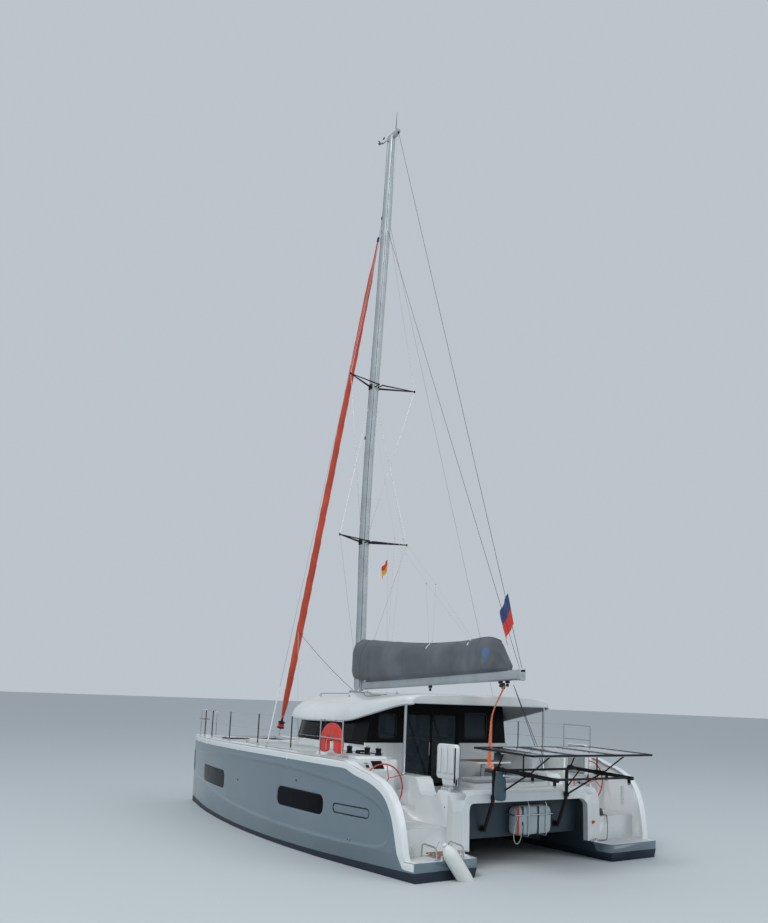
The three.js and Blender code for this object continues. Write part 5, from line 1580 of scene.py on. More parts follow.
@dataclass
class Saloon:
    """Cabin walls: coaming, wraparound glass, aft wall with a sliding door, and the seats inside."""

    roof: Roof = field(default_factory=Roof)
    glass_head: float = 2.62
    columns: int = 150
    base: tuple = ((-2.4, 1.85), (-1.0, 1.85), (0.3, 1.81), (0.9, 1.66), (1.35, 1.33),
                   (1.58, 0.85), (1.66, 0.3))
    top: tuple = ((-2.4, 1.74), (-1.0, 1.735), (0.25, 1.68), (0.78, 1.53), (1.18, 1.22),
                  (1.4, 0.78), (1.48, 0.28))

    def ring(self, depth: float, z: Array | float) -> Array:
        """The wall's plan at height z, set in by depth: the two tables joined straight up the lean."""
        plans = []
        for table in (self.base, self.top):
            half = np.array(table)
            whole = np.concatenate([half, half[::-1] * (1, -1)])
            plans.append(resampled(whole, self.columns))
        share = (np.asarray(z, float) - DECK_HEIGHT) / (self.glass_head - DECK_HEIGHT)
        plan = plans[0] + (plans[1] - plans[0]) * np.reshape(share, (-1, 1))
        return plan + depth * normals_of(plan)

    def under_roof(self, depth: float) -> tuple[Array, Array]:
        """The wall's plan and height where it meets the roof's underside, closer with each step."""
        level = np.full(self.columns, 2.5)
        for _ in range(3):
            plan = self.ring(depth, level)
            level = self.roof.height(plan[:, 0], plan[:, 1]) - self.roof.skin_depth - 0.002
        return plan, level

    def band(self, depths: tuple[float, float], low: float, high: float | None,
             part: slice = slice(None)) -> Array:
        """A closed wall section: outer foot, outer head, inner head and inner foot all along the plan.

        Args:
            depths: how far the outer and the inner face are set in.
            low: height of the foot.
            high: height of the head, or None for the roof's underside.
            part: which points of the plan.

        Returns:
            Points by place along the plan and by corner.
        """
        corners = []
        for depth, level in ((depths[0], low), (depths[0], high), (depths[1], high), (depths[1], low)):
            plan, z = self.under_roof(depth) if level is None else (self.ring(depth, level), level)
            corners.append(lattice(plan[:, 0], plan[:, 1], z)[part])
        return np.stack(corners, 1)

    def build(self) -> list[bpy.types.Object]:
        """Builds the walls and what shows through the glass.

        Returns:
            The finished pieces.
        """
        pieces = [self.glass(), self.frit(), self.coaming(), self.aft_wall(), self.rear_panes()]
        return pieces + [*self.doors(), *self.inside()]

    def glass(self) -> bpy.types.Object:
        """The tinted band from the sill to the roof."""
        skin = Skin().grid(self.band((0.006, 0.034), SILL_HEIGHT, None), round_v=True, caps=True)
        return dress(skin.object("saloon_band", [Finishes.DARK_GLASS]), "boat",
                     "dark_glass", "saloon_glass")

    def frit(self) -> bpy.types.Object:
        """Black sill, head strip and the uprights behind the glass edges."""
        skin = Skin()
        skin.grid(self.band((0.0035, 0.04), SILL_HEIGHT - 0.004, SILL_HEIGHT + 0.055),
                  round_v=True, caps=True)
        for start, width in ((0, 9), (26, 4), (44, 3), (58, 3), (70, 3), (77, 3), (89, 3), (103, 3),
                             (120, 4), (141, 9)):
            skin.grid(self.band((0.004, 0.038), SILL_HEIGHT, None, slice(start, start + width)),
                      round_v=True, caps=True)
        return dress(skin.object("glass_frit", [Finishes.FRAME], 40), "boat", "dark_frame")

    def coaming(self) -> bpy.types.Object:
        """The white foot of the walls, with a rounded shoulder."""
        made = copied("cabin_coaming", [Finishes.WHITE])
        return dress(made, "boat", "gelcoat_white", "cabin_coaming")

    def aft_wall(self) -> bpy.types.Object:
        """The dark wall behind the cockpit with its door and window openings."""
        made = copied("aft_bulkhead", [Finishes.FRAME])
        return dress(made, "boat", "dark_frame", "aft_bulkhead")

    def rear_panes(self) -> bpy.types.Object:
        """The two rear windows: rounded panes in narrow pale frames."""
        skin = Skin()
        for low, high in (((-1.27, 2.06), (-0.64, 2.62)), ((1.11, 2.06), (1.56, 2.56))):
            outline = rounded_outline(low, high, 0.08, 8)
            skin.prism(inset(outline, 0.012), (BULKHEAD + 0.02, BULKHEAD + 0.026), "yz", 0.001, 0)
            ring = np.stack([outline, inset(outline, 0.022)])
            corners = ((0, 0.006), (0, -0.008), (1, -0.008), (1, 0.006))
            walls = [np.insert(ring[which], 0, BULKHEAD + shift, axis=1) for which, shift in corners]
            loop = np.stack(walls)
            skin.grid(loop, 1, round_u=True, round_v=True)
        made = skin.object("rear_windows", [Finishes.PALE_GLASS, Finishes.BLACK], 30)
        return dress(made, "boat", "dark_glass")

    def doors(self) -> list[bpy.types.Object]:
        """The fixed and the sliding leaf: a frame round a pane, with a pull on the moving one."""
        made = []
        leaves = (
            ("door_pane_fixed", "door_leaf_fixed", "boat", False),
            ("sliding_door", "door_leaf_sliding", "sliding_door", True),
        )
        for node, name, body, handle in leaves:
            low, high = (np.array(v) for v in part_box(node))
            outline = rounded_outline((low[1], low[2]), (high[1], high[2]), 0.012, 3)
            skin = Skin()
            inner = inset(outline, 0.05)
            levels = (low[0] + 0.003, high[0] - 0.003)
            loop = np.stack([
                np.concatenate([np.full((len(outline), 1), lvl), shape], 1)
                for shape, lvl in ((outline, levels[0]), (outline, levels[1]), (inner, levels[1]),
                                   (inner, levels[0]))
            ])
            skin.grid(loop, 1, round_u=True, round_v=True)
            middle = (low[0] + high[0]) / 2
            skin.prism(inset(outline, 0.045), (middle - 0.003, middle + 0.003), "yz", 0.001, 0)
            if handle:
                y = low[1] + 0.09
                x = low[0]
                skin.pipe([(x, y, 1.72), (x - 0.034, y, 1.72), (x - 0.034, y, 2.0), (x, y, 2.0)],
                          0.008, 2, 10, 0.02)
            leaf = skin.object(name, [Finishes.PALE_GLASS, Finishes.FRAME, Finishes.STEEL], 30)
            made.append(dress(leaf, body, "dark_glass", node))
        return made

    def inside(self) -> list[bpy.types.Object]:
        """Galley counter with oak fronts, and sofas with seat cushions."""
        wood, soft = Skin(), []
        floor = 1.1
        wood.box((-2.2, -1.38, floor + 0.001), (-0.52, -0.87, 1.925), 0.006, 0)
        wood.box((-2.22, -1.385, 1.926), (-0.5, -0.85, 1.96), 0.012, 1)
        for k in range(4):
            x = -2.17 + 0.41 * k
            wood.box((x, -0.872, 1.22), (x + 0.39, -0.862, 1.52), 0.004, 0)
            wood.box((x, -0.872, 1.54), (x + 0.39, -0.862, 1.72), 0.004, 0)
            wood.bar((x + 0.12, -0.85, 1.68), (x + 0.27, -0.85, 1.68), 0.006, 8, 2)
        sofas = (
            (-0.5, -1.38, 1.2, -0.72), (0.92, -1.36, 1.5, 1.36), (-1.3, 0.72, 0.9, 1.38),
        )
        for number, (x0, y0, x1, y1) in enumerate(sofas):
            wood.box((x0, y0, floor + 0.001), (x1, y1, 1.40), 0.012, 1)
            axis = 0 if x1 - x0 > y1 - y0 else 1
            count = max(2, round((x1 - x0, y1 - y0)[axis] / 0.62))
            pads = Skin()
            for low, high in parts_of((x0 + 0.01, y0 + 0.01, 1.402),
                                      (x1 - 0.01, y1 - 0.01, 1.5), axis, count):
                pads.box(low, high, 0.035, 0, 5, 0.014)
            cushions = pads.object(f"sofa_cushions_{number}", [Finishes.CUSHION], 60)
            dress(cushions, "boat", "seat_vinyl")
            soft.append(cushions)
        made = wood.object("saloon_joinery", [Finishes.OAK, Finishes.WHITE, Finishes.STEEL])
        return [dress(made, "boat", "gelcoat_white", "saloon_furniture"), *soft]


@dataclass
class Cockpit:
    """The deck between the hulls with its sole, benches, cushions, table and roof posts."""

    sole_height: float = 0.98

    def build(self) -> list[bpy.types.Object]:
        """Builds the cockpit.

        Returns:
            The finished pieces.
        """
        return [self.platform(), self.flange(), self.sole(), self.benches(), *self.cushions(),
                self.table(), *self.posts()]

    def platform(self) -> bpy.types.Object:
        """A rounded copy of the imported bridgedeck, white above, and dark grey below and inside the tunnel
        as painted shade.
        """
        made = copied("bridgedeck", [Finishes.SHADED_TUNNEL, Finishes.WHITE])
        centres, normals = face_places(made.data)
        # Downward faces and the low aft faces in the tunnel get the dark grey: painted shade.
        grey = (normals[:, 2] < -0.3) | ((centres[:, 0] < -4.85) & (centres[:, 2] < 1.085))
        paint_faces(made.data, ~grey)
        return dress(made, "boat", "gelcoat_white", "bridgedeck")

    def flange(self) -> bpy.types.Object:
        """The lip round the tunnel's mouth: one section carried up a pillar, over a curve and across."""
        radius, half, head = 0.14, 1.447, 1.112
        turn = np.linspace(0, math.pi / 2, 12)
        rise = np.stack([np.full(20, half), np.linspace(0.33, head - radius, 20)], 1)
        bend = np.stack([half - radius + radius * np.cos(turn), head - radius + radius * np.sin(turn)], 1)
        port = np.concatenate([rise[:-1], bend])
        path = np.concatenate([port, port[::-1] * (-1, 1)])
        out = normals_of(path)
        aft = along((0.3, 1.0, 1.112), (-5.228, -5.206, -5.156), path[:, 1])
        corners = ((-0.02, 0.0), (-0.02, 0.012), (-0.004, 0.15), (0.03, 0.15), (0.1, 0.0))
        loop = np.stack([np.stack([aft + dx, path[:, 0] + out[:, 0] * w, path[:, 1] + out[:, 1] * w], 1)
                         for dx, w in corners], 1)
        made = Skin().grid(loop, round_v=True, caps=True).object("tunnel_lip", [Finishes.WHITE], 50)
        return dress(made, "boat", "gelcoat_white")

    def sole(self) -> bpy.types.Object:
        """Grey tread panels on the cockpit floor and teak-coloured boards inside the saloon."""
        skin = Skin()
        for x0, x1 in ((-4.2, -3.42), (-3.38, -2.52)):
            skin.prism(rounded_outline((x0, -0.66), (x1, 0.66), 0.06),
                       (self.sole_height - 0.004, self.sole_height + 0.003),
                       "xy", 0.002, 0)
        skin.prism(rounded_outline((-4.2, 0.7), (-2.52, 1.4), 0.06),
                   (self.sole_height - 0.004, self.sole_height + 0.003),
                   "xy", 0.002, 0)
        skin.prism(rounded_outline((-2.3, -0.8), (0.86, 0.66), 0.03), (1.098, 1.104), "xy", 0.002, 1)
        made = skin.object("cabin_soles", [Finishes.SOLE, Finishes.OAK])
        return dress(made, "boat", "gelcoat_white")

    def benches(self) -> bpy.types.Object:
        """Rounded copy of the bench mouldings."""
        made = copied("cockpit_bench", [Finishes.WHITE])
        return dress(made, "boat", "gelcoat_white", "cockpit_bench")

    def cushions(self) -> list[bpy.types.Object]:
        """Crowned seat pads on the benches, with a piped seam round each."""
        made = []
        rows = (
            ("aft", (-4.69, -0.89, 1.392), (-4.25, 0.89, 1.47), 3, 1),
            ("side", (-3.89, -1.43, 1.392), (-2.61, -1.02, 1.47), 2, 0),
        )
        for name, low, high, count, axis in rows:
            pads = Skin()
            for start, end in parts_of(low, high, axis, count):
                pads.box(start, end, 0.03, 0, 5, 0.014)
                x = (start[0] + 0.012, end[0] - 0.012)
                y = (start[1] + 0.012, end[1] - 0.012)
                seam = rounded_outline((x[0], y[0]), (x[1], y[1]), 0.03, 5)
                loop = np.concatenate([seam, seam[:1]])
                pads.tube(np.concatenate([loop, np.full((len(loop), 1), high[2] - 0.012)], 1), 0.004, 6, 1)
            piece = pads.object(f"cockpit_cushion_{name}", [Finishes.CUSHION, Finishes.PALE_CUSHION], 60)
            made.append(dress(piece, "boat", "seat_vinyl"))
        return made

    def table(self) -> bpy.types.Object:
        """A teak top with a white rim on a steel leg."""
        skin = Skin()
        skin.prism(rounded_outline((-3.65, -0.92), (-2.85, -0.04), 0.06), (1.641, 1.675), "xy", 0.008, 0)
        skin.prism(rounded_outline((-3.6, -0.87), (-2.9, -0.09), 0.05), (1.672, 1.678), "xy", 0.002, 1)
        skin.turned([(0, 0.981), (0.15, 0.981), (0.15, 0.99), (0.06, 1.0), (0.045, 1.03),
                     (0.045, 1.6), (0.1, 1.64),
                     (0, 1.64)], (-3.25, -0.48, 0), (0, 0, 1), 32, 2)
        made = skin.object("cockpit_table_top", [Finishes.WHITE, Finishes.TEAK, Finishes.STEEL], 30)
        return dress(made, "boat", "gelcoat_white", "cockpit_table")

    def posts(self) -> list[bpy.types.Object]:
        """The two roof posts with their foot and head plates."""
        made = []
        roof = Roof()
        for side in Side:
            y = 1.77 * side.value
            head = spot(roof.height, -3.66, y) - roof.skin_depth
            skin = Skin()
            skin.turned([(0, 1.481), (0.058, 1.481), (0.058, 1.489), (0.03, 1.497), (0.026, 1.505),
                         (0.026, head - 0.03),
                         (0.03, head - 0.02), (0.05, head - 0.004), (0, head)],
                        (-3.66, y, 0), (0, 0, 1), 24)
            post = skin.object(f"post_{side.tag}", [Finishes.STEEL], 40)
            made.append(dress(post, "boat", "stainless", f"roof_post_{side.tag}"))
        return made


# Mast, sails and rigging


def ripple(*axes: Array, waves: int = 6, seed: int = 3) -> Array:
    """A fixed sum of slanting sine waves, between about -1 and 1: sum of a sin(k . p + phase)."""
    rng = np.random.default_rng(seed)
    axes = np.broadcast_arrays(*axes)
    total = np.zeros(axes[0].shape)
    for wave in range(waves):
        pull = rng.normal(size=len(axes)) * (1 + 0.55 * wave)
        phase = rng.uniform(0, math.tau)
        total += np.sin(sum(k * a for k, a in zip(pull, axes)) + phase) / (1 + 0.5 * wave)
    return total / 2.2


@dataclass
class Spar:
    """The mast's centre line, bent a little aft, and its oval section."""

    line: tuple = (
        (3.032, 0.93), (4.75, 0.965), (6.71, 1.015), (8.71, 0.985), (10.72, 0.885),
        (14.99, 0.66), (17.6, 0.545),
    )
    half_chord: float = 0.14
    half_width: float = 0.1

    def x(self, z: Array | float) -> Array:
        """Place of the centre line at height z."""
        table = np.array(self.line)
        return along(table[:, 0], table[:, 1], np.asarray(z, float))

    def at(self, z: float, out: float) -> Triple:
        """A point beside the mast at height z."""
        return (float(self.x(z)), out, z)


@dataclass
class Mast:
    """The mast with its sail track, head fittings, spreaders and diamond wires."""

    spar: Spar = field(default_factory=Spar)
    wire: float = 0.004
    head_z: float = 17.6
    light_z: float = 17.66
    vane_z: float = 17.78
    spreader_rows: tuple = (("lower", 6.71, 0.54, 0.976), ("upper", 10.73, 0.44, 0.963))

    def build(self) -> list[bpy.types.Object]:
        """Builds the mast group.

        Returns:
            The finished pieces.
        """
        return [self.tube(), *self.spreaders(), self.wires(), self.halyards()]

    def tube(self) -> bpy.types.Object:
        """An oval tube with a track groove aft: x = c cos a, y = w sin a, drawn in above the hounds."""
        skin = Skin()
        z = np.linspace(3.03, 17.62, 150)
        angle = circle(48)
        drawn_in = ease(z, 15.4, self.head_z)
        groove = 1 - 0.09 * np.exp(-(((angle - math.pi) / 0.12) ** 2))
        ring_x = np.cos(angle) * groove
        x = self.spar.x(z)[:, None] + self.spar.half_chord * (1 - 0.34 * drawn_in)[:, None] * ring_x[None]
        y = self.spar.half_width * (1 - 0.25 * drawn_in)[:, None] * np.sin(angle)[None]
        skin.grid(lattice(x, y, z[:, None]), round_v=True, caps=True)
        foot = rounded_outline((0.71, -0.16), (1.15, 0.16), 0.06)
        skin.prism(foot, (2.986, 3.034), "xy", 0.012, 1)
        self.masthead(skin, float(self.spar.x(self.head_z)))
        self.goose(skin)
        for z0 in (9.4, 15.35):
            skin.box((float(self.spar.x(z0)) + 0.13, -0.05, z0),
                     (float(self.spar.x(z0)) + 0.21, 0.05, z0 + 0.09), 0.02, 2)
        made = skin.object("mast_tube", [Finishes.SPAR, Finishes.STEEL, Finishes.BLACK], 40)
        return dress(made, "boat", "aluminium_spar", "mast")

    def masthead(self, skin: Skin, x: float) -> None:
        """Adds the crane with its sheaves, the antenna, the wind cups and the vane.

        Args:
            skin: the mast's skin.
            x: where the mast's middle is at its head.
        """
        head, rod, vane, foot = self.head_z, self.light_z, self.vane_z, x + 0.62
        crane = [(-0.33, 0), (-0.3, 0.08), (0.16, 0.09), (0.24, 0), (0.12, -0.06), (-0.2, -0.06)]
        skin.prism(np.array(crane) + (x, head), (-0.045, 0.045), "xz", 0.008, 1)
        for sheave_x in (x - 0.28, x + 0.18):
            skin.sheave((sheave_x, 0, head), 0.045, 0.036, 0.012, 20)
        skin.bar((x - 0.16, 0, rod), (x - 0.185, 0, 18.24), (0.011, 0.007, 0.004), 8, 2)
        skin.pipe([(x + 0.1, 0, rod), (x + 0.45, 0, rod), (foot, 0, rod + 0.08)], 0.009, 2, 8)
        bulb = [(0, 0), (0.016, 0), (0.02, 0.05), (0.012, 0.09), (0, 0.095)]
        skin.turned(bulb, (foot, 0, vane - 0.06), sides=12, slot=2)
        for k in range(3):
            turn = k * math.tau / 3
            cup = (foot + 0.06 * math.cos(turn), 0.06 * math.sin(turn), vane)
            skin.bar((foot, 0, vane), cup, 0.003, 6, 2)
            skin.turned([(0, -0.014), (0.016, -0.004), (0.018, 0.012), (0.0, 0.012)], cup, (0, 0, 1), 10, 2)
        arrow = [(0.5, 0.01), (0.42, 0.07), (0.36, 0.01), (0.42, -0.01)]
        skin.prism(np.array(arrow) + (x, vane), (-0.002, 0.002), "xz", 0.0008, 2)

    def goose(self, skin: Skin) -> None:
        """Adds the boom's pin and its two cheeks."""
        for z0, z1 in ((3.056, 3.08), (3.22, 3.244)):
            skin.prism(rounded_outline((0.714, -0.03), (0.86, 0.03), 0.02), (z0, z1), "xy", 0.003, 1)
        skin.bar((0.74, 0, 3.05), (0.74, 0, 3.252), 0.012, 16, 1)
        for s in (1, -1):
            skin.box((0.84, s * 0.1 - 0.012, 3.4), (1.0, s * 0.1 + 0.012, 3.6), 0.006, 2)

    def spreaders(self) -> list[bpy.types.Object]:
        """Each pair: a tapered leading arm, a trailing arm, a root bracket and a capped tip."""
        made = []
        for name, z, tip_x, tip_y in self.spreader_rows:
            skin = Skin()
            root = float(self.spar.x(z))
            for s in (1, -1):
                end = (tip_x, s * tip_y, z)
                skin.bar((root + 0.02, s * 0.085, z), end, np.linspace(0.026, 0.014, 10), 14)
                skin.bar((root - 0.33, s * 0.045, z - 0.02), end, np.linspace(0.018, 0.012, 10), 10)
                skin.bar((root - 0.1, s * 0.04, z - 0.02), (root - 0.35, s * 0.05, z - 0.02), 0.016, 10)
                skin.box((root - 0.07, s * 0.104 - 0.012, z - 0.07),
                         (root + 0.09, s * 0.104 + 0.008, z + 0.07), 0.01)
                cap = [(0, -0.032), (0.014, -0.03), (0.022, 0), (0.014, 0.03), (0, 0.032)]
                skin.turned(cap, (tip_x, s * (tip_y + 0.002), z), (0, 0, 1), 14, 1)
            skin.bar((root, -0.115, z), (root, 0.115, z), 0.015, 12)
            piece = skin.object(f"spreader_pair_{name}", [Finishes.BLACK, Finishes.RUBBER], 40)
            made.append(dress(piece, "boat", "dark_frame", f"spreaders_{name}"))
        return made

    def wires(self) -> bpy.types.Object:
        """Diamond wires: heel, lower tip, upper root on each side, then lower root, upper tip, hounds."""
        skin = Skin()
        (_, low_z, low_x, low_y), (_, high_z, high_x, high_y) = self.spreader_rows
        for s in (1, -1):
            runs = (
                (self.spar.at(3.5, 0.1 * s), (low_x, s * low_y, low_z)),
                ((low_x, s * low_y, low_z), self.spar.at(10.35, 0.095 * s)),
                (self.spar.at(6.9, 0.1 * s), (high_x, s * high_y, high_z)),
                ((high_x, s * high_y, high_z), self.spar.at(15.1, 0.09 * s)),
            )
            for start, end in runs:
                skin.bar(start, end, self.wire, 6)
            foot = np.linspace(runs[0][0], runs[0][1], 24)
            skin.bar(tuple(foot[0]), tuple(foot[2]), 0.011, 10)
        return dress(skin.object("diamond_wires", [Finishes.STEEL]), "boat", "stainless")

    def halyards(self) -> bpy.types.Object:
        """Lines along the mast from the head to the clutches at its heel."""
        skin = Skin()
        z = np.linspace(3.1, 17.55, 60)
        for k, (angle, slot) in enumerate(((2.5, 0), (-2.45, 1), (0.5, 0))):
            x = self.spar.x(z) + (self.spar.half_chord + 0.012) * math.cos(angle)
            y = np.full_like(z, (self.spar.half_width + 0.012) * math.sin(angle))
            skin.tube(np.stack([x, y + 0.004 * np.sin(z * 1.7 + k), z], 1), 0.005, 6, slot)
        return dress(skin.object("halyards", [Finishes.BLACK_ROPE, Finishes.WHITE_ROPE]),
                     "boat", "stainless")


@dataclass
class Headsail:
    """The sail rolled round its stay: a long spindle with the edge of each wrap winding up it."""

    foot: Triple = (5.07, 0.0, 1.775)
    head: Triple = (0.835, 0.0, 15.46)
    profile: tuple = ((2.2, 0.03), (2.42, 0.056), (2.7, 0.076), (4.6, 0.098), (9.5, 0.084),
                      (13.8, 0.06), (14.4, 0.03),
                      (14.8, 0.022))

    def stay(self, z: Array) -> Array:
        """Points of the straight stay at the heights z."""
        share = (z - self.foot[2]) / (self.head[2] - self.foot[2])
        ends = np.array(self.foot), np.array(self.head)
        return ends[0] + (ends[1] - ends[0]) * share[:, None]

    def build(self) -> list[bpy.types.Object]:
        """Builds the roll and its gear.

        Returns:
            The finished pieces.
        """
        return [self.roll(), self.gear(), self.sheets()]

    def roll(self) -> bpy.types.Object:
        """r = r0(z) (1 + 0.09 f), f being the part left over of angle/tau + z/pitch, like a wound ribbon."""
        z = np.linspace(2.2, 14.8, 520)
        table = np.array(self.profile)
        angle = circle(40)
        lap = (angle[None] / math.tau + z[:, None] / 0.62) % 1.0
        crease = 0.035 * ripple(z[:, None] * 3, angle, waves=7, seed=5)
        radius = along(table[:, 0], table[:, 1], z)[:, None] * (0.94 + 0.1 * lap ** 1.6 + crease)
        centre = self.stay(z)[:, None]
        points = lattice(centre[..., 0] + radius * np.cos(angle), radius * np.sin(angle), centre[..., 2])
        uv = lattice(angle / math.tau, z[:, None])
        skin = Skin().grid(points, 0, round_v=True, caps=True, uv=uv)
        return dress(skin.object("headsail_roll", [Finishes.SACRIFICE], 50), "boat",
                     "sailcloth", "furled_jib")

    def gear(self) -> bpy.types.Object:
        """Drum with its two flanges, the bare stay above and below, the upper swivel and the tack fitting."""
        skin = Skin()
        axis = np.array(self.head) - np.array(self.foot)
        unit = axis / np.linalg.norm(axis)

        def at(z: float) -> Triple:
            """The stay's centre at height z."""
            return tuple(self.stay(np.array([z]))[0])

        skin.bar(at(1.80), at(2.3), 0.012, 12, 0)
        skin.bar(at(14.7), at(15.44), 0.006, 8, 0)
        drum = [(0, 0), (0.105, 0), (0.105, 0.012), (0.06, 0.02), (0.058, 0.13), (0.1, 0.15),
                (0.1, 0.162), (0.03, 0.2),
                (0.03, 0.26), (0, 0.26)]
        skin.turned(drum, at(1.95), tuple(unit), 28, 1)
        wound = [(0.059, 0.025), (0.08, 0.03), (0.084, 0.075), (0.08, 0.12), (0.059, 0.125)]
        skin.turned(wound, at(1.95), tuple(unit), 28, 2)
        skin.turned([(0, 0), (0.03, 0.0), (0.034, 0.03), (0.03, 0.12), (0, 0.13)], at(14.82),
                    tuple(unit), 18, 1)
        skin.box((5.035, -0.012, 1.722), (5.105, 0.012, 1.84), 0.006, 0)
        return dress(skin.object("furling_gear", [Finishes.STEEL, Finishes.BLACK, Finishes.RED]),
                     "boat", "stainless")

    def sheets(self) -> bpy.types.Object:
        """The two sheets from the clew, one taut to the port side deck and one round the mast's fore side."""
        skin = Skin()
        clew = np.array([4.16, 0.06, 4.62])
        for end, sag, slot in (((0.35, -1.5, 1.95), 0.3, 0), ((0.6, 1.75, 1.86), 0.22, 1)):
            t = np.linspace(0, 1, 40)[:, None]
            path = clew + (np.array(end) - clew) * t
            path[:, 2] -= (sag * 4 * t * (1 - t))[:, 0]
            skin.tube(path, 0.006, 6, slot)
        skin.turned([(0, -0.03), (0.035, -0.02), (0.035, 0.02), (0, 0.03)], tuple(clew), (0, 1, 0.2), 14, 0)
        return dress(skin.object("headsail_sheets", [Finishes.BLACK_ROPE, Finishes.WHITE_ROPE]),
                     "boat", "stainless")


@dataclass
class SailBag:
    """The cloth bag on the boom and the part of it that wraps the mast, which share one sagging shape."""

    rows: tuple = (
        (-4.56, 3.455, 3.64, 0.07), (-4.42, 3.448, 3.86, 0.1), (-4.27, 3.44, 4.06, 0.14),
        (-3.88, 3.425, 4.14, 0.165),
        (-3.0, 3.385, 4.08, 0.19), (-2.25, 3.35, 4.075, 0.205), (-0.57, 3.275, 4.15, 0.225),
        (0.6, 3.225, 4.25, 0.225),
        (1.06, 3.215, 4.3, 0.215),
    )
    pivot_x: float = 0.74
    split: float = 0.265
    gap: float = 0.008
    collar_low: float = 3.277
    tab_places: tuple = (-0.35, -1.95, -3.35)

    def line(self, column: int, x: Array) -> Array:
        """Low edge (1), top edge (2) or half-breadth (3) at the places x."""
        table = np.array(self.rows)
        return along(table[:, 0], table[:, column], x)

    def side(self, x: Array, height: Array) -> Array:
        """Half-breadth at a share of the height, with hanging folds between the battens."""
        shape = along((0, 0.12, 0.38, 0.62, 0.86, 1), (0.28, 0.8, 1.0, 0.92, 0.55, 0.1), height)
        slack = np.sin(np.pi * np.clip(height, 0, 1))
        folds = 0.016 * ripple(x * 2.1, height * 3.5, waves=8, seed=11) * slack
        pulls = sum(np.exp(-((x - t) / 0.1) ** 2)
                    for t in self.tab_places) * -0.012 * ease(height, 0.4, 1.0)
        creases = 0.006 * np.sin(x * 23 + 6 * np.sin(height * 3)) * slack * ease(x, -2.6, -4.3)
        hem = sum(0.004 * np.exp(-((height - place) / 0.02) ** 2) for place in (0.07, 0.93))
        return self.line(3, x) * shape + folds + pulls + creases + hem

    def build(self) -> list[bpy.types.Object]:
        """Builds the bag, the collar and their trim.

        Returns:
            The finished pieces.
        """
        return [self.bag(), self.collar(), self.trim()]

    def around(self, rounds: int) -> tuple[Array, Array]:
        """Share of the height and side (+1 to -1) of each point, from low port over the top."""
        climb = np.linspace(0, 1, rounds)
        height = np.concatenate([climb, climb[::-1]])
        side = np.concatenate([np.ones(rounds), -np.ones(rounds)])
        return height, side

    def wall(self, edge: Array) -> Array:
        """Rows that close an end on round walls about the boom's pivot, so that the two halves slide past.

        Args:
            edge: The end's ring of points.

        Returns:
            Rows of points, from beside the edge to the middle.
        """
        reach = np.hypot(self.pivot_x - edge[:, 0], edge[:, 1])
        turn = np.arctan2(edge[:, 1], self.pivot_x - edge[:, 0])
        share = np.array([0.94, 0.8, 0.6, 0.4, 0.2, 0.03])[:, None]
        x, y = self.pivot_x - reach * np.cos(turn * share), reach * np.sin(turn * share)
        return lattice(x, y, edge[:, 2])

    def bag(self) -> bpy.types.Object:
        """Rings from the clew end to the split, which lies on a round wall about the boom's pivot."""
        height, side = self.around(40)
        t = 1 - (1 - np.linspace(0, 1, 230)) ** 1.05
        start = self.rows[0][0]
        rough = np.minimum(self.side(np.full_like(height, 0.5), height), 0.255) * side
        front = self.pivot_x - np.sqrt((self.split + self.gap) ** 2 - rough ** 2)
        x = start + (front - start)[None] * t[:, None]
        h = np.broadcast_to(height, x.shape)
        low, top = self.line(1, x), self.line(2, x)
        sag = 0.02 * ripple(x * 3.1, waves=4, seed=2) * ease(h, 0.6, 1.0)
        points = np.stack([x, self.side(x, h) * side, low + (top - low) * h + sag], -1)
        reach = np.hypot(points[..., 0] - self.pivot_x, points[..., 1])
        push = np.maximum(1, (self.split + self.gap) / np.maximum(reach, 0.01))
        points[..., 0] = self.pivot_x + (points[..., 0] - self.pivot_x) * push
        points[..., 1] *= push
        points = np.concatenate([points, self.wall(points[-1])])
        uv = lattice(points[..., 0], height)
        skin = Skin().grid(points, 0, round_v=True, caps=True, uv=uv)
        made = dress(skin.object("boom_bag", [Finishes.CANVAS], 60), "boom", "canvas_grey", "sail_bag")
        return made

    def collar(self) -> bpy.types.Object:
        """Rings from the split forward round the mast, with a rounded front."""
        height, side = self.around(40)
        rough = np.minimum(self.side(np.full_like(height, 0.5), height), 0.252) * side
        back = self.pivot_x - np.sqrt(self.split ** 2 - rough ** 2)
        t = np.linspace(0, 1, 46)
        x = back[None] + (1.085 - back)[None] * t[:, None]
        h = np.broadcast_to(height, x.shape)
        nose = np.sqrt(np.clip(1 - ease(x, 0.93, 1.09) ** 2 * 0.93, 0.05, 1))
        low = np.maximum(self.line(1, x), self.collar_low)
        top = self.line(2, x) - 0.05 * (1 - nose)
        swing = np.sqrt((self.split - 0.004) ** 2 - np.clip(x - self.pivot_x, -0.258, 0.17) ** 2)
        half = np.minimum(np.maximum(self.side(x, h), 0.02), swing)
        points = np.stack([x, half * side * nose, low + (top - low) * h], -1)
        points = np.concatenate([self.wall(points[0])[::-1], points])
        uv = lattice(points[..., 0], height)
        skin = Skin().grid(points, 0, round_v=True, caps=True, uv=uv)
        for z in np.linspace(3.36, 4.18, 9):
            skin.bar((1.06, -0.05, z), (1.088, 0.03, z + 0.06), 0.004, 6, 1)
            skin.bar((1.06, 0.05, z), (1.088, -0.03, z + 0.06), 0.004, 6, 1)
        made = skin.object("mast_bag", [Finishes.CANVAS, Finishes.WHITE_ROPE], 60)
        dress(made, "boat", "canvas_grey", "sail_bag_collar")
        return made

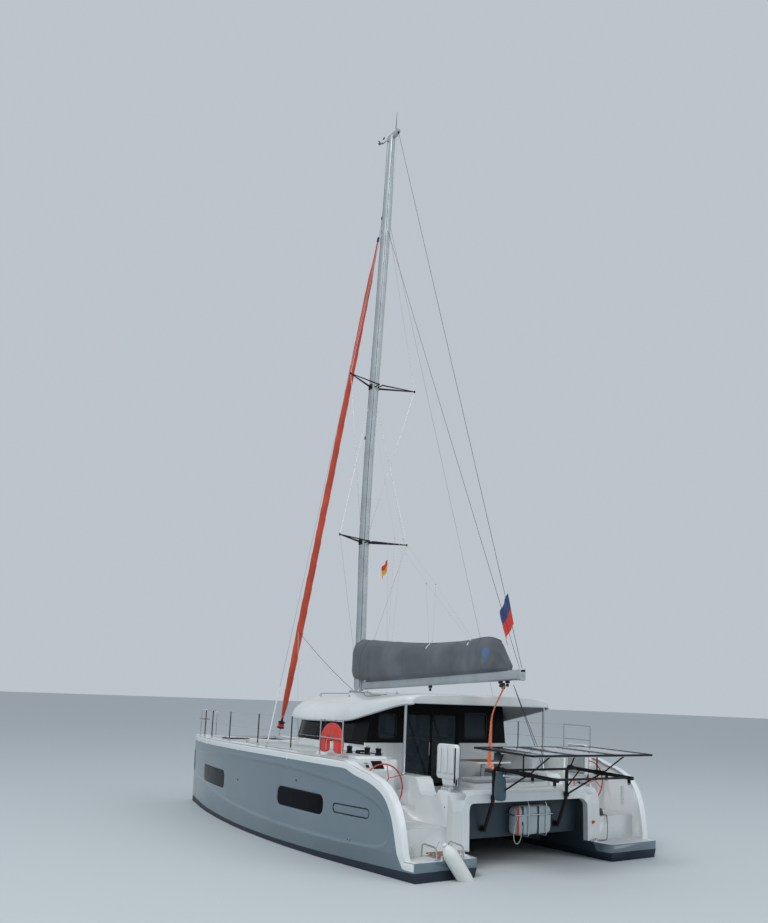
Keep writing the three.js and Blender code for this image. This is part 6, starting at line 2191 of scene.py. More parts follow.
    def cloth(self, x: Array, height: Array, side: float, out: float) -> Array:
        """Points on one side of the bag.

        Args:
            x: where they are along the boom.
            height: shares of the bag's height, in the same shape.
            side: +1 for port, -1 for starboard.
            out: how far off the cloth they stand.

        Returns:
            The points.
        """
        low, top = self.line(1, x), self.line(2, x)
        return np.stack([x, (self.side(x, height) + out) * side, low + (top - low) * height], -1)

    def trim(self) -> bpy.types.Object:
        """White webbing tabs on the sides, the zip along the top, seams and the round badge, left bare."""
        skin = Skin()
        for x in self.tab_places:
            for s in (1, -1):
                h, across = np.meshgrid(np.linspace(0.84, 1.0, 8),
                                        np.linspace(-0.022, 0.022, 3), indexing="ij")
                tab = self.cloth(x + across, h, s, 0.004)
                tab[..., 2] += 0.012 * (h > 0.98)
                skin.grid(tab, 0, flip=s < 0)
        for x in (-3.72, -2.9, -1.2, 0.25):
            h = np.linspace(0.02, 0.99, 50)
            for s in (1, -1):
                skin.tube(self.cloth(x + 0.05 * (h - 0.5), h, s, 0.001), 0.003, 6, 1)
        x = np.linspace(-4.3, 0.42, 120)
        skin.tube(lattice(x, 0, self.line(2, x) + 0.004), 0.011, 8, 1)
        angle = circle(28)
        radius = np.linspace(0.004, 0.105, 7)[:, None]
        badge = self.cloth(-4.0 + radius * np.cos(angle), 0.56 + radius * np.sin(angle) / 0.7, 1, 0.003)
        skin.grid(badge, 2, round_v=True, flip=True)
        finishes = [Finishes.LINING, Finishes.CANVAS, Finishes.BADGE]
        return dress(skin.object("bag_trim", finishes, 60), "boom", "sailcloth")


@dataclass
class Boom:
    """The boom with its end casting, sheet blocks, and the lines that leave it."""

    root: tuple[float, float] = (0.69, 3.15)
    end: tuple[float, float] = (-4.93, 3.4)
    depth: float = 0.2
    width: float = 0.13

    def build(self) -> list[bpy.types.Object]:
        """Builds the boom and its lines.

        Returns:
            The finished pieces.
        """
        return [self.spar(), self.lift(), self.mainsheet()]

    def spar(self) -> bpy.types.Object:
        """A rounded box section swept from root to end, with a groove along each side."""
        skin = Skin()
        section = rounded_outline((-self.width / 2, -self.depth / 2),
                                  (self.width / 2, self.depth / 2), 0.045, 7)
        groove = 0.004 * np.exp(-(((section[:, 1] - 0.03) / 0.008) ** 2))
        section = section - lattice(np.sign(section[:, 0]) * groove, 0)
        x = np.linspace(-4.89, 0.63, 80)
        slope = (self.root[1] - self.end[1]) / (self.root[0] - self.end[0])
        z = self.end[1] + (x - self.end[0]) * slope
        shape = np.stack([
            np.broadcast_to(x[:, None], (80, len(section))),
            np.broadcast_to(section[:, 0], (80, len(section))),
            z[:, None] + section[None, :, 1]], -1)
        skin.grid(shape, 0, round_v=True, caps=True)
        skin.prism(rounded_outline((-0.077, 3.285), (0.077, 3.515), 0.03), (-4.93, -4.87), "yz", 0.01, 1)
        skin.prism(rounded_outline((0.58, -0.024), (0.762, 0.024), 0.016), (3.106, 3.194), "xy", 0.004, 1)
        skin.turned([(0, 3.09), (0.027, 3.09), (0.027, 3.21), (0, 3.21)], (0.74, 0, 0), (0, 0, 1), 18, 1)
        for k in (-1, 0, 1):
            skin.sheave((-4.915, 0.035 * k, 3.47), 0.03, 0.024, 0.009, 16)
        for x in (-4.5, -4.3, -2.0):
            z0 = self.end[1] + (x - self.end[0]) * slope - self.depth / 2
            skin.box((x - 0.05, -0.02, z0 - 0.05), (x + 0.05, 0.02, z0 + 0.004), 0.008, 2)
            skin.turned([(0, -0.015), (0.032, -0.012), (0.032, 0.012), (0, 0.015)], (x, 0, z0 - 0.085),
                        (0, 1, 0), 16, 2)
        made = skin.object("boom_spar", [Finishes.SPAR, Finishes.STEEL, Finishes.BLACK], 35)
        return dress(made, "boom", "aluminium_spar", "boom")

    def lift(self) -> bpy.types.Object:
        """The topping lift from the masthead to the boom's end, and the lazy jacks from the upper mast."""
        skin = Skin()
        skin.bar((0.24, 0, 17.55), (-4.9, 0, 3.52), 0.005, 6, 0)
        skin.bar((0.52, 0.02, 14.9), (-4.86, 0.03, 3.53), 0.0045, 6, 0)
        bag = SailBag()
        for s in (1, -1):
            upper, lower = np.array([0.66, s * 0.1, 9.9]), np.array([-0.55, s * 0.12, 6.6])
            fork = np.array([-1.9, s * 0.13, 5.4])
            places = [(x, spot(partial(bag.line, 2), x) + 0.01) for x in bag.tab_places]
            skin.bar(tuple(upper), tuple(lower), 0.003, 6, 1)
            skin.bar(tuple(lower), (places[0][0], s * 0.05, places[0][1]), 0.003, 6, 1)
            skin.bar(tuple(lower), tuple(fork), 0.003, 6, 1)
            for x, z in places[1:]:
                skin.bar(tuple(fork), (x, s * 0.05, z), 0.003, 6, 1)
            for knot in (lower, fork):
                skin.turned([(0, -0.02), (0.014, 0), (0, 0.02)], tuple(knot), (0, 0, 1), 8, 1)
        made = skin.object("lifting_lines", [Finishes.BLACK_ROPE, Finishes.WHITE_ROPE])
        return lead(made)

    def mainsheet(self) -> bpy.types.Object:
        """Orange tackle falls from the boom to the aft beam, their blocks, and two black lines."""
        skin = Skin()
        low = (-4.55, 0.0, 1.47)
        high = (-4.38, 0.0, 3.18)
        waist = (-4.02, 0.0, 2.0)
        for k in range(4):
            y = 0.023 * (k - 1.5)
            falls = [(high[0] - 0.02 * k, y, high[2]), (waist[0] - 0.02 * k, y, 2.5),
                     (waist[0], y, waist[2] - 0.3),
                     (low[0] + 0.03 * k, y, low[2])]
            skin.tube(resampled(falls, 40), 0.012, 8, 0)
        for centre in (low, high):
            for k in (-1, 0, 1):
                skin.sheave((centre[0], 0.02 * k, centre[2]), 0.036, 0.03, 0.008, 18)
            skin.box((centre[0] - 0.022, -0.034, centre[2] - 0.06),
                     (centre[0] + 0.022, 0.034, centre[2] + 0.06), 0.01, 2)
        skin.box((low[0] - 0.03, -0.03, 1.325), (low[0] + 0.03, 0.03, 1.43), 0.008, 3)
        for y in (-1.5, -1.42):
            skin.bar((-4.62, -0.05, 3.2), (-4.0, y, 1.62), 0.006, 8, 1)
        made = skin.object("mainsheet",
                           [Finishes.ORANGE_ROPE, Finishes.BLACK_ROPE, Finishes.BLACK, Finishes.STEEL])
        return lead(made)


# Helm positions, deck gear and stern gear


def hoop(skin: Skin, centre: Triple, big: float, small: float, slot: int = 0, count: int = 72) -> None:
    """Adds a ring in the plane x = constant: (R + r cos v) round the centre, r sin v along x."""
    u = circle(count)
    v = circle(12)
    reach = big + small * np.cos(v)[None]
    across, up = reach * np.cos(u)[:, None], reach * np.sin(u)[:, None]
    points = lattice(centre[0] + small * np.sin(v), centre[1] + across, centre[2] + up)
    skin.grid(points, slot, round_u=True, round_v=True)


@dataclass
class Helm:
    """One steering position: console with its dash, winches, wheel and the seat folded up."""

    side: Side
    deck_z: float = 1.7712
    top_z: float = 1.82
    slope: tuple = ((-3.95, 1.59), (-3.79, 1.768))
    breadth: tuple[float, float] = (2.215, 2.88)
    winches: tuple = ((-2.9, 2.5), (-3.29, 2.35), (-3.58, 2.29))
    hub: Triple = (-4.19, 2.57, 1.3)
    rim_radius: float = 0.42
    fork_radius: float = 0.215

    def build(self) -> list[bpy.types.Object]:
        """Builds the console, wheel and seat.

        Returns:
            The finished pieces.
        """
        return [self.console(), self.wheel(), self.seat(), self.cushion()]

    def console(self) -> bpy.types.Object:
        """Slab on the deck, display and slot on the dash, three winches and a bank of clutches with lines."""
        s = self.side.value
        skin = Skin()
        ys = (self.breadth[0] * s, self.breadth[1] * s)
        outline = filleted([(-3.79, self.deck_z), (-3.742, self.top_z), (-2.33, self.top_z),
                            (-2.25, self.deck_z)], 0.02)
        skin.prism(outline, (min(ys), max(ys)), "xz", 0.012)
        (x0, z0), (x1, z1) = self.slope
        rise = np.array([x1 - x0, z1 - z0]) / math.hypot(x1 - x0, z1 - z0)
        out = np.array([-rise[1], rise[0]])
        for low, high, y0, y1, lift, slot in ((0.03, 0.2, 2.38, 2.6, 0.012, 1),
                                              (0.045, 0.185, 2.395, 2.585, 0.015, 3),
                                              (0.15, 0.165, 2.68, 2.76, 0.004, 1),
                                              (0.06, 0.12, 2.68, 2.74, 0.01, 1)):
            corners = ((low, 0.001), (low, lift), (high, lift), (high, 0.001))
            face = np.array([np.array([x0, z0]) + rise * up + out * off for up, off in corners])
            skin.prism(face, tuple(sorted((y0 * s, y1 * s))), "xz", 0.002, slot)
        drum = [(0, 0), (0.062, 0), (0.062, 0.016), (0.047, 0.03), (0.04, 0.066),
                (0.045, 0.094), (0.057, 0.1),
                (0.057, 0.106), (0.05, 0.111), (0.057, 0.116), (0.056, 0.128), (0.03, 0.134)]
        cap = [(0.03, 0.134), (0.028, 0.15), (0.02, 0.158), (0.0, 0.158)]
        for x, y in self.winches:
            skin.turned([*drum, (0, 0.134)], (x, y * s, self.top_z - 0.001), sides=32, slot=1)
            skin.turned([(0, 0.13), *cap], (x, y * s, self.top_z - 0.001), sides=24, slot=2)
            for k in range(18):
                turn = k * math.tau / 18
                foot = (x + 0.046 * math.cos(turn), y * s + 0.046 * math.sin(turn), self.top_z + 0.03)
                skin.bar(foot, (foot[0], foot[1], self.top_z + 0.09), 0.003, 6, 1)
        for k in range(4):
            y = (2.28 + 0.045 * k) * s
            skin.box((-3.16, y - 0.018, self.top_z - 0.002),
                     (-3.0, y + 0.018, self.top_z + 0.055), 0.012, 1)
            skin.box((-3.14, y - 0.01, self.top_z + 0.05), (-3.02, y + 0.01, self.top_z + 0.066), 0.005, 1)
            led = [(-3.0, y, self.top_z + 0.026), (-2.5, y + 0.02 * s, self.top_z + 0.012),
                    (-2.3, 2.24 * s, self.top_z + 0.008), (-2.2, 2.2 * s, self.deck_z + 0.008)]
            skin.tube(resampled(led, 26), 0.006, 6, 4 + k % 2)
            tail = [(-3.16, y, self.top_z + 0.026), (-3.36, 2.33 * s, self.top_z + 0.04),
                    (-3.53, 2.34 * s, self.top_z + 0.07)]
            skin.tube(resampled(tail, 16), 0.006, 6, 4 + k % 2)
        x, y, z = self.hub
        skin.turned([(0, 0), (0.07, 0), (0.07, 0.02), (0.05, 0.03), (0.035, 0.07), (0, 0.07)],
                    (-3.951, y * s, z),
                    (-1, 0, 0), 28, 1)
        finishes = [Finishes.WHITE, Finishes.RUBBER, Finishes.STEEL, Finishes.FRAME, Finishes.BLACK_ROPE,
                    Finishes.WHITE_ROPE]
        made = skin.object(f"helm_console_{self.side.tag}", finishes, 35)
        return dress(made, "boat", "gelcoat_white", f"helm_pod_{self.side.tag}")

    def wheel(self) -> bpy.types.Object:
        """A rim with three forked spokes, a hub with its nut and the shaft."""
        s = self.side.value
        x, y, z = self.hub
        y *= s
        skin = Skin()
        hoop(skin, (x, y, z), self.rim_radius, 0.013)
        for k in range(3):
            aim = math.radians(124 if s > 0 else 56) + k * math.tau / 3
            knee = (x, y + self.fork_radius * math.cos(aim), z + self.fork_radius * math.sin(aim))
            skin.bar((x - 0.01, y, z), knee, np.array([0.012, 0.01, 0.009]), 10)
            for fork in (-0.42, 0.42):
                turn = aim + fork
                rim = (x, y + self.rim_radius * math.cos(turn), z + self.rim_radius * math.sin(turn))
                skin.bar(knee, rim, 0.0075, 8)
        skin.turned([(0, -0.035), (0.03, -0.03), (0.05, -0.01), (0.05, 0.02), (0.03, 0.03),
                     (0, 0.03)], (x, y, z),
                    (-1, 0, 0), 24, 1)
        skin.turned([(0, 0), (0.018, 0), (0.016, 0.02), (0, 0.024)], (x - 0.034, y, z), (-1, 0, 0), 6, 2)
        skin.bar((x + 0.02, y, z), (-3.905, y, z), 0.018, 16, 2)
        made = skin.object(f"wheel_{self.side.tag}",
                           [Finishes.RIM_RED, Finishes.ORANGE, Finishes.STEEL], 40)
        return dress(made, f"helm_wheel_{self.side.tag}", "wheel_red", f"helm_wheel_{self.side.tag}")

    def seat(self) -> bpy.types.Object:
        """The seat's shell standing on edge, its ribs, hinge straps, folded leg and stay."""
        s = self.side.value
        skin = Skin()

        def span(a: float, b: float) -> tuple[float, float]:
            """The breadths a and b on this side, in rising order."""
            return min(a * s, b * s), max(a * s, b * s)

        shell = rounded_outline((-5.06, 1.5), (-4.52, 2.105), 0.07)
        skin.prism(shell, span(1.552, 1.66), "xz", 0.022)
        foot = filleted([(-5.0, 1.55), (-4.98, 1.392), (-4.7, 1.392), (-4.66, 1.55)], 0.03)
        skin.prism(foot, span(1.57, 1.65), "xz", 0.018)
        for x0, x1 in ((-5.02, -4.88), (-4.84, -4.7), (-4.66, -4.55)):
            rib = rounded_outline((x0, 1.6), (x1, 2.04), 0.03)
            skin.prism(rib, span(1.655, 1.674), "xz", 0.012)
        y0, y1 = span(1.645, 1.753)
        for x in (-5.0, -4.86):
            skin.box((x - 0.02, y0, 1.338), (x + 0.02, y1, 1.408), 0.008, 1)
        skin.bar((-5.034, 1.745 * s, 1.348), (-4.826, 1.745 * s, 1.348), 0.0119, 14, 1)
        skin.pipe([(-5.045, 1.58 * s, 1.4), (-5.045, 1.58 * s, 2.09), (-4.7, 1.58 * s, 2.09)],
                  0.011, 1, 10, 0.05)
        y0, y1 = span(1.64, 1.66)
        skin.box((-5.058, y0, 1.45), (-5.03, y1, 2.05), 0.006, 2)
        made = skin.object(f"seat_shell_{self.side.tag}",
                           [Finishes.WHITE, Finishes.STEEL, Finishes.FRAME], 35)
        return dress(made, f"helm_seat_{self.side.tag}", "gelcoat_white", f"helm_seat_{self.side.tag}")

    def cushion(self) -> bpy.types.Object:
        """A crowned pad with piped edges on the shell's inner face: thickness falls off as a superellipse."""
        s = self.side.value
        skin = Skin()
        x, z = np.linspace(-5.045, -4.605, 36), np.linspace(1.55, 2.09, 44)
        u, w = np.meshgrid(x, z, indexing="ij")
        across = 2 * (u - x[0]) / (x[-1] - x[0]) - 1
        up = 2 * (w - z[0]) / (z[-1] - z[0]) - 1
        crown = (1 - np.abs(across) ** 6) ** 0.5 * (1 - np.abs(up) ** 6) ** 0.5
        groove = 0.006 * (np.exp(-((up - 0.02) / 0.03) ** 2) + np.exp(-((up + 0.55) / 0.03) ** 2))
        depth = 0.046 * crown - groove * crown + 0.0015 * ripple(u * 9, w * 9, waves=5)
        face = np.stack([u, (1.553 - depth) * s, w], -1)
        back = np.stack([u, np.full_like(u, 1.553) * s, w], -1)
        ring = np.concatenate([face, back[:, ::-1]], 1)
        skin.grid(ring, round_v=True, caps=True)
        border = rounded_outline((x[0] + 0.004, z[0] + 0.004), (x[-1] - 0.004, z[-1] - 0.004), 0.03)
        border = np.concatenate([border, border[:1]])
        skin.tube(lattice(border[:, 0], 1.545 * s, border[:, 1]), 0.004, 6, 1)
        made = skin.object(f"seat_pad_{self.side.tag}", [Finishes.CUSHION, Finishes.RUBBER], 60)
        dress(made, f"helm_seat_{self.side.tag}", "seat_vinyl")
        return made


@dataclass
class GuardRail:
    """One side's stanchions, wires, quarter rail and pulpit."""

    side: Side
    posts: tuple = (
        (4.9, 2.37), (4.2, 2.53), (3.4, 2.67), (2.0, 2.81), (0.1, 2.98), (-1.5, 3.015),
        (-2.9, 3.14), (-3.7, 3.14),
    )
    height: float = 0.66
    stout: float = 0.0125
    wire: float = 0.003

    def build(self) -> list[bpy.types.Object]:
        """Builds the rail.

        Returns:
            The finished pieces.
        """
        s = self.side.value
        skin = Skin()
        base = hull_line("sheer", np.array([p[0] for p in self.posts]), smooth=False)
        feet = [(x, y * s, float(z) + 0.001) for (x, y), z in zip(self.posts, base)]
        for k, (x, y, z) in enumerate(feet):
            skin.turned([(0, 0), (0.036, 0), (0.036, 0.006), (0.018, 0.014), (0.0155, 0.05),
                         (0, 0.05)], (x, y, z),
                        sides=18)
            skin.bar((x, y, z + 0.01), (x, y, z + self.height - 0.004), self.stout, 12,
                     0 if k in (0, 6, 7) else 1)
            skin.turned([(0, 0), (0.0135, 0), (0.011, 0.012), (0, 0.015)],
                        (x, y, z + self.height - 0.006), sides=12)
        for k, (a, b) in enumerate(zip(feet[:-1], feet[1:])):
            for share in (0.52, 0.985):
                stout = (k < 2 and share > 0.9) or k > 5
                rise = self.height * share
                span = np.linspace((a[0], a[1], a[2] + rise), (b[0], b[1], b[2] + rise), 12)
                if not stout:
                    span[:, 2] -= 0.012 * np.sin(np.linspace(0, math.pi, 12))
                skin.tube(span, self.stout if stout else self.wire, 10 if stout else 6)
        x, y, z = feet[0]
        inner = spot(partial(hull_line, "deck_in"), 4.9) + 0.07
        loop = [(x, y, z + 0.645), (5.35, y - 0.09 * s, z + 0.655), (5.35, (inner + 0.09) * s, z + 0.655),
                (x, inner * s, z + 0.645), (x, inner * s, z)]
        skin.pipe(loop, 0.013, 0, 12, 0.1)
        seat = filleted([(5.3, y - 0.1 * s), (5.3, (inner + 0.12) * s), (5.08, (inner + 0.1) * s),
                         (5.08, y - 0.06 * s)],
                        0.05)
        skin.prism(seat, (z + 0.4, z + 0.42), "xy", 0.005, 2)
        made = skin.object(f"rail_{self.side.tag}", [Finishes.STEEL, Finishes.BLACK, Finishes.TEAK], 40)
        return [dress(made, "boat", "stainless", f"guard_rail_{self.side.tag}")]


@dataclass
class Foredeck:
    """Nets between the bows, deck hatches and mooring cleats."""

    net_z: float = 1.648
    net_inner: float = 0.15
    net_margin: float = 0.03
    span: tuple[float, float] = (2.667, 5.008)

    def build(self) -> list[bpy.types.Object]:
        """Builds the foredeck's pieces.

        Returns:
            The finished pieces.
        """
        return [piece for side in Side for piece in (self.net(side), self.lacing(side), self.hatch(side),
                                                     self.cleats(side))]

    def edges(self, x: Array) -> Array:
        """Outer edge of a net at the places x."""
        return hull_line("deck_in", x, smooth=False) - self.net_margin

    def net(self, side: Side) -> bpy.types.Object:
        """A sheet pulled tight: z = z0 - sag sin sin, edge to edge."""
        s = side.value
        x = np.linspace(self.span[0] + self.net_margin, self.span[1] - self.net_margin, 60)
        share = np.linspace(0, 1, 44)
        inner, outer = self.net_inner, self.edges(x)
        y = inner + (outer - inner)[:, None] * share[None]
        dip = 0.006 * np.sin(share * math.pi)[None] * np.sin(np.linspace(0, math.pi, 60))[:, None]
        points = lattice(x[:, None], y * s, self.net_z - dip)
        skin = Skin().grid(points, flip=side is Side.STARBOARD, uv=lattice(x[:, None], y))
        made = skin.object(f"net_{side.tag}", [Finishes.NET], 60)
        dress(made, "boat", "netting", f"trampoline_{side.tag}")
        return made

    def lacing(self, side: Side) -> bpy.types.Object:
        """A hem tube round the net and the zigzag line that pulls it to its supports."""
        s = side.value
        skin = Skin()
        x = np.linspace(self.span[0] + self.net_margin, self.span[1] - self.net_margin, 30)
        outer = lattice(x, self.edges(x) * s, self.net_z)
        inner = lattice(x[::-1], self.net_inner * s, self.net_z)
        skin.tube(np.concatenate([outer, inner, outer[:1]]), 0.009, 8)
        steps = np.arange(76)
        along_x = self.span[0] + 0.05 + (self.span[1] - self.span[0] - 0.1) * steps / 75
        side_y = np.where(steps % 2, self.edges(along_x), self.edges(along_x) + 0.026) * s
        skin.tube(lattice(along_x, side_y, self.net_z + 0.004), 0.003, 5, 1)
        inner_y = (self.net_inner - np.where(steps % 2, 0, 0.026)) * s
        skin.tube(lattice(along_x, inner_y, self.net_z + 0.004), 0.003, 5, 1)
        made = skin.object(f"net_lacing_{side.tag}", [Finishes.RUBBER, Finishes.WHITE_ROPE])
        return dress(made, "boat", "netting")

    def hatch(self, side: Side) -> bpy.types.Object:
        """A lid of smoked acrylic in a rounded frame, with two hinges and a handle."""
        s = side.value
        skin = Skin()
        low, high = (2.66, 1.96), (3.24, 2.49)

        def turned_side(outline: Array) -> Array:
            """The outline on this side of the boat."""
            return outline * np.array([1, s])

        skin.prism(turned_side(rounded_outline(low, high, 0.07)), (1.7375, 1.7735), "xy", 0.007)
        pane = rounded_outline((low[0] + 0.035, low[1] + 0.035), (high[0] - 0.035, high[1] - 0.035), 0.05)
        skin.prism(turned_side(pane), (1.765, 1.7805), "xy", 0.004, 1)
        for y in (2.06, 2.39):
            skin.box((3.2, y * s - 0.03, 1.76), (3.241, y * s + 0.03, 1.7815), 0.006, 0)
        skin.box((2.69, 2.225 * s - 0.05, 1.774), (2.72, 2.225 * s + 0.05, 1.7815), 0.003, 2)
        made = skin.object(f"hatch_lid_{side.tag}",
                           [Finishes.FRAME, Finishes.DARK_GLASS, Finishes.RUBBER], 35)
        return dress(made, f"deck_hatch_{side.tag}", "dark_glass", f"deck_hatch_{side.tag}")

    def cleats(self, side: Side) -> bpy.types.Object:
        """Horned cleats: a bar tapered to both ends on two feet, at the bow, amidships and the platform."""
        s = side.value
        skin = Skin()
        for x, y, z, turn in ((4.55, 2.2, 1.741, 0.0), (0.9, 2.86, 1.777, 0.0), (-5.27, 1.62, 0.311, 1.2)):
            ahead = np.array([math.cos(turn), math.sin(turn) * s, 0])
            centre = np.array([x, y * s, z])
            horn = centre + np.linspace(-0.11, 0.11, 15)[:, None] * ahead[None]
            horn[:, 2] += 0.045 + 0.35 * np.linspace(-0.11, 0.11, 15) ** 2
            skin.tube(horn, 0.014 - 0.008 * np.abs(np.linspace(-1, 1, 15)) ** 2, 10)
            for k in (-0.035, 0.035):
                foot = centre + k * ahead
                skin.bar(tuple(foot), tuple(foot + np.array([0, 0, 0.045])),
                         np.array([0.02, 0.012, 0.01]), 10)
        return dress(skin.object(f"cleats_{side.tag}", [Finishes.STEEL]), "boat", "stainless")


@dataclass
class Lifebuoy:
    """The horseshoe buoy in its cover, hung on the port quarter rail."""

    centre_x: float = -3.2
    plane_y: float = 3.0635
    crown_z: float = 2.39
    foot_z: float = 1.8
    lowest_z: float = 1.816
    bend: float = 0.25
    breadth: float = 0.134
    thickness: float = 0.061
    grab_line_out: float = 0.047

    def build(self) -> list[bpy.types.Object]:
        """Builds the buoy and its trim.

        Returns:
            The finished pieces.
        """
        turn = np.linspace(-0.12, math.pi + 0.12, 70)
        top = self.crown_z - self.breadth - 0.003 - self.bend
        path = np.stack([self.centre_x - self.bend * np.cos(turn), top + self.bend * np.sin(turn)], 1)
        legs = np.linspace(0, 1, 22)[1:, None]
        left = path[0] + legs * (np.array([self.centre_x - self.bend + 0.012,
                                           self.foot_z + 0.05]) - path[0])
        right = path[-1] + legs * (np.array([self.centre_x + self.bend - 0.012,
                                             self.foot_z + 0.05]) - path[-1])
        path = np.concatenate([left[::-1], path, right])
        along_path = np.linspace(0, 1, len(path))
        tip = np.sqrt(np.clip(1 - (np.abs(2 * along_path - 1) ** 14), 0.02, 1))
        side = -normals_of(path)
        angle = circle(36)
        c, d = squarish(angle, 2 / 2.8)
        crease = 1 - 0.03 * np.sin(along_path * 60)[:, None] * np.abs(d)[None]
        wide = self.breadth * tip[:, None] * (1 + 0.015 * np.sin(along_path * 37)[:, None])
        x = path[:, :1] + side[:, :1] * wide * c[None]
        z = path[:, 1:] + side[:, 1:] * wide * c[None]
        y = self.plane_y + self.thickness * tip[:, None] * d[None] * crease
        skin = Skin().grid(lattice(x, y, np.maximum(z, self.lowest_z)), round_v=True, caps=True)
        made = skin.object("lifebuoy_cover", [Finishes.RED], 60)
        dress(made, "boat", "buoy_red", "lifebuoy")
        return [made, self.lines(path, side)]

    def lines(self, path: Array, side: Array) -> bpy.types.Object:
        """The grab line round the edge and the webbing that holds the cover to the rail."""
        skin = Skin()
        places = np.linspace(6, len(path) - 7, 40).astype(int)
        edge = path[places] + side[places] * -0.128
        front = self.plane_y + self.grab_line_out
        skin.tube(lattice(edge[:, 0], front, edge[:, 1]), 0.005, 8)
        for x in (-3.45, -3.05):
            skin.pipe([(x, 3.13, 2.36), (x, 3.155, 2.44), (x, 3.125, 2.44), (x, 3.11, 2.36)],
                      0.006, 1, 6, 0.02)
        made = skin.object("lifebuoy_lines", [Finishes.WHITE_ROPE, Finishes.BLACK_ROPE])
        return dress(made, "boat", "buoy_red")


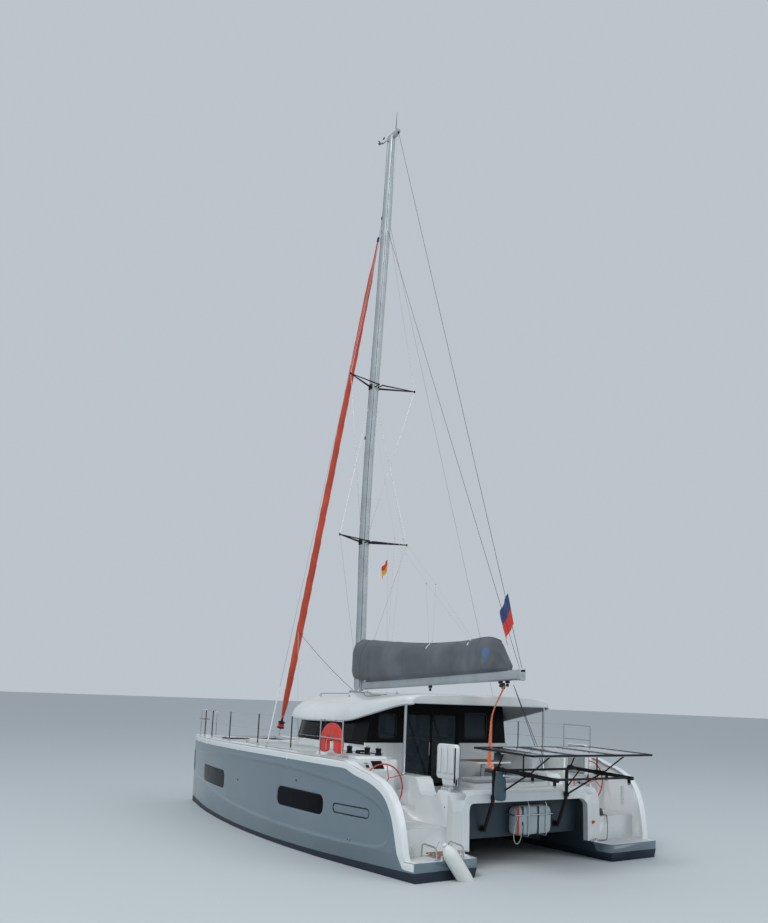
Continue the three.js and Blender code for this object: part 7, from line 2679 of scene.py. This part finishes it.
@dataclass
class SternGear:
    """Davits with the solar panel, life raft in its cradle, covered gear, fender and bathing ladder."""

    reach: float = 0.9
    knee: tuple[float, float] = (-5.21, 1.712)
    end: tuple[float, float] = (-6.8, 1.64)
    panel_x: tuple[float, float] = (-6.78, -5.3)
    panel_under: tuple[float, float] = (2.016, 2.056)
    panel_half: float = 1.45
    panel_depth: float = 0.035
    rails: tuple = (-5.48, -5.97, -6.6)
    ladder_x: tuple[float, float] = (-5.636, -5.18)
    ladder_z: float = 0.355
    raft_middle: Triple = (-5.0215, -0.155, 0.755)
    raft_half: Triple = (0.1175, 0.443, 0.253)

    def arm(self, x: float) -> float:
        """Height of a davit's arm at x."""
        slope = (self.end[1] - self.knee[1]) / (self.end[0] - self.knee[0])
        return self.knee[1] + (x - self.knee[0]) * slope

    def under(self, x: float) -> float:
        """Height of the panel's underside at x."""
        share = (x - self.panel_x[0]) / (self.panel_x[1] - self.panel_x[0])
        return self.panel_under[0] + share * (self.panel_under[1] - self.panel_under[0])

    def build(self) -> list[bpy.types.Object]:
        """Builds the stern's pieces.

        Returns:
            The finished pieces.
        """
        return [self.frame(), self.panel(), self.raft(), self.cradle(), self.cover(),
                self.fender(), self.ladder(),
                self.details()]

    def frame(self) -> bpy.types.Object:
        """Black tubes: legs with their arms, struts, cross tubes, panel rails, joints and blocks."""
        skin = Skin()
        knee_x, knee_z = self.knee
        for s in (1, -1):
            y = self.reach * s
            skin.pipe([(-4.975, y, 0.6), (knee_x, y, 1.16), (knee_x, y, knee_z),
                       (self.end[0], y, self.end[1])],
                      0.033, 0, 20, 0.11)
            skin.bar((-4.985, y, 0.64), (-4.902, y, 0.64), 0.033, 18)
            skin.turned([(0, 0), (0.06, 0), (0.06, 0.008), (0.036, 0.014), (0, 0.014)], (-4.9015, y, 0.64),
                        (-1, 0, 0), 24, 1)
            skin.bar((knee_x, y, 1.2), (-5.152, y, 1.2), 0.029, 18)
            skin.box((-5.245, y - 0.042, 1.165), (-5.175, y + 0.042, 1.235), 0.012, 1)
            struts = (((knee_x, 1.2), (-6.09, self.arm(-6.09)), 0.016),
                      ((knee_x, 1.33), (-5.56, self.arm(-5.56)), 0.013),
                      ((-5.3, self.arm(-5.3)), (self.rails[0], self.under(self.rails[0]) - 0.02), 0.013),
                      ((self.rails[1], self.arm(self.rails[1])),
                       (self.rails[1], self.under(self.rails[1]) - 0.01), 0.013),
                      ((-6.11, self.arm(-6.11)), (self.rails[2], self.under(self.rails[2]) - 0.02), 0.013))
            for (x0, z0), (x1, z1), radius in struts:
                skin.bar((x0, y, z0), (x1, y, z1), radius, 12)
            for x in (-5.3, self.rails[1], -6.1):
                skin.box((x - 0.045, y - 0.042, self.arm(x) - 0.042),
                         (x + 0.045, y + 0.042, self.arm(x) + 0.042), 0.014, 1)
            for x in (-6.72, -6.2):
                z = self.arm(x) - 0.075
                skin.box((x - 0.03, y - 0.014, z - 0.02), (x + 0.03, y + 0.014, z + 0.05), 0.008, 1)
                skin.sheave((x, y, z - 0.02), 0.03, 0.024, 0.012, 18)
        for x in (-6.7, -5.5):
            skin.bar((x, -self.reach, self.arm(x)), (x, self.reach, self.arm(x)), 0.02, 14)
        for x in self.rails:
            z = self.under(x)
            skin.box((x - 0.021, -1.4, z - 0.024), (x + 0.021, 1.4, z - 0.001), 0.004, 2)
        skin.bar((-5.7, 1.1, 1.63), (-5.16, -1.06, 1.46), 0.019, 12, 3)
        made = skin.object("davit_frame",
                           [Finishes.BLACK, Finishes.RUBBER, Finishes.STEEL, Finishes.WHITE], 35)
        return dress(made, "boat", "stainless", "davits")

    def panel(self) -> bpy.types.Object:
        """Three modules in black frames: cells on top under glass and a pale sheet below."""
        skin = Skin()
        (aft, fore), (low, high) = self.panel_x, self.panel_under
        thick, width = self.panel_depth, 2 * self.panel_half / 3
        outline = np.array([(aft, low), (fore, high), (fore, high + thick), (aft, low + thick)])
        for k in range(3):
            y0 = k * width - self.panel_half
            y1 = y0 + width - 0.003
            for a, b, c, d in ((aft, fore, y0, y0 + 0.016), (aft, fore, y1 - 0.016, y1),
                               (aft, aft + 0.016, y0, y1),
                               (fore - 0.016, fore, y0, y1)):
                edge = np.array([(a, self.under(a)), (b, self.under(b)),
                                 (b, self.under(b) + thick), (a, self.under(a) + thick)])
                skin.prism(edge, (c, d), "xz", 0.002, 1)
            inner = outline + np.array([(0.012, 0.024), (-0.012, 0.024), (-0.012, -0.003), (0.012, -0.003)])
            skin.prism(inner, (y0 + 0.012, y1 - 0.012), "xz", 0.0015, 0)
            back = outline + np.array([(0.012, 0.019), (-0.012, 0.019), (-0.012, -0.0125),
                                       (0.012, -0.0125)])
            skin.prism(back, (y0 + 0.012, y1 - 0.012), "xz", 0.001, 2)
            middle = (y0 + y1) / 2
            skin.box((-6.1, middle - 0.06, self.under(-6.1) + 0.002),
                     (-5.99, middle + 0.06, self.under(-6.1) + 0.02), 0.004, 1)
        made = skin.object("solar_modules", [Finishes.CELLS, Finishes.BLACK, Finishes.WHITE], 35)
        return dress(made, "boat", "solar_cells", "solar_panel")

    def raft(self) -> bpy.types.Object:
        """The life raft's valise: a crowned bag with creases that run in from its straps."""
        skin = Skin()
        u, v = circle(96), np.linspace(-1, 1, 60)
        cosine, sine = squarish(u, 2 / 5.0)
        shrink = (1 - np.abs(v) ** 7) ** 0.22
        middle, half = self.raft_middle, self.raft_half
        x = half[0] * shrink[:, None] * cosine[None]
        z = middle[2] + half[2] * (0.9 + 0.1
                                   * shrink[:, None]) * sine[None] * np.maximum(shrink[:, None], 0.75)
        y = middle[1] + half[1] * np.broadcast_to(np.sign(v) * (1 - (1 - np.abs(v)) ** 1.25), (96, 60)).T
        straps = sum(np.exp(-((y - p) / 0.03) ** 2) for p in (-0.42, 0.02))
        dent = 1 - 0.05 * straps
        crease = 0.004 * ripple(y * 9, z * 11, waves=7, seed=9)
        x = middle[0] + x * dent + crease * (np.abs(cosine)[None] > 0.5)
        skin.grid(np.stack([x, y, z], -1), round_v=True, caps=True)
        made = skin.object("raft_valise", [Finishes.RAFT], 60)
        dress(made, "boat", "canvas_grey", "life_raft")
        return made

    def cradle(self) -> bpy.types.Object:
        """Steel hoops over the raft from the beam's edge, a tube across it, straps and a red pull tape."""
        skin = Skin()
        for y in (-0.44, 0.0):
            skin.pipe([(-5.12, y, 1.085), (-5.155, y, 1.03), (-5.158, y, 0.48), (-4.91, y, 0.47)],
                      0.011, 0, 10, 0.04)
        skin.pipe([(-4.91, 0.315, 0.86), (-5.158, 0.315, 0.86), (-5.158, -0.625, 0.86),
                   (-4.91, -0.625, 0.86)], 0.011,
                  0, 10, 0.05)
        for y, slot, wide in ((-0.25, 1, 0.018), (0.13, 1, 0.018), (0.24, 2, 0.022)):
            t = np.linspace(0, 1, 30)
            x = np.interp(t, (0, 0.2, 0.8, 1), (-4.92, -5.1415, -5.1415, -4.92))
            z = np.interp(t, (0, 0.2, 0.8, 1), (1.012, 1.0, 0.51, 0.498))
            across = np.linspace(-wide, wide, 3)
            skin.grid(lattice(x[:, None], y + across, z[:, None]), slot)
        made = skin.object("raft_cradle", [Finishes.STEEL, Finishes.RUBBER, Finishes.RED], 50)
        return dress(made, "boat", "stainless")

    def cover(self) -> bpy.types.Object:
        """A canvas bag that hangs under the port arm, drawn in at its neck: half-breadths times folds."""
        skin = Skin()
        z = np.linspace(1.17, 1.665, 54)
        share = (z - z[0]) / (z[-1] - z[0])
        angle = circle(60)
        girth = along((0, 0.05, 0.3, 0.7, 0.92, 1), (0.55, 0.92, 1.0, 0.9, 0.72, 0.45), share)[:, None]
        creases = ripple(3 * np.cos(angle), 3 * np.sin(angle), share[:, None] * 5)
        folds = 1 + 0.05 * np.sin(9 * angle)[None] * share[:, None] + 0.03 * creases
        x = -5.385 + 0.125 * girth * folds * np.cos(angle)[None]
        y = 0.9 + 0.085 * girth * folds * np.sin(angle)[None]
        skin.grid(lattice(x, y, z[:, None]), round_v=True, caps=True)
        for x0 in (-5.44, -5.33):
            skin.pipe([(x0, 0.87, 1.65), (x0, 0.87, 1.74), (x0, 0.93, 1.74), (x0, 0.93, 1.65)],
                      0.006, 1, 8, 0.02)
        made = skin.object("covered_gear", [Finishes.BLUE_CANVAS, Finishes.BLACK_ROPE], 60)
        dress(made, "boat", "canvas_grey")
        return made

    def fender(self) -> bpy.types.Object:
        """A cylindrical fender with ribbed eyes, laid against the platform, and its lanyard to the hoop."""
        skin = Skin()
        start = np.array([-5.7903, 2.41, 0.6])
        aim = np.array([-5.7903, 1.8, -0.175]) - start
        aim /= np.linalg.norm(aim)
        profile = [(0, 0.0), (0.02, 0.0), (0.034, 0.008), (0.034, 0.028), (0.022, 0.04),
                   (0.03, 0.05), (0.046, 0.06),
                   (0.066, 0.085), (0.09, 0.125), (0.108, 0.165), (0.12, 0.215),
                   (0.1255, 0.3), (0.1255, 0.69),
                   (0.12, 0.765), (0.108, 0.82), (0.09, 0.862), (0.066, 0.9), (0.046, 0.925), (0.03, 0.935),
                   (0.022, 0.945), (0.034, 0.957), (0.034, 0.978), (0.02, 0.985), (0, 0.985)]
        fine = resampled(profile, 90, smooth=False)
        ribs = 0.0008 * np.sin(fine[:, 1] * 900) * ((fine[:, 1] < 0.16) | (fine[:, 1] > 0.83))
        skin.turned([(max(r + d * (r > 0.03), 0.0), h) for (r, h), d in zip(fine, ribs)],
                    tuple(start), tuple(aim), 40)
        tie = [tuple(start + aim * 0.015), (-5.7, 2.42, 0.63), (-5.61, 2.42, 0.515), (-5.595, 2.4, 0.49)]
        skin.tube(resampled(tie, 30), 0.006, 8, 1)
        made = skin.object("round_fender", [Finishes.FENDER, Finishes.WHITE_ROPE], 45)
        return dress(made, "boat", "fender_white", "fender")

    def ladder(self) -> bpy.types.Object:
        """The folded bathing ladder: two tubes, four wooden treads and the hinge pin."""
        skin = Skin()
        hinge, tip, height = self.ladder_x[0], self.ladder_x[1], self.ladder_z
        for y in (1.964, 2.296):
            skin.bar((hinge, y, height), (tip, y, height), 0.0128, 14)
            skin.turned([(0, 0), (0.0128, 0), (0.01, 0.006), (0, 0.007)], (tip, y, height), (1, 0, 0), 14)
        for share in (0.2, 0.45, 0.7, 0.95):
            x = hinge + (tip - hinge) * share
            skin.box((x - 0.031, 1.951, height - 0.011), (x + 0.031, 2.309, height + 0.0135), 0.007, 1)
        skin.bar((hinge, 1.934, height), (hinge, 2.326, height), 0.0119, 16)
        made = skin.object("ladder", [Finishes.STEEL, Finishes.TEAK], 40)
        return dress(made, "swim_ladder", "stainless", "swim_ladder")

    def details(self) -> bpy.types.Object:
        """Vent slats on the helm wells' outer walls, a shower head and drains."""
        skin = Skin()
        wall = spot(partial(hull_line, "deck_out"), -4.78) - 0.1
        for s in (1, -1):
            low_y, high_y = sorted(((wall - 0.012) * s, (wall + 0.004) * s))
            for z in 0.9 + 0.042 * np.arange(9):
                skin.box((-4.86, low_y, z), (-4.7, high_y, z + 0.02), 0.004, 0)
            skin.turned([(0, 0), (0.012, 0), (0.012, 0.003), (0.006, 0.005), (0, 0.005)],
                        (-4.98, 1.8015 * s, 1.05),
                        (0, s, 0), 12, 1)
        skin.turned([(0, 0), (0.03, 0.0), (0.034, 0.02), (0.022, 0.05), (0.012, 0.08), (0, 0.08)],
                    (-5.207, -1.6, 0.66),
                    (-1, 0, 0.3), 18, 2)
        made = skin.object("stern_details", [Finishes.WHITE, Finishes.RUBBER, Finishes.ORANGE])
        return dress(made, "boat", "gelcoat_white")


# Loose lines, flags and main shrouds


@dataclass
class LooseLines:
    """The mooring line's tail, coiled in the starboard well, and the white loop at the life raft."""

    thick: float = 0.014
    thin: float = 0.012
    turns: int = 7
    coil_centre: Triple = (-4.86, -2.06, 0.738)
    coil_radius: float = 0.15
    coil_pitch: float = 0.0165
    leader: tuple = (
        (-5.27, -1.69, 0.335), (-5.272, -1.76, 0.328), (-5.27, -1.88, 0.322), (-5.2, -2.02, 0.33),
        (-5.13, -2.11, 0.46),
        (-5.09, -2.15, 0.64), (-5.05, -2.17, 0.75), (-4.99, -2.175, 0.748), (-4.92, -2.177, 0.746),
    )
    loop: tuple = (
        (-5.158, 0.18, 0.7), (-5.186, 0.182, 0.685), (-5.196, 0.19, 0.62), (-5.19, 0.21, 0.5),
        (-5.188, 0.24, 0.42),
        (-5.187, 0.3, 0.375), (-5.187, 0.365, 0.42), (-5.187, 0.385, 0.53), (-5.182, 0.36, 0.66),
        (-5.172, 0.31, 0.76),
        (-5.148, 0.262, 0.82),
    )

    def build(self) -> list[bpy.types.Object]:
        """Builds both lines.

        Returns:
            The finished pieces.
        """
        return [self.mooring(), self.retainer()]

    def coil(self) -> Array:
        """A helix that climbs one pitch a turn and leans in towards its top, slightly oval."""
        turn = np.linspace(0, self.turns, 30 * self.turns)
        angle = -math.pi / 2 + turn * math.tau
        radius = self.coil_radius * (1 - 0.03 * turn) * (1 + 0.05 * np.sin(2 * angle))
        x0, y0, z0 = self.coil_centre
        height = z0 + self.coil_pitch * turn
        return np.stack([x0 + radius * np.cos(angle), y0 + 1.05 * radius * np.sin(angle), height], 1)

    def mooring(self) -> bpy.types.Object:
        """The line from the cleat over the well's edge and into the coil, with its real length."""
        coil = self.coil()
        turned_in = coil[0] - np.array([0.05, 0.0, 0.0])
        leader = resampled([*self.leader[:-1], turned_in, coil[0]], 40)
        path = np.concatenate([leader[:-1], coil])
        made = Skin().tube(path, self.thick / 2, 10).object("mooring_line", [Finishes.BLACK_ROPE])
        dress(made, "boat", "netting")
        return made

    def retainer(self) -> bpy.types.Object:
        """The white line that hangs in a bight from the cradle under the raft's port end."""
        path = resampled(self.loop, 36)
        made = Skin().tube(path, self.thin / 2, 10).object("raft_retainer", [Finishes.WHITE_ROPE])
        dress(made, "boat", "netting")
        return made


@dataclass
class Flags:
    """The ensign on the topping lift and the courtesy flag under the starboard lower spreader."""

    ensign_top: Triple = (-4.475, 0.0, 4.98)
    ensign_foot: Triple = (-4.66, 0.0, 4.37)
    courtesy_top: Triple = (0.5, -0.4, 6.26)
    rows: int = 30

    def build(self) -> list[bpy.types.Object]:
        """Builds the flags and the courtesy flag's halyard.

        Returns:
            The finished pieces.
        """
        return [self.ensign(), self.courtesy(), self.halyard()]

    def cloth(self, name: str, top: Triple, foot: Triple, fly: float, droop: float,
              finishes: tuple) -> bpy.types.Object:
        """A limp flag: each row falls from the hoist at the droop angle, with folds that widen to the fly."""
        u, v = np.meshgrid(np.linspace(0, 1, self.rows), np.linspace(0, 1, 40), indexing="ij")
        hoist = np.array(top) + (np.array(foot) - np.array(top)) * u[..., None]
        fall = math.radians(droop) * (0.75 + 0.25 * v)
        folds = 0.045 * v * np.sin(v * 9 + u * 2.2) + 0.018 * v * ripple(u * 4, v * 5, waves=5, seed=5)
        face = hoist + np.stack([fly * v * np.cos(fall), 0.012 + folds, -fly * v * np.sin(fall)], -1)
        back = face + np.array([0, 0.0016, 0])
        middle = self.rows // 2
        skin = Skin()
        for rows, slot in ((slice(0, middle + 1), 0), (slice(middle, self.rows), 1)):
            ring = np.concatenate([face[rows], back[rows][:, ::-1]], 1)
            skin.grid(ring, slot, round_v=True, caps=True)
        made = skin.object(name, list(finishes), 60)
        if name == "ensign":
            lead(made)
        else:
            dress(made, "boat", "sailcloth")
        return made

    def ensign(self) -> bpy.types.Object:
        """Blue over red."""
        finishes = (Finishes.FLAG_BLUE, Finishes.RED)
        return self.cloth("ensign", self.ensign_top, self.ensign_foot, 0.46, 62, finishes)

    def courtesy(self) -> bpy.types.Object:
        """Red over yellow."""
        x, y, z = self.courtesy_top
        return self.cloth("courtesy_flag", self.courtesy_top, (x, y, z - 0.3), 0.3, 40,
                          (Finishes.RED, Finishes.FLAG_YELLOW))

    def halyard(self) -> bpy.types.Object:
        """A thin line from the spreader past the flag to the roof."""
        x, y, z = self.courtesy_top
        skin = Skin().bar((x + 0.02, y, 6.7), (x, y, z - 0.32), 0.003, 6)
        skin.bar((x, y, z - 0.32), (1.2, -1.0, 2.86), 0.003, 6)
        return dress(skin.object("flag_halyard", [Finishes.WHITE_ROPE]), "boat", "stainless")


@dataclass
class Shroud:
    """A main shroud: wire, terminal, turnbuckle in a long white tube, toggle and chainplate."""

    side: Side
    wire: float = 0.005

    def build(self) -> list[bpy.types.Object]:
        """Builds the shroud.

        Returns:
            The finished pieces.
        """
        s = self.side.value
        low, high = (np.array(corner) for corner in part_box(f"shroud_{self.side.tag}"))
        inner, outer = (low[1], high[1]) if s > 0 else (high[1], low[1])
        foot = np.array([low[0] + 0.02, outer - 0.012 * s, low[2]])
        head = np.array([high[0] - 0.012, inner + 0.006 * s, high[2] - 0.01])
        at = foot + (head - foot) * np.linspace(0, 1, 400)[:, None]

        def point(z: float) -> Triple:
            """The shroud's centre at height z."""
            return tuple(at[np.argmin(np.abs(at[:, 2] - z))])

        base = float(low[2])
        skin = Skin().bar(point(base), tuple(head), self.wire, 8)
        skin.bar(point(base + 0.02), point(base + 0.12), np.array([0.012, 0.014, 0.012]), 12)
        skin.bar(point(base + 0.12), point(base + 1.18), 0.0135, 14, 1)
        skin.bar(point(base + 1.18), point(base + 1.24), np.array([0.0135, 0.007]), 12, 1)
        x, y, _ = point(base)
        skin.box((x - 0.035, y - 0.005, base), (x + 0.035, y + 0.005, base + 0.05), 0.004)
        made = skin.object(f"main_shroud_{self.side.tag}", [Finishes.STEEL, Finishes.WHITE], 40)
        return [dress(made, "boat", "stainless", f"shroud_{self.side.tag}")]


ASSEMBLIES: list = [
    LooseLines(),
    *(HullSkin(side) for side in Side),
    *(HullMoulding(side) for side in Side),
    Roof(),
    Saloon(),
    Cockpit(),
    Mast(),
    Headsail(),
    SailBag(),
    Boom(),
    *(Shroud(side) for side in Side),
    Flags(),
    *(Helm(side) for side in Side),
    *(GuardRail(side) for side in Side),
    Foredeck(),
    Lifebuoy(),
    SternGear(),
]


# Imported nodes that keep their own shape


CARRIED: list[tuple[Finish, str]] = [
    (Finishes.HULL, "hull"),
    (Finishes.BOTTOM, "keel rudder saildrive"),
    (Finishes.BRONZE, "propeller"),
    (Finishes.ENGINE, "engine"),
    (Finishes.TREAD, "engine_lid"),
    (Finishes.DARK_GLASS, "deck_hatch saloon_glass"),
    (Finishes.STEEL, "roof_post shroud guard_rail hand_hoop_inboard hand_hoop_outboard swim_ladder"),
    (Finishes.RIM_RED, "helm_wheel"),
    (Finishes.WHITE, "helm_pod helm_seat bridgedeck cabin_coaming "
     "roof life_raft longeron cockpit_bench"),
    (Finishes.NET, "trampoline"),
    (Finishes.FRAME, "aft_bulkhead"),
    (Finishes.PALE_GLASS, "door_pane_fixed sliding_door"),
    (Finishes.OAK, "saloon_furniture"),
    (Finishes.SPAR, "mast boom crossbeam"),
    (Finishes.BLACK, "spreaders_lower spreaders_upper davits"),
    (Finishes.SACRIFICE, "furled_jib"),
    (Finishes.CANVAS, "sail_bag sail_bag_collar"),
    (Finishes.CELLS, "solar_panel"),
    (Finishes.FENDER, "fender"),
    (Finishes.RED, "lifebuoy"),
    (Finishes.TEAK, "cockpit_table"),
]


def dress_carried() -> None:
    """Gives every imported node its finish, whether or not a finer piece stands for it."""
    finishes = {kind: finish for finish, kinds in CARRIED for kind in kinds.split()}
    for name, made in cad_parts.items():
        kind = name.removesuffix("_port").removesuffix("_starboard")
        made.data.materials.clear()
        made.data.materials.append(finishes[kind].material())
        paint_faces(made.data, np.zeros(len(made.data.polygons)))


def main() -> None:
    """Builds the studio and every sub-assembly."""
    logging.basicConfig(level=logging.INFO, format="%(name)s: %(message)s")
    Studio().build()
    dress_carried()
    for assembly in ASSEMBLIES:
        for made in assembly.build():
            LOG.info("%s: %d faces", made.name, len(made.data.polygons))


if __name__ == "__main__":
    main()
